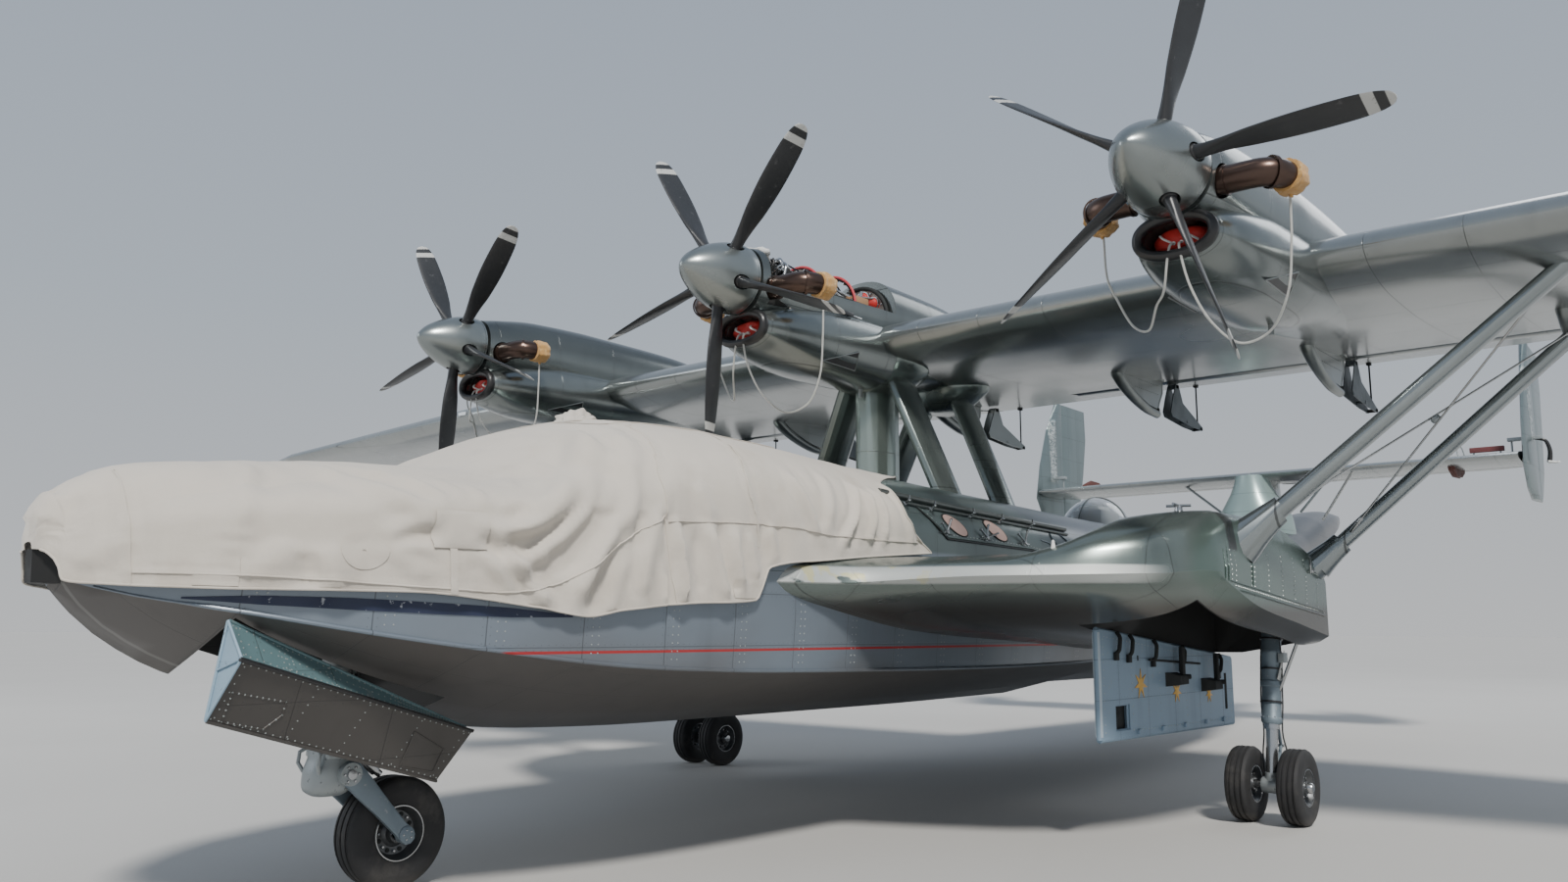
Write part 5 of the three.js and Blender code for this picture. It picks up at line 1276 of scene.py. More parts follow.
def two_sided(grid, nrm, thick, closed=False):
    """A thin closed sheet from a grid of points."""
    g = Geo()
    R, C = grid.shape[:2]
    top = grid.reshape(-1, 3)
    bot = (grid - nrm * thick).reshape(-1, 3)
    faces = []
    o = R * C
    for i in range(R - 1):
        for j in range(C - 1):
            a, b, c, d = i * C + j, i * C + j + 1, (i + 1) * C + j + 1, (i + 1) * C + j
            faces.append((a, b, c, d))
            faces.append((a + o, d + o, c + o, b + o))
    for j in range(C - 1):
        faces.append((j + 1, j, j + o, j + 1 + o))
        a = (R - 1) * C
        faces.append((a + j, a + j + 1, a + j + 1 + o, a + j + o))
    for i in range(R - 1):
        faces.append((i * C, (i + 1) * C, (i + 1) * C + o, i * C + o))
        b = C - 1
        faces.append(((i + 1) * C + b, i * C + b, i * C + b + o, (i + 1) * C + b + o))
    g.add(np.concatenate([top, bot]), faces)
    return g


cover = two_sided(CLOTH, NRM, .0035).build("cover_canvas", CANVAS, "airframe", replaces="bow_cover", angle=75, slot="canvas")
e1 = np.linalg.norm(np.cross(CLOTH[1:, :-1] - CLOTH[:-1, :-1], CLOTH[:-1, 1:] - CLOTH[:-1, :-1]), axis=2).sum() / 2
e2 = np.linalg.norm(np.cross(CLOTH[1:, :-1] - CLOTH[1:, 1:], CLOTH[:-1, 1:] - CLOTH[1:, 1:]), axis=2).sum() / 2

# sewn patches, pocket flap and strap on the cloth
patches = Geo()


def patch(corners, lift=.0045, n=14, thick=.003, puff=.0):
    """A piece of cloth laid on the cover between four side-view corners."""
    a, b, c, d = [v3((q[0], q[1], 0)) for q in corners]
    G = np.zeros((n, n, 3)); M = np.zeros((n, n, 3))
    for i in range(n):
        for j in range(n):
            s, t = i / (n - 1), j / (n - 1)
            q = (1 - s) * (1 - t) * a + s * (1 - t) * b + s * t * c + (1 - s) * t * d
            P, m = cloth_at(q[0], q[1], 1, lift + puff * math.sin(s * math.pi) * math.sin(t * math.pi) ** .5)
            G[i, j], M[i, j] = P, m
    patches.join(two_sided(G, M, thick))


patch([(-10.50, 1.885), (-10.33, 1.885), (-10.33, 1.745), (-10.50, 1.75)])
patch([(-7.46, 1.86), (-7.255, 1.86), (-7.255, 1.74), (-7.46, 1.74)])
patch([(-9.47, 2.165), (-9.19, 2.165), (-9.18, 1.965), (-9.47, 1.965)], lift=.012, puff=.016)
patch([(-9.385, 1.965), (-9.345, 1.965), (-9.335, 1.70), (-9.375, 1.70)], lift=.010, n=10)
patch([(-8.06, 2.90), (-7.84, 2.90), (-7.84, 2.86), (-8.06, 2.86)], lift=.005, n=10)
# round patch
G = np.zeros((9, 33, 3)); M = np.zeros((9, 33, 3))
for i in range(9):
    for j in range(33):
        r, a = .008 + .108 * i / 8, 2 * math.pi * j / 32
        P, m = cloth_at(-9.80 + r * math.cos(a), 1.935 + r * math.sin(a) * .82, 1, .005)
        G[i, j], M[i, j] = P, m
patches.join(two_sided(G, M, .003))
pieces_on = [patches.build("cover_patches", CANVAS, "airframe", angle=60)]
# hem cord and raised seams
trim = Geo()
for pts in SEAMS:
    for side in (1, -1):
        q = smooth_line([(a, b) for a, b in pts], max(16, int(60 * len(pts) / 4)))
        line = [cloth_at(a, b, side, .003)[0] for a, b in q]
        trim.tube(line, .0055, 6, squash=.7)
hem = CLOTH[:, -1][::1]
trim.tube(hem[2:] , .007, 6)
trim.tube(CLOTH[2:, 0], .007, 6)
trim.tube(CLOTH[-1, :], .007, 6)
pieces_on.append(trim.build("cover_seams", CANVAS, "airframe", angle=75))
# bunch of spare cloth tied on the crown
bunch = Geo()
rings = []
A, B = v3((.50, -8.07, 2.80)), v3((.16, -7.66, 2.985))
axis = (B - A) / np.linalg.norm(B - A)
e1_ = np.cross(axis, (0, 0, 1)); e1_ /= np.linalg.norm(e1_)
e2_ = np.cross(e1_, axis)
for i, (s, r) in enumerate(zip(np.linspace(-.06, 1.10, 40), pchip([0, .08, .2, .35, .55, .75, .9, 1], [.004, .055, .075, .06, .095, .115, .09, .004], np.linspace(0, 1, 40)))):
    ang = np.linspace(0, 2 * math.pi, 64, endpoint=False)
    f = 1 + .16 * np.sin(5 * ang + 9 * s) + .09 * np.sin(9 * ang - 14 * s + 1) + .05 * np.sin(17 * ang + 22 * s)
    rings.append(A + (B - A) * s + (0, 0, .035 * math.sin(s * 3)) + (r * f)[:, None] * (np.cos(ang)[:, None] * e1_ * 1.15 + np.sin(ang)[:, None] * e2_ * .72))
bunch.loft(rings)
pieces_on.append(bunch.build("cover_bunch", CANVAS, "airframe", angle=80))
tie = Geo()
for s in (.30,):
    c = A + (B - A) * s + (0, 0, .035 * math.sin(s * 3))
    ang = np.linspace(0, 2 * math.pi, 30)
    tie.tube([c + .068 * (np.cos(a) * e1_ * 1.15 + np.sin(a) * e2_ * .72) for a in ang], .007, 8, caps=(True, True))
pieces_on.append(tie.build("cover_tie", ROPE, "airframe"))

# ------------------------------------------------------------------ small parts used all over
def rivet(g, p, n, r=.006, h=.0028, mi=0):
    """A low round head on a surface."""
    n = v3(n) / np.linalg.norm(n)
    ref = v3((0, 0, 1)) if abs(n[2]) < .9 else v3((1, 0, 0))
    a = np.cross(n, ref); a /= np.linalg.norm(a)
    b = np.cross(n, a)
    ang = np.linspace(0, 2 * math.pi, 7)[:-1]
    base = [v3(p) - n * .001 + r * (math.cos(t) * a + math.sin(t) * b) for t in ang]
    mid = [v3(p) + n * h * .75 + r * .7 * (math.cos(t) * a + math.sin(t) * b) for t in ang]
    g.loft([base, mid, [v3(p) + n * h + r * .02 * (math.cos(t) * a + math.sin(t) * b) for t in ang]], mi)


def rivets(g, a, b, n, pitch=.05, r=.006, h=.0028, mi=0):
    a, b = v3(a), v3(b)
    k = max(2, int(np.linalg.norm(b - a) / pitch))
    for i in range(k + 1):
        rivet(g, a + (b - a) * i / k, n, r, h, mi)


def bolts_round(g, c, axis, rad, count, r, h, mi=0, phase=0.0):
    ax = v3(axis) / np.linalg.norm(axis)
    ref = v3((0, 0, 1)) if abs(ax[2]) < .9 else v3((1, 0, 0))
    a = np.cross(ax, ref); a /= np.linalg.norm(a)
    b = np.cross(ax, a)
    for k in range(count):
        t = 2 * math.pi * k / count + phase
        p = v3(c) + rad * (math.cos(t) * a + math.sin(t) * b)
        g.lathe([(-.004, r), (h * .8, r), (h, r * .7), (h, 0)], p, ax, 6, mi)


# ------------------------------------------------------------------ nose gear door, hung on the port edge of its bay
DOOR_UP = primer_panel("nose_door_upper", (0.135, 0.225, 0.240), 0.45, 0.30, 0.25)
# the lower face takes the dark hull-bottom colour: bottom paint with painted shade on it
DOOR_LOW = primer_panel("nose_door_lower", (0.074, 0.068, 0.063), 0.60, 0.34, 0.3, chip=0)
DOOR_IN = plain_paint("nose_door_inside", (0.24, 0.25, 0.235), 0.5, 0.1, 0.12)
DOOR_END = plain_paint("nose_door_end", (0.26, 0.37, 0.46), 0.45, 0.1, 0.12, chips=(0.14, 0.16, 0.18))
RIVET = plain_paint("rivet_heads", (0.40, 0.43, 0.42), 0.35, 0.5, 0.2)
FR = [v3((.740, -10.310, 1.580)), v3((.890, -10.300, 1.398)), v3((.730, -10.380, 1.100))]
BK = [v3((.550, -8.780, .965)), v3((.580, -8.745, .949)), v3((.520, -8.940, .673))]


def nose_door():
    g = Geo()
    n = 14
    rows = [[f + (b - f) * t for f, b in zip(FR, BK)] for t in np.linspace(0, 1, n)]
    H = [r[0] for r in rows]; S = [r[1] for r in rows]; L = [r[2] for r in rows]
    v = H + S + L
    f, m = [], []
    for i in range(n - 1):
        f.append((i, i + 1, n + i + 1, n + i)); m.append(0)
        f.append((n + i, n + i + 1, 2 * n + i + 1, 2 * n + i)); m.append(1)
        f.append((2 * n + i, 2 * n + i + 1, i + 1, i)); m.append(3)
    f.append((0, n, 2 * n)); m.append(2)
    f.append((n - 1, 2 * n - 1, 3 * n - 1)[::-1]); m.append(1)
    b0 = len(g.v)
    g.v += [tuple(p) for p in v]; g.f += [tuple(q + b0 for q in k) for k in f]; g.m += m
    # edge strips and flanges
    up_n = np.cross(S[-1] - S[0], H[0] - S[0]); up_n /= np.linalg.norm(up_n)
    if up_n[0] < 0: up_n = -up_n
    lo_n = np.cross(L[0] - S[0], S[-1] - S[0]); lo_n /= np.linalg.norm(lo_n)
    if lo_n[0] < 0: lo_n = -lo_n
    g.tube([S[0] + (.002, -.012, -.001), S[-1] + (.001, .004, -.001)], [.012, .006], 10, 4)          # rubber seal along the spine
    strip = [S[0] * .985 + L[0] * .015 + lo_n * .004, S[-1] * .985 + L[-1] * .015 + lo_n * .004]
    g.tube(strip, [.011, .008], 8, 4)
    g.tube([H[0] + up_n * .003, H[-1] + up_n * .003], .008, 8, 0)
    g.tube([L[0] + lo_n * .003, L[-1] + lo_n * .003], .009, 8, 1)
    for P, Q in ((H[0], S[0]), (S[0], L[0]), (L[0], H[0])):
        g.tube([P + (0, -.004, 0), Q + (0, -.004, 0)], .008, 8, 2)
    # inner rib of the front face
    c = (H[0] + S[0] + L[0]) / 3
    g.tube([S[0] + (S[0] - c) * -.10 + (0, -.006, 0), (H[0] + L[0]) / 2 + (0, -.006, 0)], .006, 8, 2)

    def on_up(t, s, lift=0.0):   # t along, s from hinge edge to spine
        return (H[0] + (H[-1] - H[0]) * t) * (1 - s) + (S[0] + (S[-1] - S[0]) * t) * s + up_n * lift

    def on_lo(t, s, lift=0.0):
        return (S[0] + (S[-1] - S[0]) * t) * (1 - s) + (L[0] + (L[-1] - L[0]) * t) * s + lo_n * lift

    for s in (.10, .88):
        rivets(g, on_up(.01, s), on_up(.99, s), up_n, .040, .0055, mi=5)
    for t in (.02, .17, .19, .21, .35, .37, .50, .64, .66, .80, .92):
        rivets(g, on_up(t, .14), on_up(t, .84), up_n, .034, .0055, mi=5)
    rivets(g, on_up(.02, .5), on_up(.62, .5), up_n, .045, .0055, mi=5)
    for i in range(26):          # tight rows on the aft part
        t = .64 + .34 * i / 25
        rivets(g, on_up(t, .18), on_up(t, .80), up_n, .038, .005, mi=5)
    for s in (.06, .95):
        rivets(g, on_lo(.01, s), on_lo(.99, s), lo_n, .045, .0055, mi=5)
    for t in (.02, .30, .52, .76, .97):
        rivets(g, on_lo(t, .1), on_lo(t, .92), lo_n, .045, .005, mi=5)
    # access panel near the front: a raised frame with rivets
    q = [(.03, .50), (.22, .42), (.235, .62), (.20, .90), (.05, .95)]
    for (a, b), (c_, d) in zip(q, q[1:] + q[:1]):
        g.tube([on_lo(a, b, .001), on_lo(c_, d, .001)], .0035, 6, 1)
        rivets(g, on_lo(a, b, .002), on_lo(c_, d, .002), lo_n, .032, .006, mi=5)
    q = [(.76, .30), (.93, .45), (.955, .86), (.80, .92)]
    for (a, b), (c_, d) in zip(q, q[1:] + q[:1]):
        g.tube([on_lo(a, b, .001), on_lo(c_, d, .001)], .004, 6, 1)
    for t in (.12, .36, .60, .84):       # hinge lugs
        p = on_up(t, -.02)
        g.block(p + up_n * -.012, [v3((.010, 0, 0)), v3((0, .040, -.016)), v3((0, .003, .009))], 1)
    return g


nose_door().build("nose_door_leaf", [DOOR_UP, DOOR_LOW, DOOR_END, DOOR_IN, BLACK, RIVET], "nosedoor_port", replaces="nose_door_port", slot="primer", angle=25)


# ------------------------------------------------------------------ wheels
def wheel_parts(c, r, w, rim, side=None, grooves=3):
    """Tyre and rim turned about an axle along X. side: not used."""
    ty, rm = Geo(), Geo()
    prof = []
    half = w / 2
    pts = [(-half * .74, rim * .99), (-half * .86, rim * 1.02), (-half * .97, rim + (r - rim) * .30), (-half, rim + (r - rim) * .52),
           (-half * .95, rim + (r - rim) * .74), (-half * .80, r - w * .055), (-half * .60, r - w * .018)]
    prof += [tuple(q) for q in smooth_line(pts, 16)]
    gs = np.linspace(-half * .46, half * .46, grooves)
    for g_ in gs:
        prof += [(g_ - .0085, r - .002), (g_ - .0065, r - .0115), (g_ + .0065, r - .0115), (g_ + .0085, r - .002)]
        prof += [(g_ + .014, r)]
    prof += [(-a, b) for a, b in reversed(smooth_line(pts, 16).tolist())]
    prof += [(half * .70, rim * .96), (half * .35, rim * .90), (-half * .35, rim * .90), (-half * .70, rim * .96)]
    ty.ring(prof, c, (1, 0, 0), 72)
    for s in (1, -1):
        rp = [(s * half * .78, rim * 1.03), (s * half * .84, rim * .985), (s * half * .76, rim * .93), (s * half * .50, rim * .86), (s * half * .34, rim * .78),
              (s * half * .30, rim * .52), (s * half * .44, rim * .40), (s * half * .70, rim * .34), (s * half * .72, rim * .26), (s * half * .2, rim * .24),
              (s * half * .12, rim * .5), (s * half * .16, rim * .88), (s * half * .5, rim * .97)]
        rm.ring(rp, c, (1, 0, 0), 64)
        bolts_round(rm, v3(c) + (s * half * .32, 0, 0), (s, 0, 0), rim * .66, 8, rim * .060, .014, 1)
        bolts_round(rm, v3(c) + (s * half * .70, 0, 0), (s, 0, 0), rim * .295, 6, rim * .030, .008, 1)
        rm.ring([(s * half * .79, rim * .985), (s * half * .87, rim * .985), (s * half * .87, rim * .945), (s * half * .79, rim * .945)], c, (1, 0, 0), 64, 1)
        # lightening holes, as shallow dished rings painted dark as painted shade inside the holes
        for k in range(8):
            t = 2 * math.pi * (k + .5) / 8
            p = v3(c) + (s * half * .325, rim * .66 * math.cos(t), rim * .66 * math.sin(t))
            rm.lathe([(0, rim * .085), (.004 * 1, rim * .085), (.004, rim * .06), (.0045, 0)], p, (s, 0, 0), 16, 2)
    return ty, rm


RIM = plain_paint("wheel_rim", (0.10, 0.105, 0.11), 0.38, 0.65, 0.25, chips=(0.45, 0.45, 0.44))
ty, rm = wheel_parts((0, -8.895, .330), .330, .240, .165)
o = ty.build("nose_tyre", TYRE, "nose_roll", replaces="nose_wheel", angle=30, slot="tyre")
rm.build("nose_rim", [RIM, STEEL, DARK], "nose_roll", angle=30)
for side, sgn in (("port", 1), ("stbd", -1)):
    T_, R_ = Geo(), Geo()
    for off in (-.205, .205):
        a, b = wheel_parts((sgn * 3.195 + off, -2.835, .300), .300, .190, .150)
        T_.join(a); R_.join(b)
    R_.bar((sgn * 3.195 - .205, -2.835, .3), (sgn * 3.195 + .205, -2.835, .3), .030, None, 20, 1)
    for off in (-.205, .205):
        k = 1 if off > 0 else -1
        R_.lathe([(-.002, .045), (.035, .043), (.050, .034), (.054, 0)], (sgn * 3.195 + off + k * .066, -2.835, .3), (k, 0, 0), 24, 1)
    T_.build(f"main_tyres_{side}", TYRE, f"wheels_{side}", replaces=f"main_wheels_{side}", angle=30, slot="tyre")
    R_.build(f"main_rims_{side}", [RIM, STEEL, DARK], f"wheels_{side}", angle=30)

# ------------------------------------------------------------------ nose leg and fork
ng = Geo()
ng.bar((0, -9.3, .92), (0, -9.3, 1.90), .092, None, 36)
for z, r, h in ((1.02, .108, .030), (1.30, .102, .020), (1.62, .104, .024)):
    ng.lathe([(-h, .09), (-h, r), (h, r), (h, .09)], (0, -9.3, z), (0, 0, 1), 40)
ng.tube([(0, -9.30, 1.50), (0, -8.93, 1.84)], .040, 20)
ng.tube([(.13, -9.27, 1.86), (.115, -9.28, 1.40), (.112, -9.28, 1.10), (.12, -9.25, .99)], .009, 8, 1)
ng.tube([(.10, -9.22, 1.86), (.11, -9.23, 1.35), (.105, -9.22, 1.00)], .007, 8, 1)
ng.tube([(-.12, -9.24, 1.86), (-.115, -9.22, 1.30), (-.11, -9.22, 1.00)], .008, 8, 1)
for z in (1.18, 1.46, 1.72):
    ng.box((.085, -9.30, z - .012), (.135, -9.21, z + .012), 2)
ng.build("nose_leg_strut", [CAST, BLACK, STEEL], "airframe", replaces="nose_leg", slot="gear_steel")

nf = Geo()
# bulky steering casting with a rounded foot
rows = [(.905, .100, .100, 0.0), (.880, .118, .116, 0.0), (.80, .126, .130, 0.0), (.72, .132, .145, .01), (.66, .128, .140, .02), (.61, .108, .118, .03), (.585, .070, .080, .03)]
zq = np.linspace(.905, .585, 26)
R = pchip([-r[0] for r in rows], np.array([r[1:] for r in rows]), -zq)
nf.loft([[(w * np.sign(math.cos(a)) * abs(math.cos(a)) ** .7, -9.3 + off * -1 + h * np.sign(math.sin(a)) * abs(math.sin(a)) ** .7, z)
          for a in np.linspace(0, 2 * math.pi, 40)[:-1]] for z, (w, h, off) in zip(zq, R)])
nf.box((-.135, -9.40, .80), (.135, -9.18, .845), bevel=.012)
nf.bar((-.178, -9.275, .71), (.178, -9.275, .71), .066, None, 32)
for s in (1, -1):
    bolts_round(nf, (s * .178, -9.275, .71), (s, 0, 0), .044, 6, .008, .008, 1)
    nf.lathe([(0, .030), (.010, .028), (.012, 0)], (s * .178, -9.275, .71), (s, 0, 0), 20, 1)
    # trailing arm down to the axle
    A, B = v3((s * .154, -9.27, .72)), v3((s * .154, -8.895, .330))
    d_ = (B - A) / np.linalg.norm(B - A)
    p_ = np.cross((1, 0, 0), d_)
    rings_ = []
    for t, hw in ((-.10, .030), (-.06, .060), (0, .072), (.25, .066), (.6, .052), (.9, .046), (1.0, .050), (1.08, .042), (1.11, .020)):
        c_ = A + (B - A) * t
        rings_.append([c_ + p_ * hw * a + v3((b * .021, 0, 0)) for a, b in ((-1, -.75), (-.85, -1), (.85, -1), (1, -.75), (1, .75), (.85, 1), (-.85, 1), (-1, .75))])
    nf.loft(rings_, 2)
    nf.lathe([(-.026, .052), (.026, .050), (.034, .034), (.036, 0)], B, (s, 0, 0), 28, 2)
    bolts_round(nf, B + (s * .030, 0, 0), (s, 0, 0), .028, 5, .006, .008, 1)
nf.bar((-.176, -8.895, .33), (.176, -8.895, .33), .030, None, 20, 1)
# damper between casting and arms, and towing eyes
nf.bar((0, -9.20, .84), (0, -9.02, .70), .034, None, 20, 1)
nf.bar((0, -9.08, .745), (0, -8.99, .675), .022, None, 16, 1)
for s in (1, -1):
    nf.tube([(s * .10, -9.40, .86), (s * .115, -9.445, .83), (s * .115, -9.452, .77), (s * .09, -9.43, .72)], .012, 8, 0)
nf.build("nose_fork_casting", [CAST, STEEL, BLUEGREY], "nose_steer", replaces="nose_fork", slot="gear_steel")

# ------------------------------------------------------------------ main gear legs
def main_leg():
    g = Geo()
    X, Yc = 3.195, -2.835
    a, b = v3((X, Yc + .075, .780)), v3((X, Yc + .240, 1.84))
    d_ = (b - a) / np.linalg.norm(b - a)
    L = np.linalg.norm(b - a)
    g.lathe([(0, .0), (0, .070), (.02, .082), (.05, .082), (.06, .076), (.30, .076), (.31, .084), (.345, .084), (.355, .077), (.56, .077), (.57, .083), (.60, .083),
             (.61, .078), (.80, .078), (.81, .086), (.86, .086), (.87, .078), (L, .078), (L, 0)], a, d_, 40)
    bolts_round(g, a + d_ * .052, d_, .079, 10, .006, .008, 1)
    bolts_round(g, a + d_ * .862, d_, .081, 10, .006, .008, 1)
    g.bar((X, Yc, .27), (X, Yc + .078, .80), .048, None, 32, 1)             # bright piston
    g.lathe([(-.025, .050), (-.025, .060), (.02, .060), (.03, .050)], (X, Yc + .070, .765), d_, 32, 1)
    g.box((X - .09, Yc + .13, 1.81), (X + .09, Yc + .36, 1.899))
    g.lathe([(-.075, 0), (-.075, .058), (-.06, .066), (.06, .066), (.075, .058), (.075, 0)], (X, Yc, .3), (1, 0, 0), 32, 2)
    g.tube([(X, Yc, .30), (X, Yc, .40)], [.058, .050], 24, 2)
    g.bar((X, Yc + .11, .95), (X, Yc + .42, 1.74), .026, None, 20)
    g.bar((X, Yc + .42, 1.72), (X, Yc + .33, 1.86), .030, None, 16)
    # scissor links behind the piston
    for s in (-1, 1):
        g.tube([(X + s * .034, Yc + .10, .80), (X + s * .020, Yc + .21, .60)], [.017, .013], 10)
        g.tube([(X + s * .034, Yc + .03, .42), (X + s * .020, Yc + .21, .60)], [.017, .013], 10)
    g.bar((X - .045, Yc + .21, .60), (X + .045, Yc + .21, .60), .013, None, 12, 1)
    # brake lines
    for k, s in enumerate((-1, 1)):
        pts = smooth_line([(X + s * .03, Yc + .17, 1.70), (X + s * .085, Yc + .15, 1.30), (X + s * .088, Yc + .11, .98), (X + s * .075, Yc + .10, .72), (X + s * .10, Yc + .12, .52), (X + s * .07, Yc + .05, .36)], 40)
        g.tube(pts, .0065, 8, 3)
    for t in (.18, .45, .70):
        p = a + d_ * t
        g.ring([(-.007, .078), (.007, .078), (.007, .090), (-.007, .090)], p, d_, 32, 3)
    g.box((X + .072, Yc + .10, 1.28), (X + .120, Yc + .20, 1.36), 2)
    # side stay and pale triangular web on the outboard side
    g.plate([(X + .075, Yc + .12, 1.13), (X + .095, Yc + .20, 1.38), (X + .075, Yc + .05, 1.15)], (.006, 0, .0), 4)
    g.bar((X + .05, Yc + .12, 1.02), (X + .26, Yc + .05, 1.47), .014, None, 12, 1)
    return g


both(main_leg(), "main_leg_assembly", [BLUEGREY, STEEL, CAST, BLACK, WHITE], ("airframe", "airframe"), (("main_leg_port",), ("main_leg_stbd",)), slot="gear_steel")

# ------------------------------------------------------------------ main gear doors
DOOR_BLUE = primer_panel("main_door_blue", (0.22, 0.31, 0.40), 0.52, 0.30, 0.3, 0.0045)


def main_door():
    g = Geo()
    x = 2.64
    C = [(-4.78, 1.545), (-4.78, .75), (-2.14, .735), (-2.14, 1.293)]
    # skin with the square cut-out, as four panels joined by the frame
    def slab(pts, x0, x1, mi=0):
        g.loft([[(x0, y, z) for y, z in pts], [(x1, y, z) for y, z in pts]], mi)
    top = lambda y: 1.545 + (1.293 - 1.545) * (y + 4.78) / 2.64
    bot = lambda y: .75 + (.735 - .75) * (y + 4.78) / 2.64
    slab([(-4.78, bot(-4.78)), (-4.54, bot(-4.54)), (-4.54, top(-4.54)), (-4.78, top(-4.78))], x - .022, x + .022)
    slab([(-4.54, .99), (-4.30, .99), (-4.30, top(-4.30)), (-4.54, top(-4.54))], x - .022, x + .022)
    slab([(-4.54, bot(-4.54)), (-4.30, bot(-4.30)), (-4.30, .80), (-4.54, .80)], x - .022, x + .022)
    slab([(-4.30, bot(-4.30)), (-2.14, bot(-2.14)), (-2.14, top(-2.14)), (-4.30, top(-4.30))], x - .022, x + .022)
    # rolled edges
    for (a, b), (c, d) in zip(C, C[1:] + C[:1]):
        g.tube([(x, a, b), (x, c, d)], .024, 12, 0)
    q = [(-4.54, .80), (-4.30, .80), (-4.30, .99), (-4.54, .99)]
    for (a, b), (c, d) in zip(q, q[1:] + q[:1]):
        g.tube([(x, a, b), (x, c, d)], .012, 8, 0)
    # dark box behind the cut-out, painted near black as painted shade in the recess
    g.box((x - .050, -4.56, .785), (x - .024, -4.28, 1.005), 3, .002)
    # pale end cap at the front edge
    g.box((x - .025, -4.795, .77), (x + .025, -4.765, 1.53), 1, .004)
    # rivets of both faces
    for s in (1, -1):
        xx = x + s * .022
        for y in (-4.72, -4.24, -3.72, -3.20, -2.68, -2.20):
            rivets(g, (xx, y, bot(y) + .05), (xx, y, top(y) - .06), (s, 0, 0), .055, .0055, mi=4)
        rivets(g, (xx, -4.24, .79), (xx, -2.20, .775), (s, 0, 0), .055, .0055, mi=4)
        rivets(g, (xx, -4.7, top(-4.7) - .04), (xx, -2.2, top(-2.2) - .04), (s, 0, 0), .055, .0055, mi=4)
    # star-shaped reinforcements, seven points
    for cy, cz, rad in ((-4.084, 1.131, .118), (-3.395, 1.050, .092), (-2.705, 1.005, .078)):
        v, n = [], 14
        for k in range(n):
            t = math.pi / 2 + 2 * math.pi * k / n
            r = rad if k % 2 == 0 else rad * .36
            v.append((cy + r * math.cos(t), cz + r * math.sin(t)))
        lo = [(x + .0215, a, b) for a, b in v]
        hi = [(x + .0255, a, b) for a, b in v]
        cen = (x + .031, cy, cz)
        b0 = len(g.v)
        g.v += lo + hi + [cen]
        for k in range(n):
            k2 = (k + 1) % n
            g.f.append((b0 + k, b0 + k2, b0 + n + k2, b0 + n + k)); g.m.append(2)
            g.f.append((b0 + n + k, b0 + n + k2, b0 + 2 * n)); g.m.append(2)
        g.f.append(tuple(b0 + k for k in range(n))[::-1]); g.m.append(2)
    # dark latch boxes and their arms
    for cy, cz in ((-3.50, 1.150), (-2.76, 1.085)):
        g.loft([[(x + .022, cy - .11, cz - .055), (x + .022, cy + .11, cz - .055), (x + .022, cy + .11, cz + .055), (x + .022, cy - .11, cz + .055)],
                [(x + .115, cy - .02, cz - .038), (x + .115, cy + .14, cz - .038), (x + .115, cy + .14, cz + .030), (x + .115, cy - .02, cz + .030)]], 3)
        g.block((x + .085, cy + .09, cz + .13), [v3((.016, 0, 0)), v3((0, .026, 0)), v3((0, 0, .13))], 3)
        g.bar((x + .07, cy + .09, cz + .02), (x + .125, cy + .15, cz + .02), .020, None, 12, 3)
    # hooks near the top edge
    for cy, l in ((-4.52, .13), (-4.30, .10), (-3.86, .12), (-3.30, .11), (-2.50, .11)):
        z1 = top(cy)
        g.tube(smooth_line([(x + .024, cy, z1 - .16), (x + .055, cy + .01, z1 - .12), (x + .060, cy + .02, z1 - .04), (x + .030, cy + .03, z1 + .01)], 12), [.016] * 12, 10, 3)
        g.block((x + .035, cy, z1 - .17), [v3((.012, 0, 0)), v3((0, .026, 0)), v3((0, 0, .03))], 3)
    g.tube([(x + .04, -3.95, 1.315), (x + .05, -2.95, 1.265)], .009, 8, 3)
    # slot near the rear edge and small vents, shallow boxes painted dark as painted shade in the openings
    g.box((x + .019, -2.34, .86), (x + .0245, -2.29, 1.17), 3, .002)
    for cy, cz in ((-4.12, 1.33), (-3.80, 1.30), (-2.46, 1.12)):
        g.box((x + .019, cy - .010, cz - .020), (x + .0245, cy + .010, cz + .020), 3, .002)
    # lugs on the lower edge
    for cy in (-4.15, -3.7, -3.25, -2.8, -2.4):
        g.block((x + .022, cy, .775), [v3((.018, 0, 0)), v3((0, .030, 0)), v3((0, 0, .018))], 0)
    return g


DOOR_LIP = plain_paint("main_door_lip", (0.46, 0.54, 0.60), 0.40, 0.15, 0.08)
both(main_door(), "main_door_leaf", [DOOR_BLUE, DOOR_LIP, GOLD, DARK, RIVET], ("maindoor_port", "maindoor_stbd"), (("main_door_port",), ("main_door_stbd",)), slot="primer", angle=30)

# ------------------------------------------------------------------ CAD nodes that stay: smooth shading and a finish
def keep(node, mat, angle=30):
    o = NODE[node]
    if "custom_normal" in o.data.attributes:
        o.data.attributes.remove(o.data.attributes["custom_normal"])
    o.data.polygons.foreach_set("use_smooth", [True] * len(o.data.polygons))
    w = o.modifiers.new("weld", "WELD"); w.merge_threshold = .0006
    e = o.modifiers.new("edges", "EDGE_SPLIT"); e.split_angle = math.radians(angle)
    for k in range(len(o.material_slots)):
        o.material_slots[k].material = mat


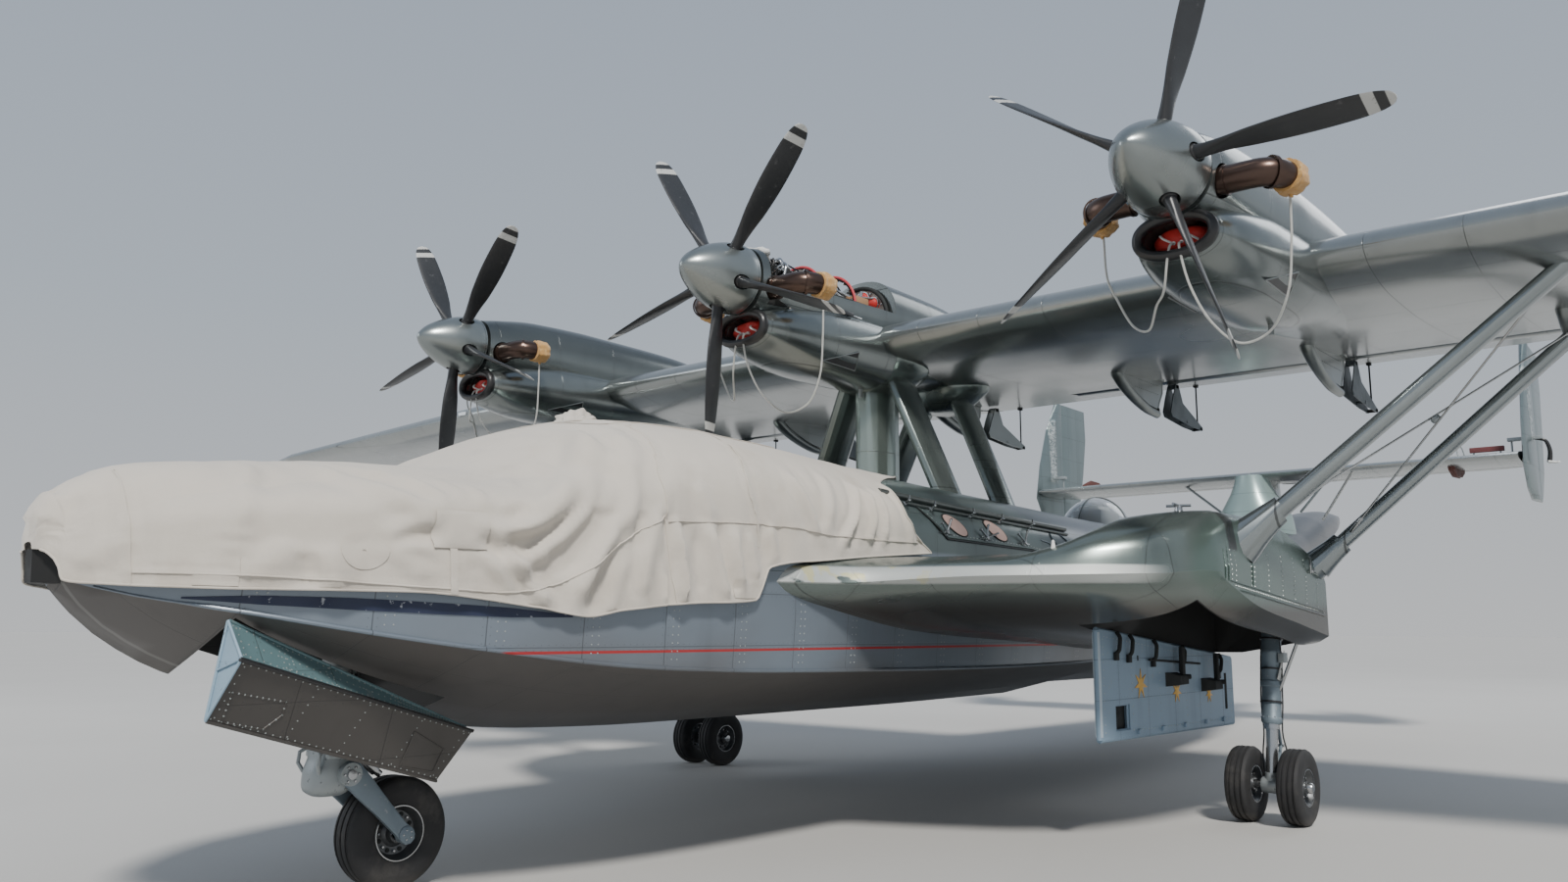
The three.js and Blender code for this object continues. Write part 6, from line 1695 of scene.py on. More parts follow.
def fin_material():
    m = silver("fin_silver", (0.20, 0.25, 0.255), 0.28, 0.75)
    weather(m, 0.10, 1.2)
    m.panel(m.z, m.y, 0.42, 0.1, rivet=0.045)
    m.panel(m.y, m.z, 0.36, 0.16, rivet=0.045)
    crumple = m.m("MULTIPLY", m.m("MULTIPLY", m.s(m.y, 6.78, 6.84), m.s(m.y, 7.08, 7.02)), m.m("MULTIPLY", m.s(m.z, 4.2, 4.3), m.s(m.z, 5.45, 5.35)))
    n = m.noise(9.0, 4.0, 0.7, stretch=(1, 1, 1.6), dist=1.5)
    m.mixc(m.m("MULTIPLY", crumple, m.s(n, .42, .60)), (0.62, 0.66, 0.65))
    m.bump(m.m("MULTIPLY", crumple, n), 0.03)
    return m.done()


FIN_M = fin_material()


def cabane_material():
    m = silver("cabane_silver", (0.20, 0.235, 0.225), 0.24, 0.8)
    weather(m, 0.10, 1.4)
    band = m.m("ABSOLUTE", m.m("SUBTRACT", m.z, 2.82))
    m.mixc(m.m("MULTIPLY", m.s(band, .006, .003), .7), (.03, .03, .03))
    ax = m.m("ABSOLUTE", m.x)
    col = m.m("MULTIPLY", m.m("MULTIPLY", m.s(ax, .21, .17), m.s(m.z, 3.78, 3.70)), m.s(m.y, -3.3, -3.45))
    m.mixc(m.m("MULTIPLY", col, .75), (0.36, 0.43, 0.40))
    m.panel(m.z, ax, .62, .21, rivet=.04)
    return m.done()


def stab_material():
    m = silver("tail_silver", (0.34, 0.36, 0.355), 0.26, 0.82)
    weather(m, 0.10, 0.8)
    m.panel(m.x, m.y, 0.55, 0.1, rivet=0.045)
    m.panel(m.y, m.x, 0.50, 0.2, rivet=0.045)
    return m.done()


CAB, STAB_M = cabane_material(), stab_material()
for n in ("cabane_front", "cabane_rear"):
    keep(n, CAB, 38)
for n in ("strut_front_port", "strut_front_stbd", "strut_rear_port", "strut_rear_stbd"):
    keep(n, STRUT, 38)
for n in ("tailplane", "elevator_port", "elevator_stbd"):
    keep(n, STAB_M, 34)
for n in ("fin_port", "fin_stbd", "rudder_port", "rudder_stbd"):
    keep(n, FIN_M, 30)
g = Geo().loft([[(-.045, -10.975, 1.762), (.045, -10.975, 1.762), (.045, -10.982, 1.925), (-.045, -10.982, 1.925)],
                [(-.100, -10.930, 1.760), (.100, -10.930, 1.760), (.100, -10.940, 1.930), (-.100, -10.940, 1.930)],
                [(-.160, -10.880, 1.757), (.160, -10.880, 1.757), (.160, -10.890, 1.935), (-.160, -10.890, 1.935)]])
g.build("bow_fender_pad", plain_paint("fender_black", (0.006, 0.006, 0.006), 0.6, 0.0, 0.2), "airframe", replaces="bow_fender", slot="black_rubber", angle=30)

# ------------------------------------------------------------------ surface look-ups for small fittings
def hull_x(y, z):
    """Half width of the hull side or deck at a height, and the outward normal there."""
    def half(y, z):
        _, kz, cx, cz, sx_, sz, tz = hull_rows([y])[0]
        if z <= sz:
            return float(np.interp(z, [cz, cz + .02, cz + (sz - cz) * .35, sz], [cx, cx, sx_, sx_]))
        v = min((z - sz) / (tz - sz), .9999)
        return float(sx_ * (1 - v ** (2 / .85)) ** (.85 / 2))
    x = half(y, z)
    e = .01
    n = v3((1, -(half(y + e, z) - half(y - e, z)) / (2 * e), -(half(y, z + e) - half(y, z - e)) / (2 * e)))
    return x, n / np.linalg.norm(n)


def on_hull(y, z, side=1, lift=0.0):
    x, n = hull_x(y, z)
    p = v3((x, y, z)) + n * lift
    return v3((side * p[0], p[1], p[2])), v3((side * n[0], n[1], n[2]))


def hull_line(pts, side, lift, n=None):
    out = []
    for (a, b) in zip(pts, pts[1:]):
        k = max(2, int(math.hypot(b[0] - a[0], b[1] - a[1]) / .09))
        out += [on_hull(a[0] + (b[0] - a[0]) * i / k, a[1] + (b[1] - a[1]) * i / k, side, lift)[0] for i in range(k)]
    out.append(on_hull(pts[-1][0], pts[-1][1], side, lift)[0])
    return out


def sponson_row(x):
    return np.array([np.interp(x, sx, sp_rows[:, i]) for i in range(8)])


def in_sponson(x, y, z):
    yf, yb, zn, zt, zbf, zba, tt, tf = sponson_row(x)
    q = (y - yf) / (yb - yf)
    if not 0 < q < 1:
        return False
    hi = float(np.interp(q, [0, .02, .08, .22, .55, .85, 1], [zn, zn + .45 * (zt - zn), zn + .75 * (zt - zn), zt, zt, tt + .45 * (zt - tt), tt]))
    lo = float(np.interp(q, [0, .02, .1, .3, .7, .9, 1], [zn, zn - .28 * (zn - zbf), zn - .62 * (zn - zbf), zbf + (zba - zbf) * .3, zbf + (zba - zbf) * .7, zbf + (zba - zbf) * .9, tf]))
    return lo < z < hi


def sponson_top(x, y):
    z = 2.45
    while z > 1.6 and not in_sponson(x, y, z):
        z -= .004
    return z


def sponson_out(y, z):
    """Outermost point of the sponson at a place on its side view."""
    x = 3.652
    while x > 2.2 and not in_sponson(x, y, z):
        x -= .004
    return x


# ------------------------------------------------------------------ hull fittings
NAVY_CHIP = plain_paint("navy_strip_worn", (0.018, 0.026, 0.060), 0.5, 0.1, 0.2, chips=(0.45, 0.47, 0.50))
for side, sgn in (("port", 1), ("stbd", -1)):
    g = Geo()
    # spray rail along the chine
    ys_ = np.concatenate([np.linspace(-10.78, -1.62, 70), np.linspace(-1.56, 3.58, 34)])
    line = [(sgn * (r[2] + .004), r[0], r[3] + .006) for r in hull_rows(ys_)]
    g.tube(line[:70], [.006] * 3 + [.013] * 64 + [.008] * 3, 8, 0)
    g.tube(line[70:], .013, 8, 0)
    # lap strip and rivets below the sheer
    g.tube(hull_line([(-10.55, 1.93), (-9.6, 1.90), (-8.2, 1.92), (-6.4, 1.93)], sgn, .001), .0045, 6, 0)
    for y0 in np.arange(-10.2, -2.0, .58):
        for dy in (-.022, .022):
            k = hull_rows([y0])[0]
            z0, z1 = k[3] + .06, min(k[5], 2.1)
            m_ = int((z1 - z0) / .048)
            for i in range(m_ + 1):
                p, n = on_hull(y0 + dy, z0 + (z1 - z0) * i / m_, sgn)
                rivet(g, p, n, .0055, .0022, 1)
    g.build(f"hull_rails_{side}", [HULL_PAINT, RIVET], "airframe")
    # dark painted strip near the bow
    a = [(-10.50, 1.690), (-10.2, 1.682), (-9.8, 1.668), (-9.4, 1.650), (-9.0, 1.632), (-8.62, 1.615)]
    w_ = [.004, .022, .030, .030, .026, .006]
    v, f = [], []
    yy = np.linspace(-10.50, -8.62, 48)
    for i, y in enumerate(yy):
        zc = float(np.interp(y, [q[0] for q in a], [q[1] for q in a])); w0 = float(np.interp(y, [q[0] for q in a], w_))
        for dz, l in ((-w0, .0), (-w0, .006), (w0, .006), (w0, .0)):
            v.append(on_hull(y, zc + dz, sgn, l)[0])
    for i in range(len(yy) - 1):
        for j in range(3):
            f.append((4 * i + j, 4 * i + j + 1, 4 * i + 5 + j, 4 * i + 4 + j))
        f.append((4 * i + 3, 4 * i, 4 * i + 4, 4 * i + 7))
    f += [(0, 1, 2, 3), tuple(4 * (len(yy) - 1) + j for j in (3, 2, 1, 0))]
    Geo().add(v, f).build(f"bow_strip_{side}", NAVY_CHIP, "airframe")

DECK = plain_paint("deck_green_grey", (0.088, 0.118, 0.112), 0.34, 0.25, 0.14, chips=(0.22, 0.25, 0.24), Coat_Weight=0.3, Coat_Roughness=0.2)
DECK_EDGE = silver("deck_edge_metal", (0.13, 0.145, 0.14), 0.3, 0.7)
weather(DECK_EDGE, 0.12, 1.2)
DECK_EDGE = DECK_EDGE.done()
for side, sgn in (("port", 1), ("stbd", -1)):
    g = Geo()
    # raised hatch panel with a dark gap line round it
    corner = [(-5.29, 2.500), (-4.909, 2.262), (-3.536, 2.240), (-3.280, 2.210)]
    g.tube(hull_line(corner, sgn, .003), .0075, 8, 1)
    g.tube(hull_line([(y, z + .016) for y, z in corner], sgn, .004), .006, 8, 0)
    # deck-edge rolled rails
    g.tube(hull_line([(-5.72, 2.575), (-4.8, 2.535), (-3.9, 2.505), (-2.75, 2.475)], sgn, .014), .026, 12, 2)
    g.tube(hull_line([(-5.72, 2.520), (-4.8, 2.490), (-3.9, 2.462), (-2.75, 2.430)], sgn, .008), .013, 10, 2)
    for y, z in ((-5.45, 2.50), (-5.096, 2.485), (-4.507, 2.470), (-4.042, 2.455), (-3.5, 2.445)):
        p, n = on_hull(y, z, sgn, .010)
        g.lathe([(-.01, .016), (.012, .016), (.016, .010), (.05, .008), (.058, .014), (.066, .012), (.068, 0)], p, n, 14, 3)
        q, _ = on_hull(y + .055, z + .040, sgn, .058)
        g.bar(p + n * .05, q, .0075, None, 8, 3)
    # oval blanked windows
    for cy, cz in ((-4.770, 2.382), (-4.125, 2.378)):
        for rr, mi, l0, l1 in ((1.0, 4, -.004, .0035), (.90, 5, -.004, .0060)):
            v, k = [], 36
            for l in (l0, l1):
                for i in range(k):
                    t = 2 * math.pi * i / k
                    u, w = .190 * rr * math.cos(t), .062 * rr * math.sin(t)
                    v.append(on_hull(cy + u * .935 + w * .355, cz - u * .355 + w * .935, sgn, l)[0])
            v.append(on_hull(cy, cz, sgn, l1 + .001)[0])
            f = [(i, (i + 1) % k, k + (i + 1) % k, k + i) for i in range(k)] + [(k + i, k + (i + 1) % k, 2 * k) for i in range(k)] + [tuple(range(k))[::-1]]
            g.add(v, f, mi)
    # latch handles
    for base, arms in (((-4.936, 2.316), [(-4.864, 2.412), (-5.016, 2.379)]), ((-4.320, 2.307), [(-4.279, 2.405), (-4.424, 2.363), (-4.154, 2.349)]),
                       ((-3.677, 2.303), [(-3.597, 2.400), (-3.790, 2.363)])):
        p, n = on_hull(*base, sgn, .0)
        g.lathe([(-.006, .028), (.006, .028), (.010, .018), (.030, .016), (.034, 0)], p, n, 18, 3)
        for a_ in arms:
            q, nq = on_hull(*a_, sgn, .030)
            g.bar(p + n * .020, q, .0080, None, 10, 3)
            g.lathe([(-.012, .0), (-.012, .010), (.010, .010), (.012, 0)], q, nq, 10, 3)
        g.tube(hull_line([(base[0] - .10, base[1] - .005), (base[0] + .10, base[1] - .012)], sgn, .003), .005, 6, 3)
    # step recess in the blue deck
    for cy, cz, ru, rv in ((-2.93, 2.352, .190, .070),):
        pts = [on_hull(cy + ru * math.cos(t) * .93 + rv * math.sin(t) * .36, cz - ru * math.cos(t) * .33 + rv * math.sin(t) * .93, sgn, .001)[0] for t in np.linspace(0, 2 * math.pi, 41)[:-1]]
        g.tube(pts + pts[:1], .007, 6, 6, caps=(False, False))
    g.tube(hull_line([(-3.34, 2.345), (-3.20, 2.330), (-2.96, 2.235)], sgn, .001), .006, 6, 6)
    # rivets round the hatch
    for a_, b_ in zip(corner, corner[1:]):
        L_ = math.hypot(b_[0] - a_[0], b_[1] - a_[1]); k = int(L_ / .05)
        for i in range(k + 1):
            p, n = on_hull(a_[0] + (b_[0] - a_[0]) * i / k, a_[1] + (b_[1] - a_[1]) * i / k + .038, sgn)
            rivet(g, p, n, .005, .002, 7)
    g.build(f"deck_fittings_{side}", [DECK, BLACK, DECK_EDGE, STEEL, DARK, PINK, BLUEGREY, RIVET], "airframe")

# ------------------------------------------------------------------ dome on the deck, with its ring and the pale box under it
DC = v3((0, .77, 2.70))
d = Geo()
n_ = 56
rings_ = []
for k_, s_ in ((1.0, 1), (.975, -1)):
    rr_ = [[DC + v3((.430 * k_ * math.cos(a) * math.cos(t), .4945 * k_ * math.cos(a) * math.sin(t), .470 * k_ * math.sin(a))) for t in np.linspace(0, 2 * math.pi, n_ + 1)[:-1]]
           for a in np.linspace(-.05, math.pi / 2 - .03, 18)]
    rings_ += rr_ if s_ > 0 else rr_[::-1]
d.loft(rings_, caps=(False, False), closed=True)
d.build("dome_shell", GLASS, "airframe", replaces="deck_dome", slot="clear", angle=50)
d = Geo()
for t0 in (0, math.pi / 2):
    pts = [DC + v3((.434 * math.cos(a) * math.cos(t0), .4985 * math.cos(a) * math.sin(t0), .474 * math.sin(a))) for a in np.linspace(0, math.pi, 40)]
    d.tube(pts, .008, 8)
v, f = [], []
for t in np.linspace(0, 2 * math.pi, 65)[:-1]:
    u = v3((math.cos(t), math.sin(t), 0))
    for r_, h_ in ((-.02, .030), (.018, .030), (.030, .012), (.030, -.02), (-.02, -.02)):
        v.append(DC + v3(((.430 + r_) * u[0], (.4945 + r_) * u[1], h_)))
for k in range(64):
    for i in range(5):
        f.append((5 * k + i, 5 * k + (i + 1) % 5, 5 * ((k + 1) % 64) + (i + 1) % 5, 5 * ((k + 1) % 64) + i))
d.add(v, f)
for k in range(40):
    t = 2 * math.pi * k / 40
    rivet(d, DC + v3((.440 * math.cos(t), .505 * math.sin(t), .0305)), (0, 0, 1), .006, .003)
d.build("dome_frame", DECK_EDGE, "airframe")
d = Geo()
d.box((-.17, .50, 2.62), (.20, 1.02, 3.00), bevel=.02)
d.box((-.13, .58, 2.99), (.12, .92, 3.06), bevel=.015)
d.build("dome_inner_box", WHITE, "airframe")

# ------------------------------------------------------------------ sponson fittings
for side, sgn in (("port", 1), ("stbd", -1)):
    g = Geo()
    P = lambda x, y, z: (sgn * x, y, z)
    # frame strips on the outer face
    def face(y, z, lift=.003):
        return P(sponson_out(y, z) + lift, y, z)
    def strip(a, b, r, mi, lift=.002, n=26):
        g.tube([face(a[0] + (b[0] - a[0]) * i / n, a[1] + (b[1] - a[1]) * i / n, lift) for i in range(n + 1)], r, 6, mi)
    def rivrow(a, b, pitch=.036, mi=2):
        L_ = math.hypot(b[0] - a[0], b[1] - a[1]); k = int(L_ / pitch)
        for i in range(k + 1):
            y, z = a[0] + (b[0] - a[0]) * i / k, a[1] + (b[1] - a[1]) * i / k
            rivet(g, face(y, z, .001), (sgn, 0, 0), .0055, .0025, mi)
    strip((-4.86, 1.87), (-4.83, 2.10), .006, 0)
    strip((-4.80, 1.87), (-4.77, 2.12), .004, 0)
    strip((-4.84, 1.845), (-2.70, 1.665), .008, 0)
    strip((-4.76, 1.885), (-2.74, 1.705), .004, 0)
    for y in (-4.74, -4.66, -4.36, -4.30, -4.0, -3.7, -3.42, -3.14, -2.86):
        rivrow((y, 1.90 - (y + 4.8) * .085), (y + .02, min(2.10, 2.16 + (y + 4.8) * -.03)), .034)
    rivrow((-4.78, 1.862), (-2.72, 1.688), .034)
    strip((-4.33, 1.86), (-4.31, 2.12), .005, 0)
    strip((-3.05, 2.02), (-2.72, 1.985), .007, 0)
    g.lathe([(-.01, .022), (.012, .022), (.022, .012), (.03, .012), (.032, 0)], face(-2.957, 2.02), (sgn, 0, 0), 16, 1)
    g.tube([face(-3.02, 2.00, .012), face(-3.05, 2.06, .030), face(-3.0, 2.12, .030), face(-2.96, 2.13, .012)], .008, 8, 1)
    # small cone light on the top surface
    zc_ = sponson_top(2.80, -5.70)
    g.lathe([(-.02, .020), (0, .020), (.006, .017), (.062, .010), (.070, 0)], P(2.80, -5.70, zc_), (0, 0, 1), 18, 3)
    # cleat on the top of the bulge
    zc_ = sponson_top(3.30, -4.75)
    c_ = P(3.30, -4.75, zc_)
    g.lathe([(-.01, .050), (.008, .050), (.014, .030), (.050, .024), (.054, 0)], c_, (0, 0, 1), 20, 1)
    g.tube([P(3.30, -4.85, zc_ + .060), P(3.30, -4.75, zc_ + .050), P(3.30, -4.65, zc_ + .062)], [.010, .014, .010], 10, 1)
    g.tube([P(3.22, -4.78, zc_ + .052), P(3.38, -4.72, zc_ + .052)], .010, 10, 1)
    # pale streak ahead of it: a painted highlight on the top of the bulge
    v, f = [], []
    N = 30
    for i in range(N + 1):
        t = i / N
        x, y = 3.115 + .274 * t, -5.59 + .255 * t
        w_ = .008 + .010 * math.sin(t * math.pi) + (.014 if t > .8 else 0) + .004 * math.sin(t * 23)
        for d_ in (-w_, w_):
            xx, yy2 = x - d_ * .4, y + d_
            v.append(P(xx, yy2, sponson_top(xx, yy2) + .0035))
    for i in range(N):
        f.append((2 * i, 2 * i + 1, 2 * i + 3, 2 * i + 2))
    nb = len(v)
    v += [(a, b, c - .01) for a, b, c in v]
    f += [(nb + 2 * i + 2, nb + 2 * i + 3, nb + 2 * i + 1, nb + 2 * i) for i in range(N)]
    f += [(2 * i, 2 * i + 2, nb + 2 * i + 2, nb + 2 * i) for i in range(N)] + [(2 * i + 3, 2 * i + 1, nb + 2 * i + 1, nb + 2 * i + 3) for i in range(N)]
    f += [(1, 0, nb, nb + 1), (2 * N, 2 * N + 1, nb + 2 * N + 1, nb + 2 * N)]
    g.add(v, f, 4)
    g.build(f"sponson_fittings_{side}", [SPON, STEEL, RIVET, WHITE, plain_paint(f"painted_highlight_{side}", (.50, .54, .52), .5, .1, .1)], "airframe")

# ------------------------------------------------------------------ strut collars, crossed wires and tie rod
for side, sgn in (("port", 1), ("stbd", -1)):
    g = Geo()
    P = lambda p: v3((sgn * p[0], p[1], p[2]))
    F0, F1 = P((3.56, -4.31, 2.16)), P((5.74, -3.68, 4.09))
    R0, R1 = P((3.59, -2.69, 2.06)), P((5.74, -1.96, 4.12))
    a0, a1 = F0 + (F1 - F0) * .10, R0 + (R1 - R0) * .93
    b0, b1 = R0 + (R1 - R0) * .10, F0 + (F1 - F0) * .93
    g.bar(a0, a1, .0085, None, 10, 1)
    g.bar(b0, b1, .0085, None, 10, 1)
    # where they pass closest
    u, w = a1 - a0, b1 - b0
    M_ = np.array([[u @ u, -(u @ w)], [u @ w, -(w @ w)]])
    s_, t_ = np.linalg.solve(M_, [(b0 - a0) @ u, (b0 - a0) @ w])
    c_ = (a0 + u * s_ + b0 + w * t_) / 2
    nn = np.cross(u, w); nn /= np.linalg.norm(nn)
    g.lathe([(-.020, 0), (-.020, .024), (-.012, .036), (.012, .036), (.020, .024), (.020, 0)], c_, nn, 24, 2)
    for p, q in ((a0, a1), (b0, b1)):
        ax = (q - p) / np.linalg.norm(q - p)
        for c2 in (p + ax * .20, q - ax * .20):
            g.lathe([(-.09, .0085), (-.075, .016), (.075, .016), (.09, .0085)], c2, ax, 12, 1)
    ax = (F1 - F0) / np.linalg.norm(F1 - F0)
    g.tube([F0 + ax * t for t in (-.02, .05, .12, .20, .28, .36)], [.165, .150, .130, .112, .099, .0925], 28, 4)
    ax = (R1 - R0) / np.linalg.norm(R1 - R0)
    g.tube([R0 + ax * t for t in (.02, .08, .15, .22, .30)], [.130, .118, .106, .097, .0915], 28, 4)
    # thin drain tube behind the front strut
    g.tube([P((3.66, -2.60, 2.46)), P((3.74, -1.95, 2.92))], .011, 8, 3)
    g.build(f"strut_rigging_{side}", [DARK, STEEL, CAST, WHITE, STRUT], "airframe")

# ------------------------------------------------------------------ flap hinge brackets under the wing
BRACKET = silver("bracket_silver", (0.23, 0.25, 0.245), 0.28, 0.78)
weather(BRACKET, 0.12, 1.5)
BRACKET = BRACKET.done()


ARM_GREY = plain_paint("flap_arm_grey", (0.085, 0.105, 0.115), 0.40, 0.4, 0.10)


def bracket_fixed(x0):
    g = Geo()
    x = x0
    # blade behind the leading fairing
    prof = [(-2.36, 4.16), (-1.26, 4.14), (-1.27, 3.98), (-1.36, 3.86), (-1.42, 3.785), (-1.62, 3.80), (-1.84, 3.86), (-2.06, 3.94), (-2.24, 4.04)]
    g.loft([[(x - .022, y, z) for y, z in prof], [(x + .022, y, z) for y, z in prof]], 0)
    nose = smooth_line([(x, -2.375, 4.13), (x, -2.33, 4.04), (x, -2.22, 3.955), (x, -2.05, 3.875), (x, -1.84, 3.805), (x, -1.62, 3.755), (x, -1.38, 3.735)], 34)
    g.tube(nose, [.052] * 4 + list(np.linspace(.062, .040, 30)), 18, 0)
    g.tube([(x, -1.27, 4.12), (x, -1.28, 3.97), (x, -1.37, 3.85), (x, -1.41, 3.77)], .027, 10, 0)
    g.loft([[(x - .10, -2.42, 4.145), (x + .10, -2.42, 4.145), (x + .10, -2.42, 4.17), (x - .10, -2.42, 4.17)],
            [(x - .06, -1.30, 4.075), (x + .06, -1.30, 4.075), (x + .06, -1.30, 4.10), (x - .06, -1.30, 4.10)]], 0)
    for z in (4.03, 3.94):
        for s_ in (-1, 1):
            rivets(g, (x + s_ * .022, -2.16 if z > 4 else -1.95, z), (x + s_ * .022, -1.40, z), (s_, 0, 0), .05, .005, mi=1)
    g.bar((x - .03, -1.40, 3.775), (x + .03, -1.40, 3.775), .022, None, 16, 1)
    return g


def bracket_arm(x0):
    g = Geo()
    for s_ in (-1, 1):
        xa, xb = x0 + s_ * .036, x0 + s_ * .046
        prof = [(-.975, 4.100), (-.90, 4.118), (-.80, 3.93), (-.29, 3.737), (-.29, 3.698), (-.62, 3.706), (-1.10, 3.752), (-1.13, 3.80), (-1.06, 3.95)]
        g.loft([[(xa, y, z) for y, z in prof], [(xb, y, z) for y, z in prof]], 0)
    g.box((x0 - .046, -.965, 4.07), (x0 + .046, -.90, 4.115), 0)
    g.bar((x0 - .055, -.32, 3.715), (x0 + .055, -.32, 3.715), .018, None, 14, 1)
    g.bar((x0 - .050, -.70, 3.745), (x0 + .050, -.70, 3.745), .016, None, 14, 0)
    g.bar((x0, -.305, 3.715), (x0, -.305, 4.30), .0085, None, 10, 1)
    g.box((x0 - .020, -.335, 4.185), (x0 + .020, -.275, 4.215), 1)
    g.tube([(x0, -.305, 4.30), (x0, -.40, 4.315)], .0065, 8, 1)
    return g


for side, sgn, xs_ in (("port", 1, (1.76, 3.535, 5.45)), ("stbd", -1, (-2.60, -4.36))):
    g, a = Geo(), Geo()
    for x in xs_:
        g.join(bracket_fixed(x)); a.join(bracket_arm(x))
    g.build(f"flap_brackets_{side}", [BRACKET, DARK], "airframe")
    a.build(f"flap_arms_{side}", [ARM_GREY, DARK], f"flaps_{side}")
g = bracket_fixed(-.42)
g.join(bracket_arm(-.42))
g.build("flap_bracket_centre", [BRACKET, DARK], "airframe")

# ------------------------------------------------------------------ black vents on the chin fairings and slots in the wing nose, solid black blocks as painted shade in the openings
for label, dx in (("port", ENG_X), ("centre", 0.0), ("stbd", -ENG_X)):
    g = Geo()
    tri = [(.335, -5.040, 3.878), (.405, -4.741, 3.975), (.330, -4.690, 3.868)]
    for sgn in (1, -1):
        T3 = [v3((dx + sgn * a, b, c)) for a, b, c in tri]
        nn = v3((sgn * .62, .05, -.78)); nn /= np.linalg.norm(nn)
        mid = sum(T3) / len(T3)
        T3 = [mid + (p - mid) * 1.35 for p in T3]
        g.loft([[p - nn * .02 for p in T3], [p + nn * .012 for p in T3]], 0)
        for p, q in zip(T3, T3[1:] + T3[:1]):
            g.tube([p + nn * .012, q + nn * .012], .005, 6, 1)
    # drain pipe below
    g.bar((dx + .06, -4.2, 3.79), (dx + .06, -4.2, 3.70), .022, .020, 16, 1)
    g.build(f"chin_vents_{label}", [BLACK, BRACKET], "airframe")
g = Geo()
for sgn in (1, -1):
    for x in (1.50, 2.05):
        g.box((sgn * x - .075, -4.372, 4.205), (sgn * x + .075, -4.30, 4.222), 0, .003)
    g.loft([[(sgn * 6.107 - .09, -4.335, 4.20), (sgn * 6.107 + .09, -4.335, 4.20), (sgn * 6.107 + .09, -4.335, 4.25), (sgn * 6.107 - .09, -4.335, 4.25)],
            [(sgn * 6.107 - .08, -4.385, 4.205), (sgn * 6.107 + .08, -4.385, 4.205), (sgn * 6.107 + .08, -4.385, 4.245), (sgn * 6.107 - .08, -4.385, 4.245)]], 1)
g.build("wing_slots", [BLACK, STEEL], "airframe")

# ------------------------------------------------------------------ beacon
g = Geo()
g.lathe([(-.06, .050), (-.010, .050), (-.005, .046), (.030, .046), (.032, .040)], (0, -3.416, 4.790), (0, 0, 1), 28, 0)
g.lathe([(.020, .040), (.055, .041), (.080, .034), (.094, .018), (.098, 0)], (0, -3.416, 4.790), (0, 0, 1), 28, 1)
g.box((-.045, -3.745, 4.725), (.045, -3.63, 4.830), 2, .008)
LAMP = Mat("beacon_red", (0.42, 0.012, 0.03), 0.15, 0.0, Coat_Weight=0.8)
LAMP.mul(LAMP.noise(8.0, 2.0), .9, 1.1)
LAMP = LAMP.done()
g.build("top_beacon", [WHITE, LAMP, DARK], "airframe")

# ------------------------------------------------------------------ centre engine, its top cowl missing
RED_EDGE = plain_paint("red_edging", (0.50, 0.045, 0.055), 0.45, 0.0, 0.2, chips=(0.5, 0.35, 0.3))
FABRIC = plain_paint("pale_fabric", (0.52, 0.47, 0.42), 0.9, 0.0, 0.25)
CORE = plain_paint("engine_casting", (0.16, 0.155, 0.145), 0.42, 0.55, 0.35, chips=(0.32, 0.31, 0.28))
OCHRE = plain_paint("ochre_casting", (0.42, 0.24, 0.13), 0.5, 0.2, 0.3)
g = Geo()
g.lathe([(-5.74, 0), (-5.74, .20), (-5.66, .225), (-5.60, .225), (-5.58, .205), (-5.40, .185), (-5.36, .225), (-5.33, .225), (-5.30, .19), (-5.02, .185), (-4.99, .215), (-4.96, .215),
         (-4.93, .20), (-4.66, .215), (-4.62, .24), (-4.58, .24), (-4.55, .21), (-4.40, .20), (-4.40, 0)], (0, 0, 4.40), (0, 1, 0), 48, 0)
for y, r in ((-5.63, .225), (-5.345, .225), (-4.975, .215), (-4.60, .24)):
    for s_ in (-1, 1):
        bolts_round(g, (0, y + s_ * .016, 4.40), (0, s_, 0), r - .012, 28, .008, .010, 1)
rnd = random.Random(71)
for k in range(16):          # burner ribs and small bosses
    t = math.pi * (.08 + .84 * k / 15)
    c_, s_ = math.cos(t), math.sin(t)
    g.bar((.192 * c_, -5.28, 4.40 + .192 * s_), (.192 * c_, -5.04, 4.40 + .192 * s_), .010, None, 8, 1 if k % 3 else 4)
    g.lathe([(0, .018), (.030, .016), (.034, .010), (.05, .009), (.052, 0)], (.19 * c_, -4.80 + .03 * (k % 2), 4.40 + .195 * s_), (c_, 0, s_), 12, 1)
for lo_, hi_, mi in (((-.10, -5.60, 4.58), (.02, -5.40, 4.70), 0), ((.06, -5.54, 4.56), (.19, -5.38, 4.655), 2), ((-.24, -5.30, 4.44), (-.14, -5.02, 4.60), 1),
                     ((.05, -4.90, 4.56), (.17, -4.70, 4.67), 1), ((-.15, -4.94, 4.57), (-.03, -4.74, 4.69), 2), ((.15, -5.20, 4.45), (.25, -4.95, 4.56), 2),
                     ((-.08, -4.52, 4.52), (.08, -4.32, 4.66), 0), ((.10, -4.50, 4.50), (.24, -4.30, 4.60), 4)):
    g.box(lo_, hi_, mi, .012)
for k in range(8):
    x, y, z = (-.20 + .4 * rnd.random(), -5.55 + 1.2 * rnd.random(), 4.56 + .04 * rnd.random())
    g.bar((x, y, z), (x + .02, y + .02, z + .07 + .05 * rnd.random()), .020, .016, 14, rnd.choice((1, 2, 4)))
g.build("engine_core", [CORE, STEEL, DARK, BLACK, OCHRE], "airframe", angle=35)
pipes = Geo()
rnd = random.Random(19)
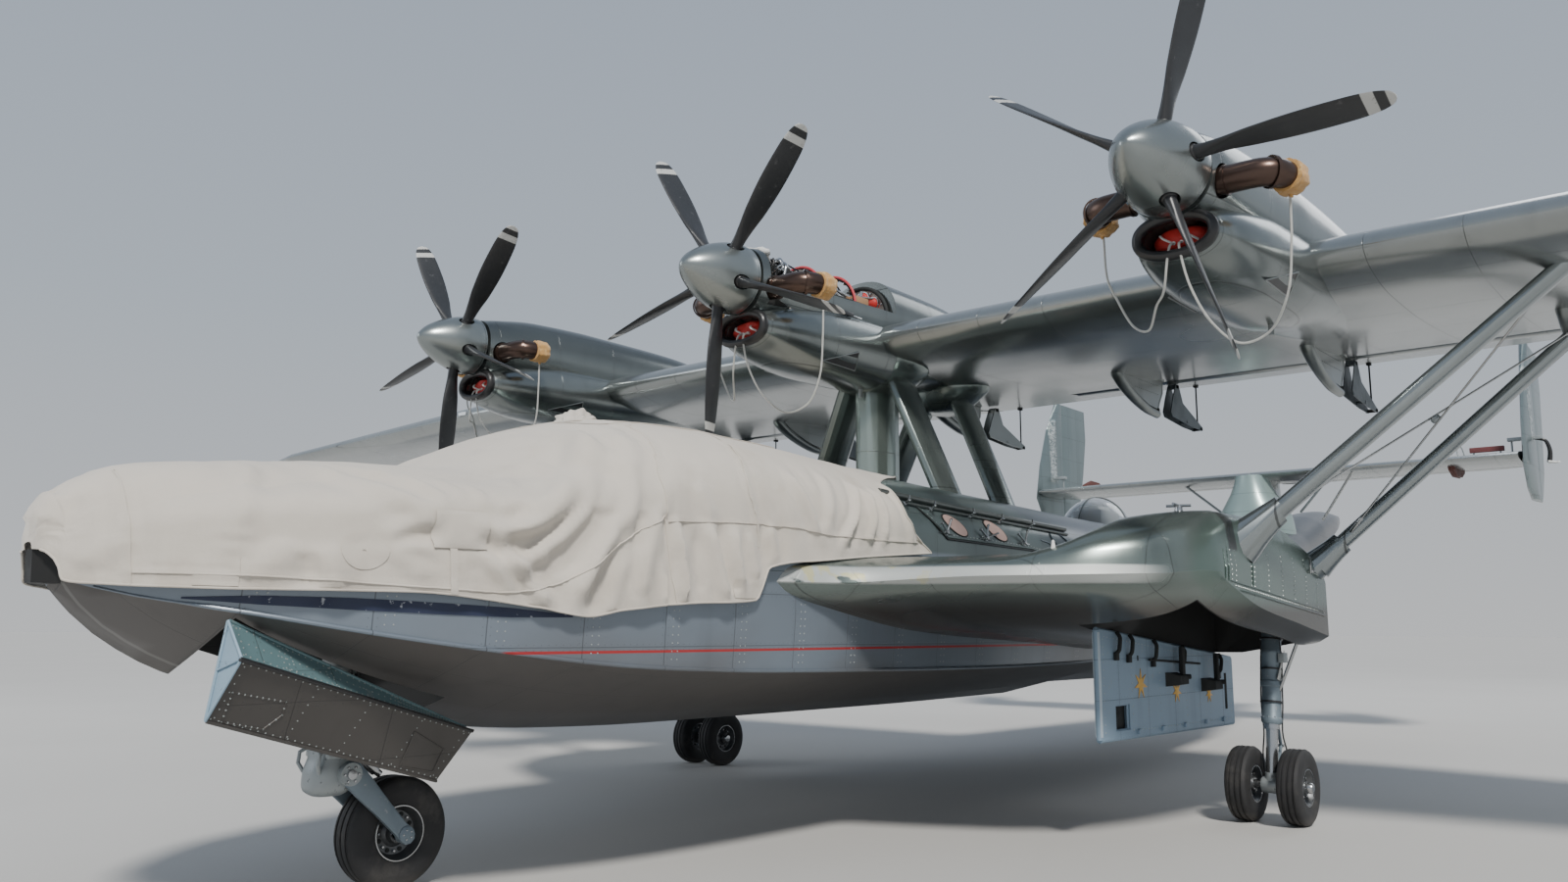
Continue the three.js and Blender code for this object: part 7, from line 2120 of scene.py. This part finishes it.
for k in range(34):
    y0 = -5.72 + 1.15 * rnd.random(); y1 = min(y0 + .25 + .5 * rnd.random(), -4.25)
    x0, x1 = -.22 + .44 * rnd.random(), -.22 + .44 * rnd.random()
    zt_ = lambda x: 4.42 + math.sqrt(max(.060 - x * x, .002)) * .92
    pts = [(x0, y0, zt_(x0) - .02), (x0 * .8, y0 + .05, zt_(x0) + .05 + .04 * rnd.random()), ((x0 + x1) / 2, (y0 + y1) / 2, zt_((x0 + x1) / 2) + .05 * rnd.random() + .01),
           (x1 * .9, y1 - .05, zt_(x1) + .04 * rnd.random()), (x1, y1, zt_(x1) - .02)]
    pipes.tube(smooth_line(pts, 26), .006 + .009 * rnd.random(), 8, rnd.choice((0, 0, 0, 1, 1, 2)))
# tangle of hoses right behind the spinner
for k in range(26):
    a_ = rnd.uniform(.2, 2.9); b_ = a_ + rnd.uniform(-1.2, 1.2)
    y0 = rnd.uniform(-5.70, -5.46)
    P_ = lambda t, r, y: (r * math.cos(t), y, 4.45 + r * math.sin(t))
    pts = [P_(a_, .20, y0), P_(a_, rnd.uniform(.24, .30), y0 + .02), P_((a_ + b_) / 2, rnd.uniform(.25, .32), y0 + rnd.uniform(-.03, .08)), P_(b_, rnd.uniform(.24, .30), y0 + .09), P_(b_, .20, y0 + .12)]
    pipes.tube(smooth_line(pts, 22), .007 + .008 * rnd.random(), 8, rnd.choice((0, 0, 1, 2)))
pipes.tube(smooth_line([(.02, -5.56, 4.72), (.05, -5.35, 4.745), (.02, -5.10, 4.74), (.0, -4.95, 4.70)], 20), .008, 8, 3)
pipes.build("engine_pipes", [BLACK, PIPE, STEEL, NAVY], "airframe", angle=50)
# hoops
h = Geo()
for y, cz, r, w_ in ((-5.05, 4.50, .275, .020), (-4.60, 4.48, .305, .024)):
    arc = [(r * math.cos(t), y, cz + r * math.sin(t)) for t in np.linspace(-.05, math.pi + .05, 40)]
    h.tube(arc, .013, 8, 0)
    arc = [((r - .018) * math.cos(t), y + .012, cz + (r - .018) * math.sin(t)) for t in np.linspace(-.02, math.pi + .02, 40)]
    h.tube(arc, .012, 8, 1)
    for k in range(9):
        t = math.pi * (k + .5) / 9
        h.lathe([(-.018, .0), (-.018, .010), (.018, .010), (.018, 0)], ((r - .03) * math.cos(t), y, cz + (r - .03) * math.sin(t)), (0, 1, 0), 8, 2)
# pale fabric inside the first hoop, sagging
v, f = [], []
nu, nv_ = 28, 10
for j in range(nv_ + 1):
    s_ = j / nv_
    for i in range(nu + 1):
        t = math.pi * i / nu
        r_ = .258 * (1 - .55 * s_)
        yy_ = -5.05 + .05 * s_ + .018 * math.sin(5 * t + 2) * s_ + .012 * math.sin(11 * t) * s_ * (1 - s_)
        v.append((r_ * math.cos(t), yy_, 4.50 + r_ * math.sin(t)))
for j in range(nv_):
    for i in range(nu):
        a_ = j * (nu + 1) + i
        f.append((a_, a_ + 1, a_ + nu + 2, a_ + nu + 1))
nb = len(v)
v += [(a, b + .006, c) for a, b, c in v]
f += [tuple(reversed([q + nb for q in q4])) for q4 in f]
m_ = nu + 1
edge = [i for i in range(nu + 1)] + [j * m_ + nu for j in range(1, nv_ + 1)] + [nv_ * m_ + i for i in range(nu - 1, -1, -1)] + [j * m_ for j in range(nv_ - 1, 0, -1)]
f += [(edge[(i + 1) % len(edge)], edge[i], edge[i] + nb, edge[(i + 1) % len(edge)] + nb) for i in range(len(edge))]
h.add(v, f, 3)
h.build("engine_hoops", [RED_EDGE, DARK, STEEL, FABRIC], "airframe", angle=50)
# dark bulkhead hoop with pale liner and red round covers
b_ = Geo()
arc = [(.325 * math.cos(t), -4.13, 4.455 + .325 * math.sin(t)) for t in np.linspace(0, math.pi, 44)]
b_.tube(arc, .020, 10, 0)
b_.lathe([(-.012, 0), (-.012, .31), (.010, .31), (.010, 0)], (0, -4.10, 4.455), (0, 1, 0), 48, 1)
for x, z, r in ((.055, 4.660, .072), (.170, 4.600, .062), (-.080, 4.640, .066), (.02, 4.545, .060), (-.18, 4.55, .05)):
    b_.lathe([(-.01, r), (.02, r), (.045, r * .85), (.060, r * .45), (.062, 0)], (x, -4.125, z), (0, -1, 0), 28, 2)
    b_.ring([(.012, r), (.028, r), (.028, r + .007), (.012, r + .007)], (x, -4.125, z), (0, -1, 0), 28, 3)
for k in range(10):
    t = math.pi * (k + .5) / 10
    b_.lathe([(0, .010), (.012, .010), (.014, 0)], (.285 * math.cos(t), -4.118, 4.455 + .285 * math.sin(t)), (0, -1, 0), 8, 3)
for x0_, x1_, z0_ in ((-.25, .10, 4.50), (.0, .27, 4.47), (-.1, .2, 4.62)):
    b_.tube(smooth_line([(x0_, -4.13, z0_), (x0_ * .6 + x1_ * .4, -4.24, z0_ + .05), (x1_, -4.17, z0_ + .02)], 18), .012, 8, 3)
b_.build("engine_bulkhead", [DARK, FABRIC, RED, STEEL], "airframe", angle=40)
# side sills with quarter-turn fasteners
s_ = Geo()
for sgn in (1, -1):
    line = [(sgn * x, y, z) for x, y, z in ((.305, -5.76, 4.475), (.325, -5.45, 4.475), (.345, -5.1, 4.472), (.365, -4.7, 4.468), (.372, -4.4, 4.466), (.375, -4.14, 4.465))]
    s_.tube(smooth_line(line, 40), .012, 8, 0)
    for k in range(16):
        y = -5.7 + 1.5 * k / 15
        x = float(np.interp(y, [-5.76, -5.1, -4.4, -4.1], [.312, .352, .380, .384]))
        rivet(s_, (sgn * x, y, 4.435), (sgn, 0, 0), .009, .004, 1)
    low = [(sgn * x, y, z) for x, y, z in ((.322, -5.74, 4.330), (.352, -5.35, 4.330), (.378, -4.95, 4.325), (.392, -4.62, 4.322))]
    s_.tube(smooth_line(low, 30), .006, 8, 1)
    s_.box((min(sgn * .370, sgn * .396), -4.93, 4.315), (max(sgn * .370, sgn * .396), -4.74, 4.350), 2, .003)
s_.build("engine_sills", [DARK, STEEL, BLACK], "airframe")
# crumpled white cloth behind the spinner
c = Geo()
nu, nv_ = 44, 30
rnd = random.Random(5)
ph = [rnd.uniform(0, 6.28) for _ in range(12)]
rings_ = []
for j in range(nv_ + 1):
    s0 = j / nv_
    th_ = math.pi * s0
    ring_ = []
    for i in range(nu):
        t = 2 * math.pi * i / nu
        r_ = math.sin(th_) ** .8
        q = 1 + .22 * math.sin(3 * t + ph[0] + 4 * s0) + .16 * math.sin(5 * t - ph[1] + 7 * s0) + .10 * math.sin(9 * t + ph[2] - 11 * s0) + .07 * math.sin(14 * t + ph[3] + 17 * s0)
        ring_.append((-.04 + .16 * r_ * q * math.cos(t) + .02 * math.sin(6 * s0 + ph[4]), -5.665 + .085 * r_ * q * math.sin(t) + .03 * math.sin(9 * s0 + ph[5]),
                      4.735 - .075 * math.cos(th_) * (1 + .25 * math.sin(3 * t + ph[6])) + .02 * r_ * math.sin(4 * t + ph[7])))
    rings_.append(ring_)
c.loft(rings_)
cloth_w = Mat("white_cloth", (0.66, 0.66, 0.64), 0.9, 0.0)
cloth_w.mul(cloth_w.noise(14.0, 4.0), .82, 1.05)
cloth_w.bump(cloth_w.noise(60.0, 3.0), .002)
c.build("white_bundle", cloth_w.done(), "airframe", angle=80)

# ------------------------------------------------------------------ tail fittings
g = Geo()
for sgn in (1, -1):
    # bracket plate across the fin, trim plate and actuator fairings
    g.box((min(sgn * 3.55, sgn * 3.78), 6.92, 4.285), (max(sgn * 3.55, sgn * 3.78), 7.02, 4.335), 0, .006)
    g.box((min(sgn * 3.86, sgn * 3.99), 6.92, 4.285), (max(sgn * 3.86, sgn * 3.99), 7.02, 4.335), 0, .006)
    g.tube([(sgn * 3.60, 6.97, 4.28), (sgn * 3.60, 6.97, 4.08)], .014, 10, 0)
    g.tube(smooth_line([(sgn * 3.90, 6.95, 4.30), (sgn * 4.02, 6.98, 4.26), (sgn * 4.06, 7.02, 4.10), (sgn * 4.04, 7.05, 3.95)], 18), list(np.linspace(.020, .036, 18)), 12, 1)
    g.bar((sgn * 4.03, 7.0, 3.95), (sgn * 4.14, 7.0, 3.935), .022, .016, 14, 2)
    g.dome((sgn * 4.155, 7.0, 3.932), (.026, .022, .022), 2, 16, 8)
def horn_at(x, up):
    k = 1 if up else -1
    prof = [(6.55, 4.03), (6.62, 4.13), (6.85, 4.21), (7.10, 4.20), (7.30, 4.12), (7.32, 4.03)]
    pr = [(y, 4.01 + (z - 4.03) * k + (.0 if up else -.02)) for y, z in prof]
    g.loft([[(x - .045, y, z) for y, z in pr], [(x + .045, y, z) for y, z in pr]], 3)
    g.tube([(x, a, b) for a, b in pr], .016, 8, 3)
horn_at(-3.0, True)
horn_at(2.86, False)
g.box((3.05, 6.95, 4.16), (3.50, 7.02, 4.235), 4, .006)
g.tube([(3.10, 6.98, 4.17), (3.10, 6.98, 4.06)], .012, 8, 0)
g.tube([(3.45, 6.98, 4.17), (3.45, 6.98, 4.06)], .012, 8, 0)
g.tube(smooth_line([(2.95, 6.7, 4.05), (2.93, 6.7, 4.20), (2.97, 6.75, 4.24), (3.02, 6.8, 4.06)], 14), .010, 8, 0)
# braces below the tailplane and curved brace on the horn
g.bar((-1.20, 6.62, 3.98), (-.60, 6.90, 3.42), .020, None, 12, 0)
g.bar((1.20, 6.62, 3.98), (.60, 6.90, 3.42), .020, None, 12, 0)
g.build("tail_fittings", [CAST, BLACK, WHITE, plain_paint("horn_brown", (.10, .030, .022), .55, .1, .25), plain_paint("trim_red_brown", (.16, .045, .045), .5, .1, .2)], "airframe")
PYLON = silver("tail_pylon", (0.27, 0.36, 0.35), 0.34, 0.35)
weather(PYLON, 0.08, 1.2)
PYLON.panel(PYLON.z, PYLON.y, 0.30, 0.05, rivet=0.045)
g, rings = Geo(), []
for z, w, y0, y1 in ((2.75, .585, 5.95, 7.20), (3.10, .575, 5.97, 7.18), (3.30, .55, 6.00, 7.14), (3.45, .50, 6.03, 7.08), (3.58, .42, 6.07, 7.00), (3.70, .345, 6.11, 6.92), (3.82, .29, 6.14, 6.86), (3.93, .25, 6.16, 6.82), (4.00, .24, 6.17, 6.80)):
    a = np.linspace(0, 2 * math.pi, 48, endpoint=False)
    ca, sa = np.cos(a), np.sin(a)
    rings.append([((w * np.sign(c) * abs(c) ** .9), (y0 + y1) / 2 + (y1 - y0) / 2 * np.sign(d) * abs(d) ** .9, z) for c, d in zip(ca, sa)])
g.loft(rings)
g.build("tail_pylon_fairing", PYLON.done(), "airframe", angle=50)


# ------------------------------------------------------------------ floor and light
me = bpy.data.meshes.new("floor")
me.from_pydata([(-300, -300, 0), (300, -300, 0), (300, 300, 0), (-300, 300, 0)], [], [(0, 1, 2, 3)])
floor = bpy.data.objects.new("floor", me)
COL.objects.link(floor)
fm = Mat("floor_pale", (0.50, 0.49, 0.47), 0.75, 0.0)
fm.mul(fm.noise(0.25, 4.0), 0.94, 1.05)
fm.bump(fm.noise(18.0, 5.0, 0.7), 0.002)
me.materials.append(fm.done())

world = bpy.data.worlds.new("studio")
SCENE.world = world
world.use_nodes = True
wt = world.node_tree
bg = wt.nodes["Background"]
tc = wt.nodes.new("ShaderNodeTexCoord")
sp_ = wt.nodes.new("ShaderNodeSeparateXYZ")
wt.links.new(tc.outputs["Generated"], sp_.inputs[0])
rp = wt.nodes.new("ShaderNodeValToRGB")
rp.color_ramp.elements[0].position, rp.color_ramp.elements[0].color = 0.0, (0.86, 0.88, 0.90, 1)
rp.color_ramp.elements[1].position, rp.color_ramp.elements[1].color = 0.9, (0.40, 0.50, 0.66, 1)
e = rp.color_ramp.elements.new(0.25)
e.color = (0.66, 0.74, 0.84, 1)
wt.links.new(sp_.outputs[2], rp.inputs[0])
wt.links.new(rp.outputs[0], bg.inputs["Color"])
bg.inputs["Strength"].default_value = 0.72


def area(name, at, to, size, power, color=(1, 1, 1)):
    l = bpy.data.lights.new(name, "AREA")
    l.shape, l.size, l.energy, l.color = "DISK", size, power, color
    o = bpy.data.objects.new(name, l)
    COL.objects.link(o)
    o.location = at
    o.rotation_euler = (Vector(to) - Vector(at)).to_track_quat("-Z", "Y").to_euler()
    return o


sun = bpy.data.lights.new("key", "SUN")
sun.energy, sun.angle, sun.color = 4.0, 0.14, (1.0, 0.97, 0.92)
so = bpy.data.objects.new("key", sun)
COL.objects.link(so)
so.rotation_euler = Vector((-0.55, 0.45, -0.75)).to_track_quat("-Z", "Y").to_euler()
area("fill", (-20, -20, 12), (0, -4, 2), 14, 1200, (0.92, 0.96, 1.0))
area("back", (6, 22, 20), (0, 0, 3), 14, 1200, (0.96, 0.98, 1.0))
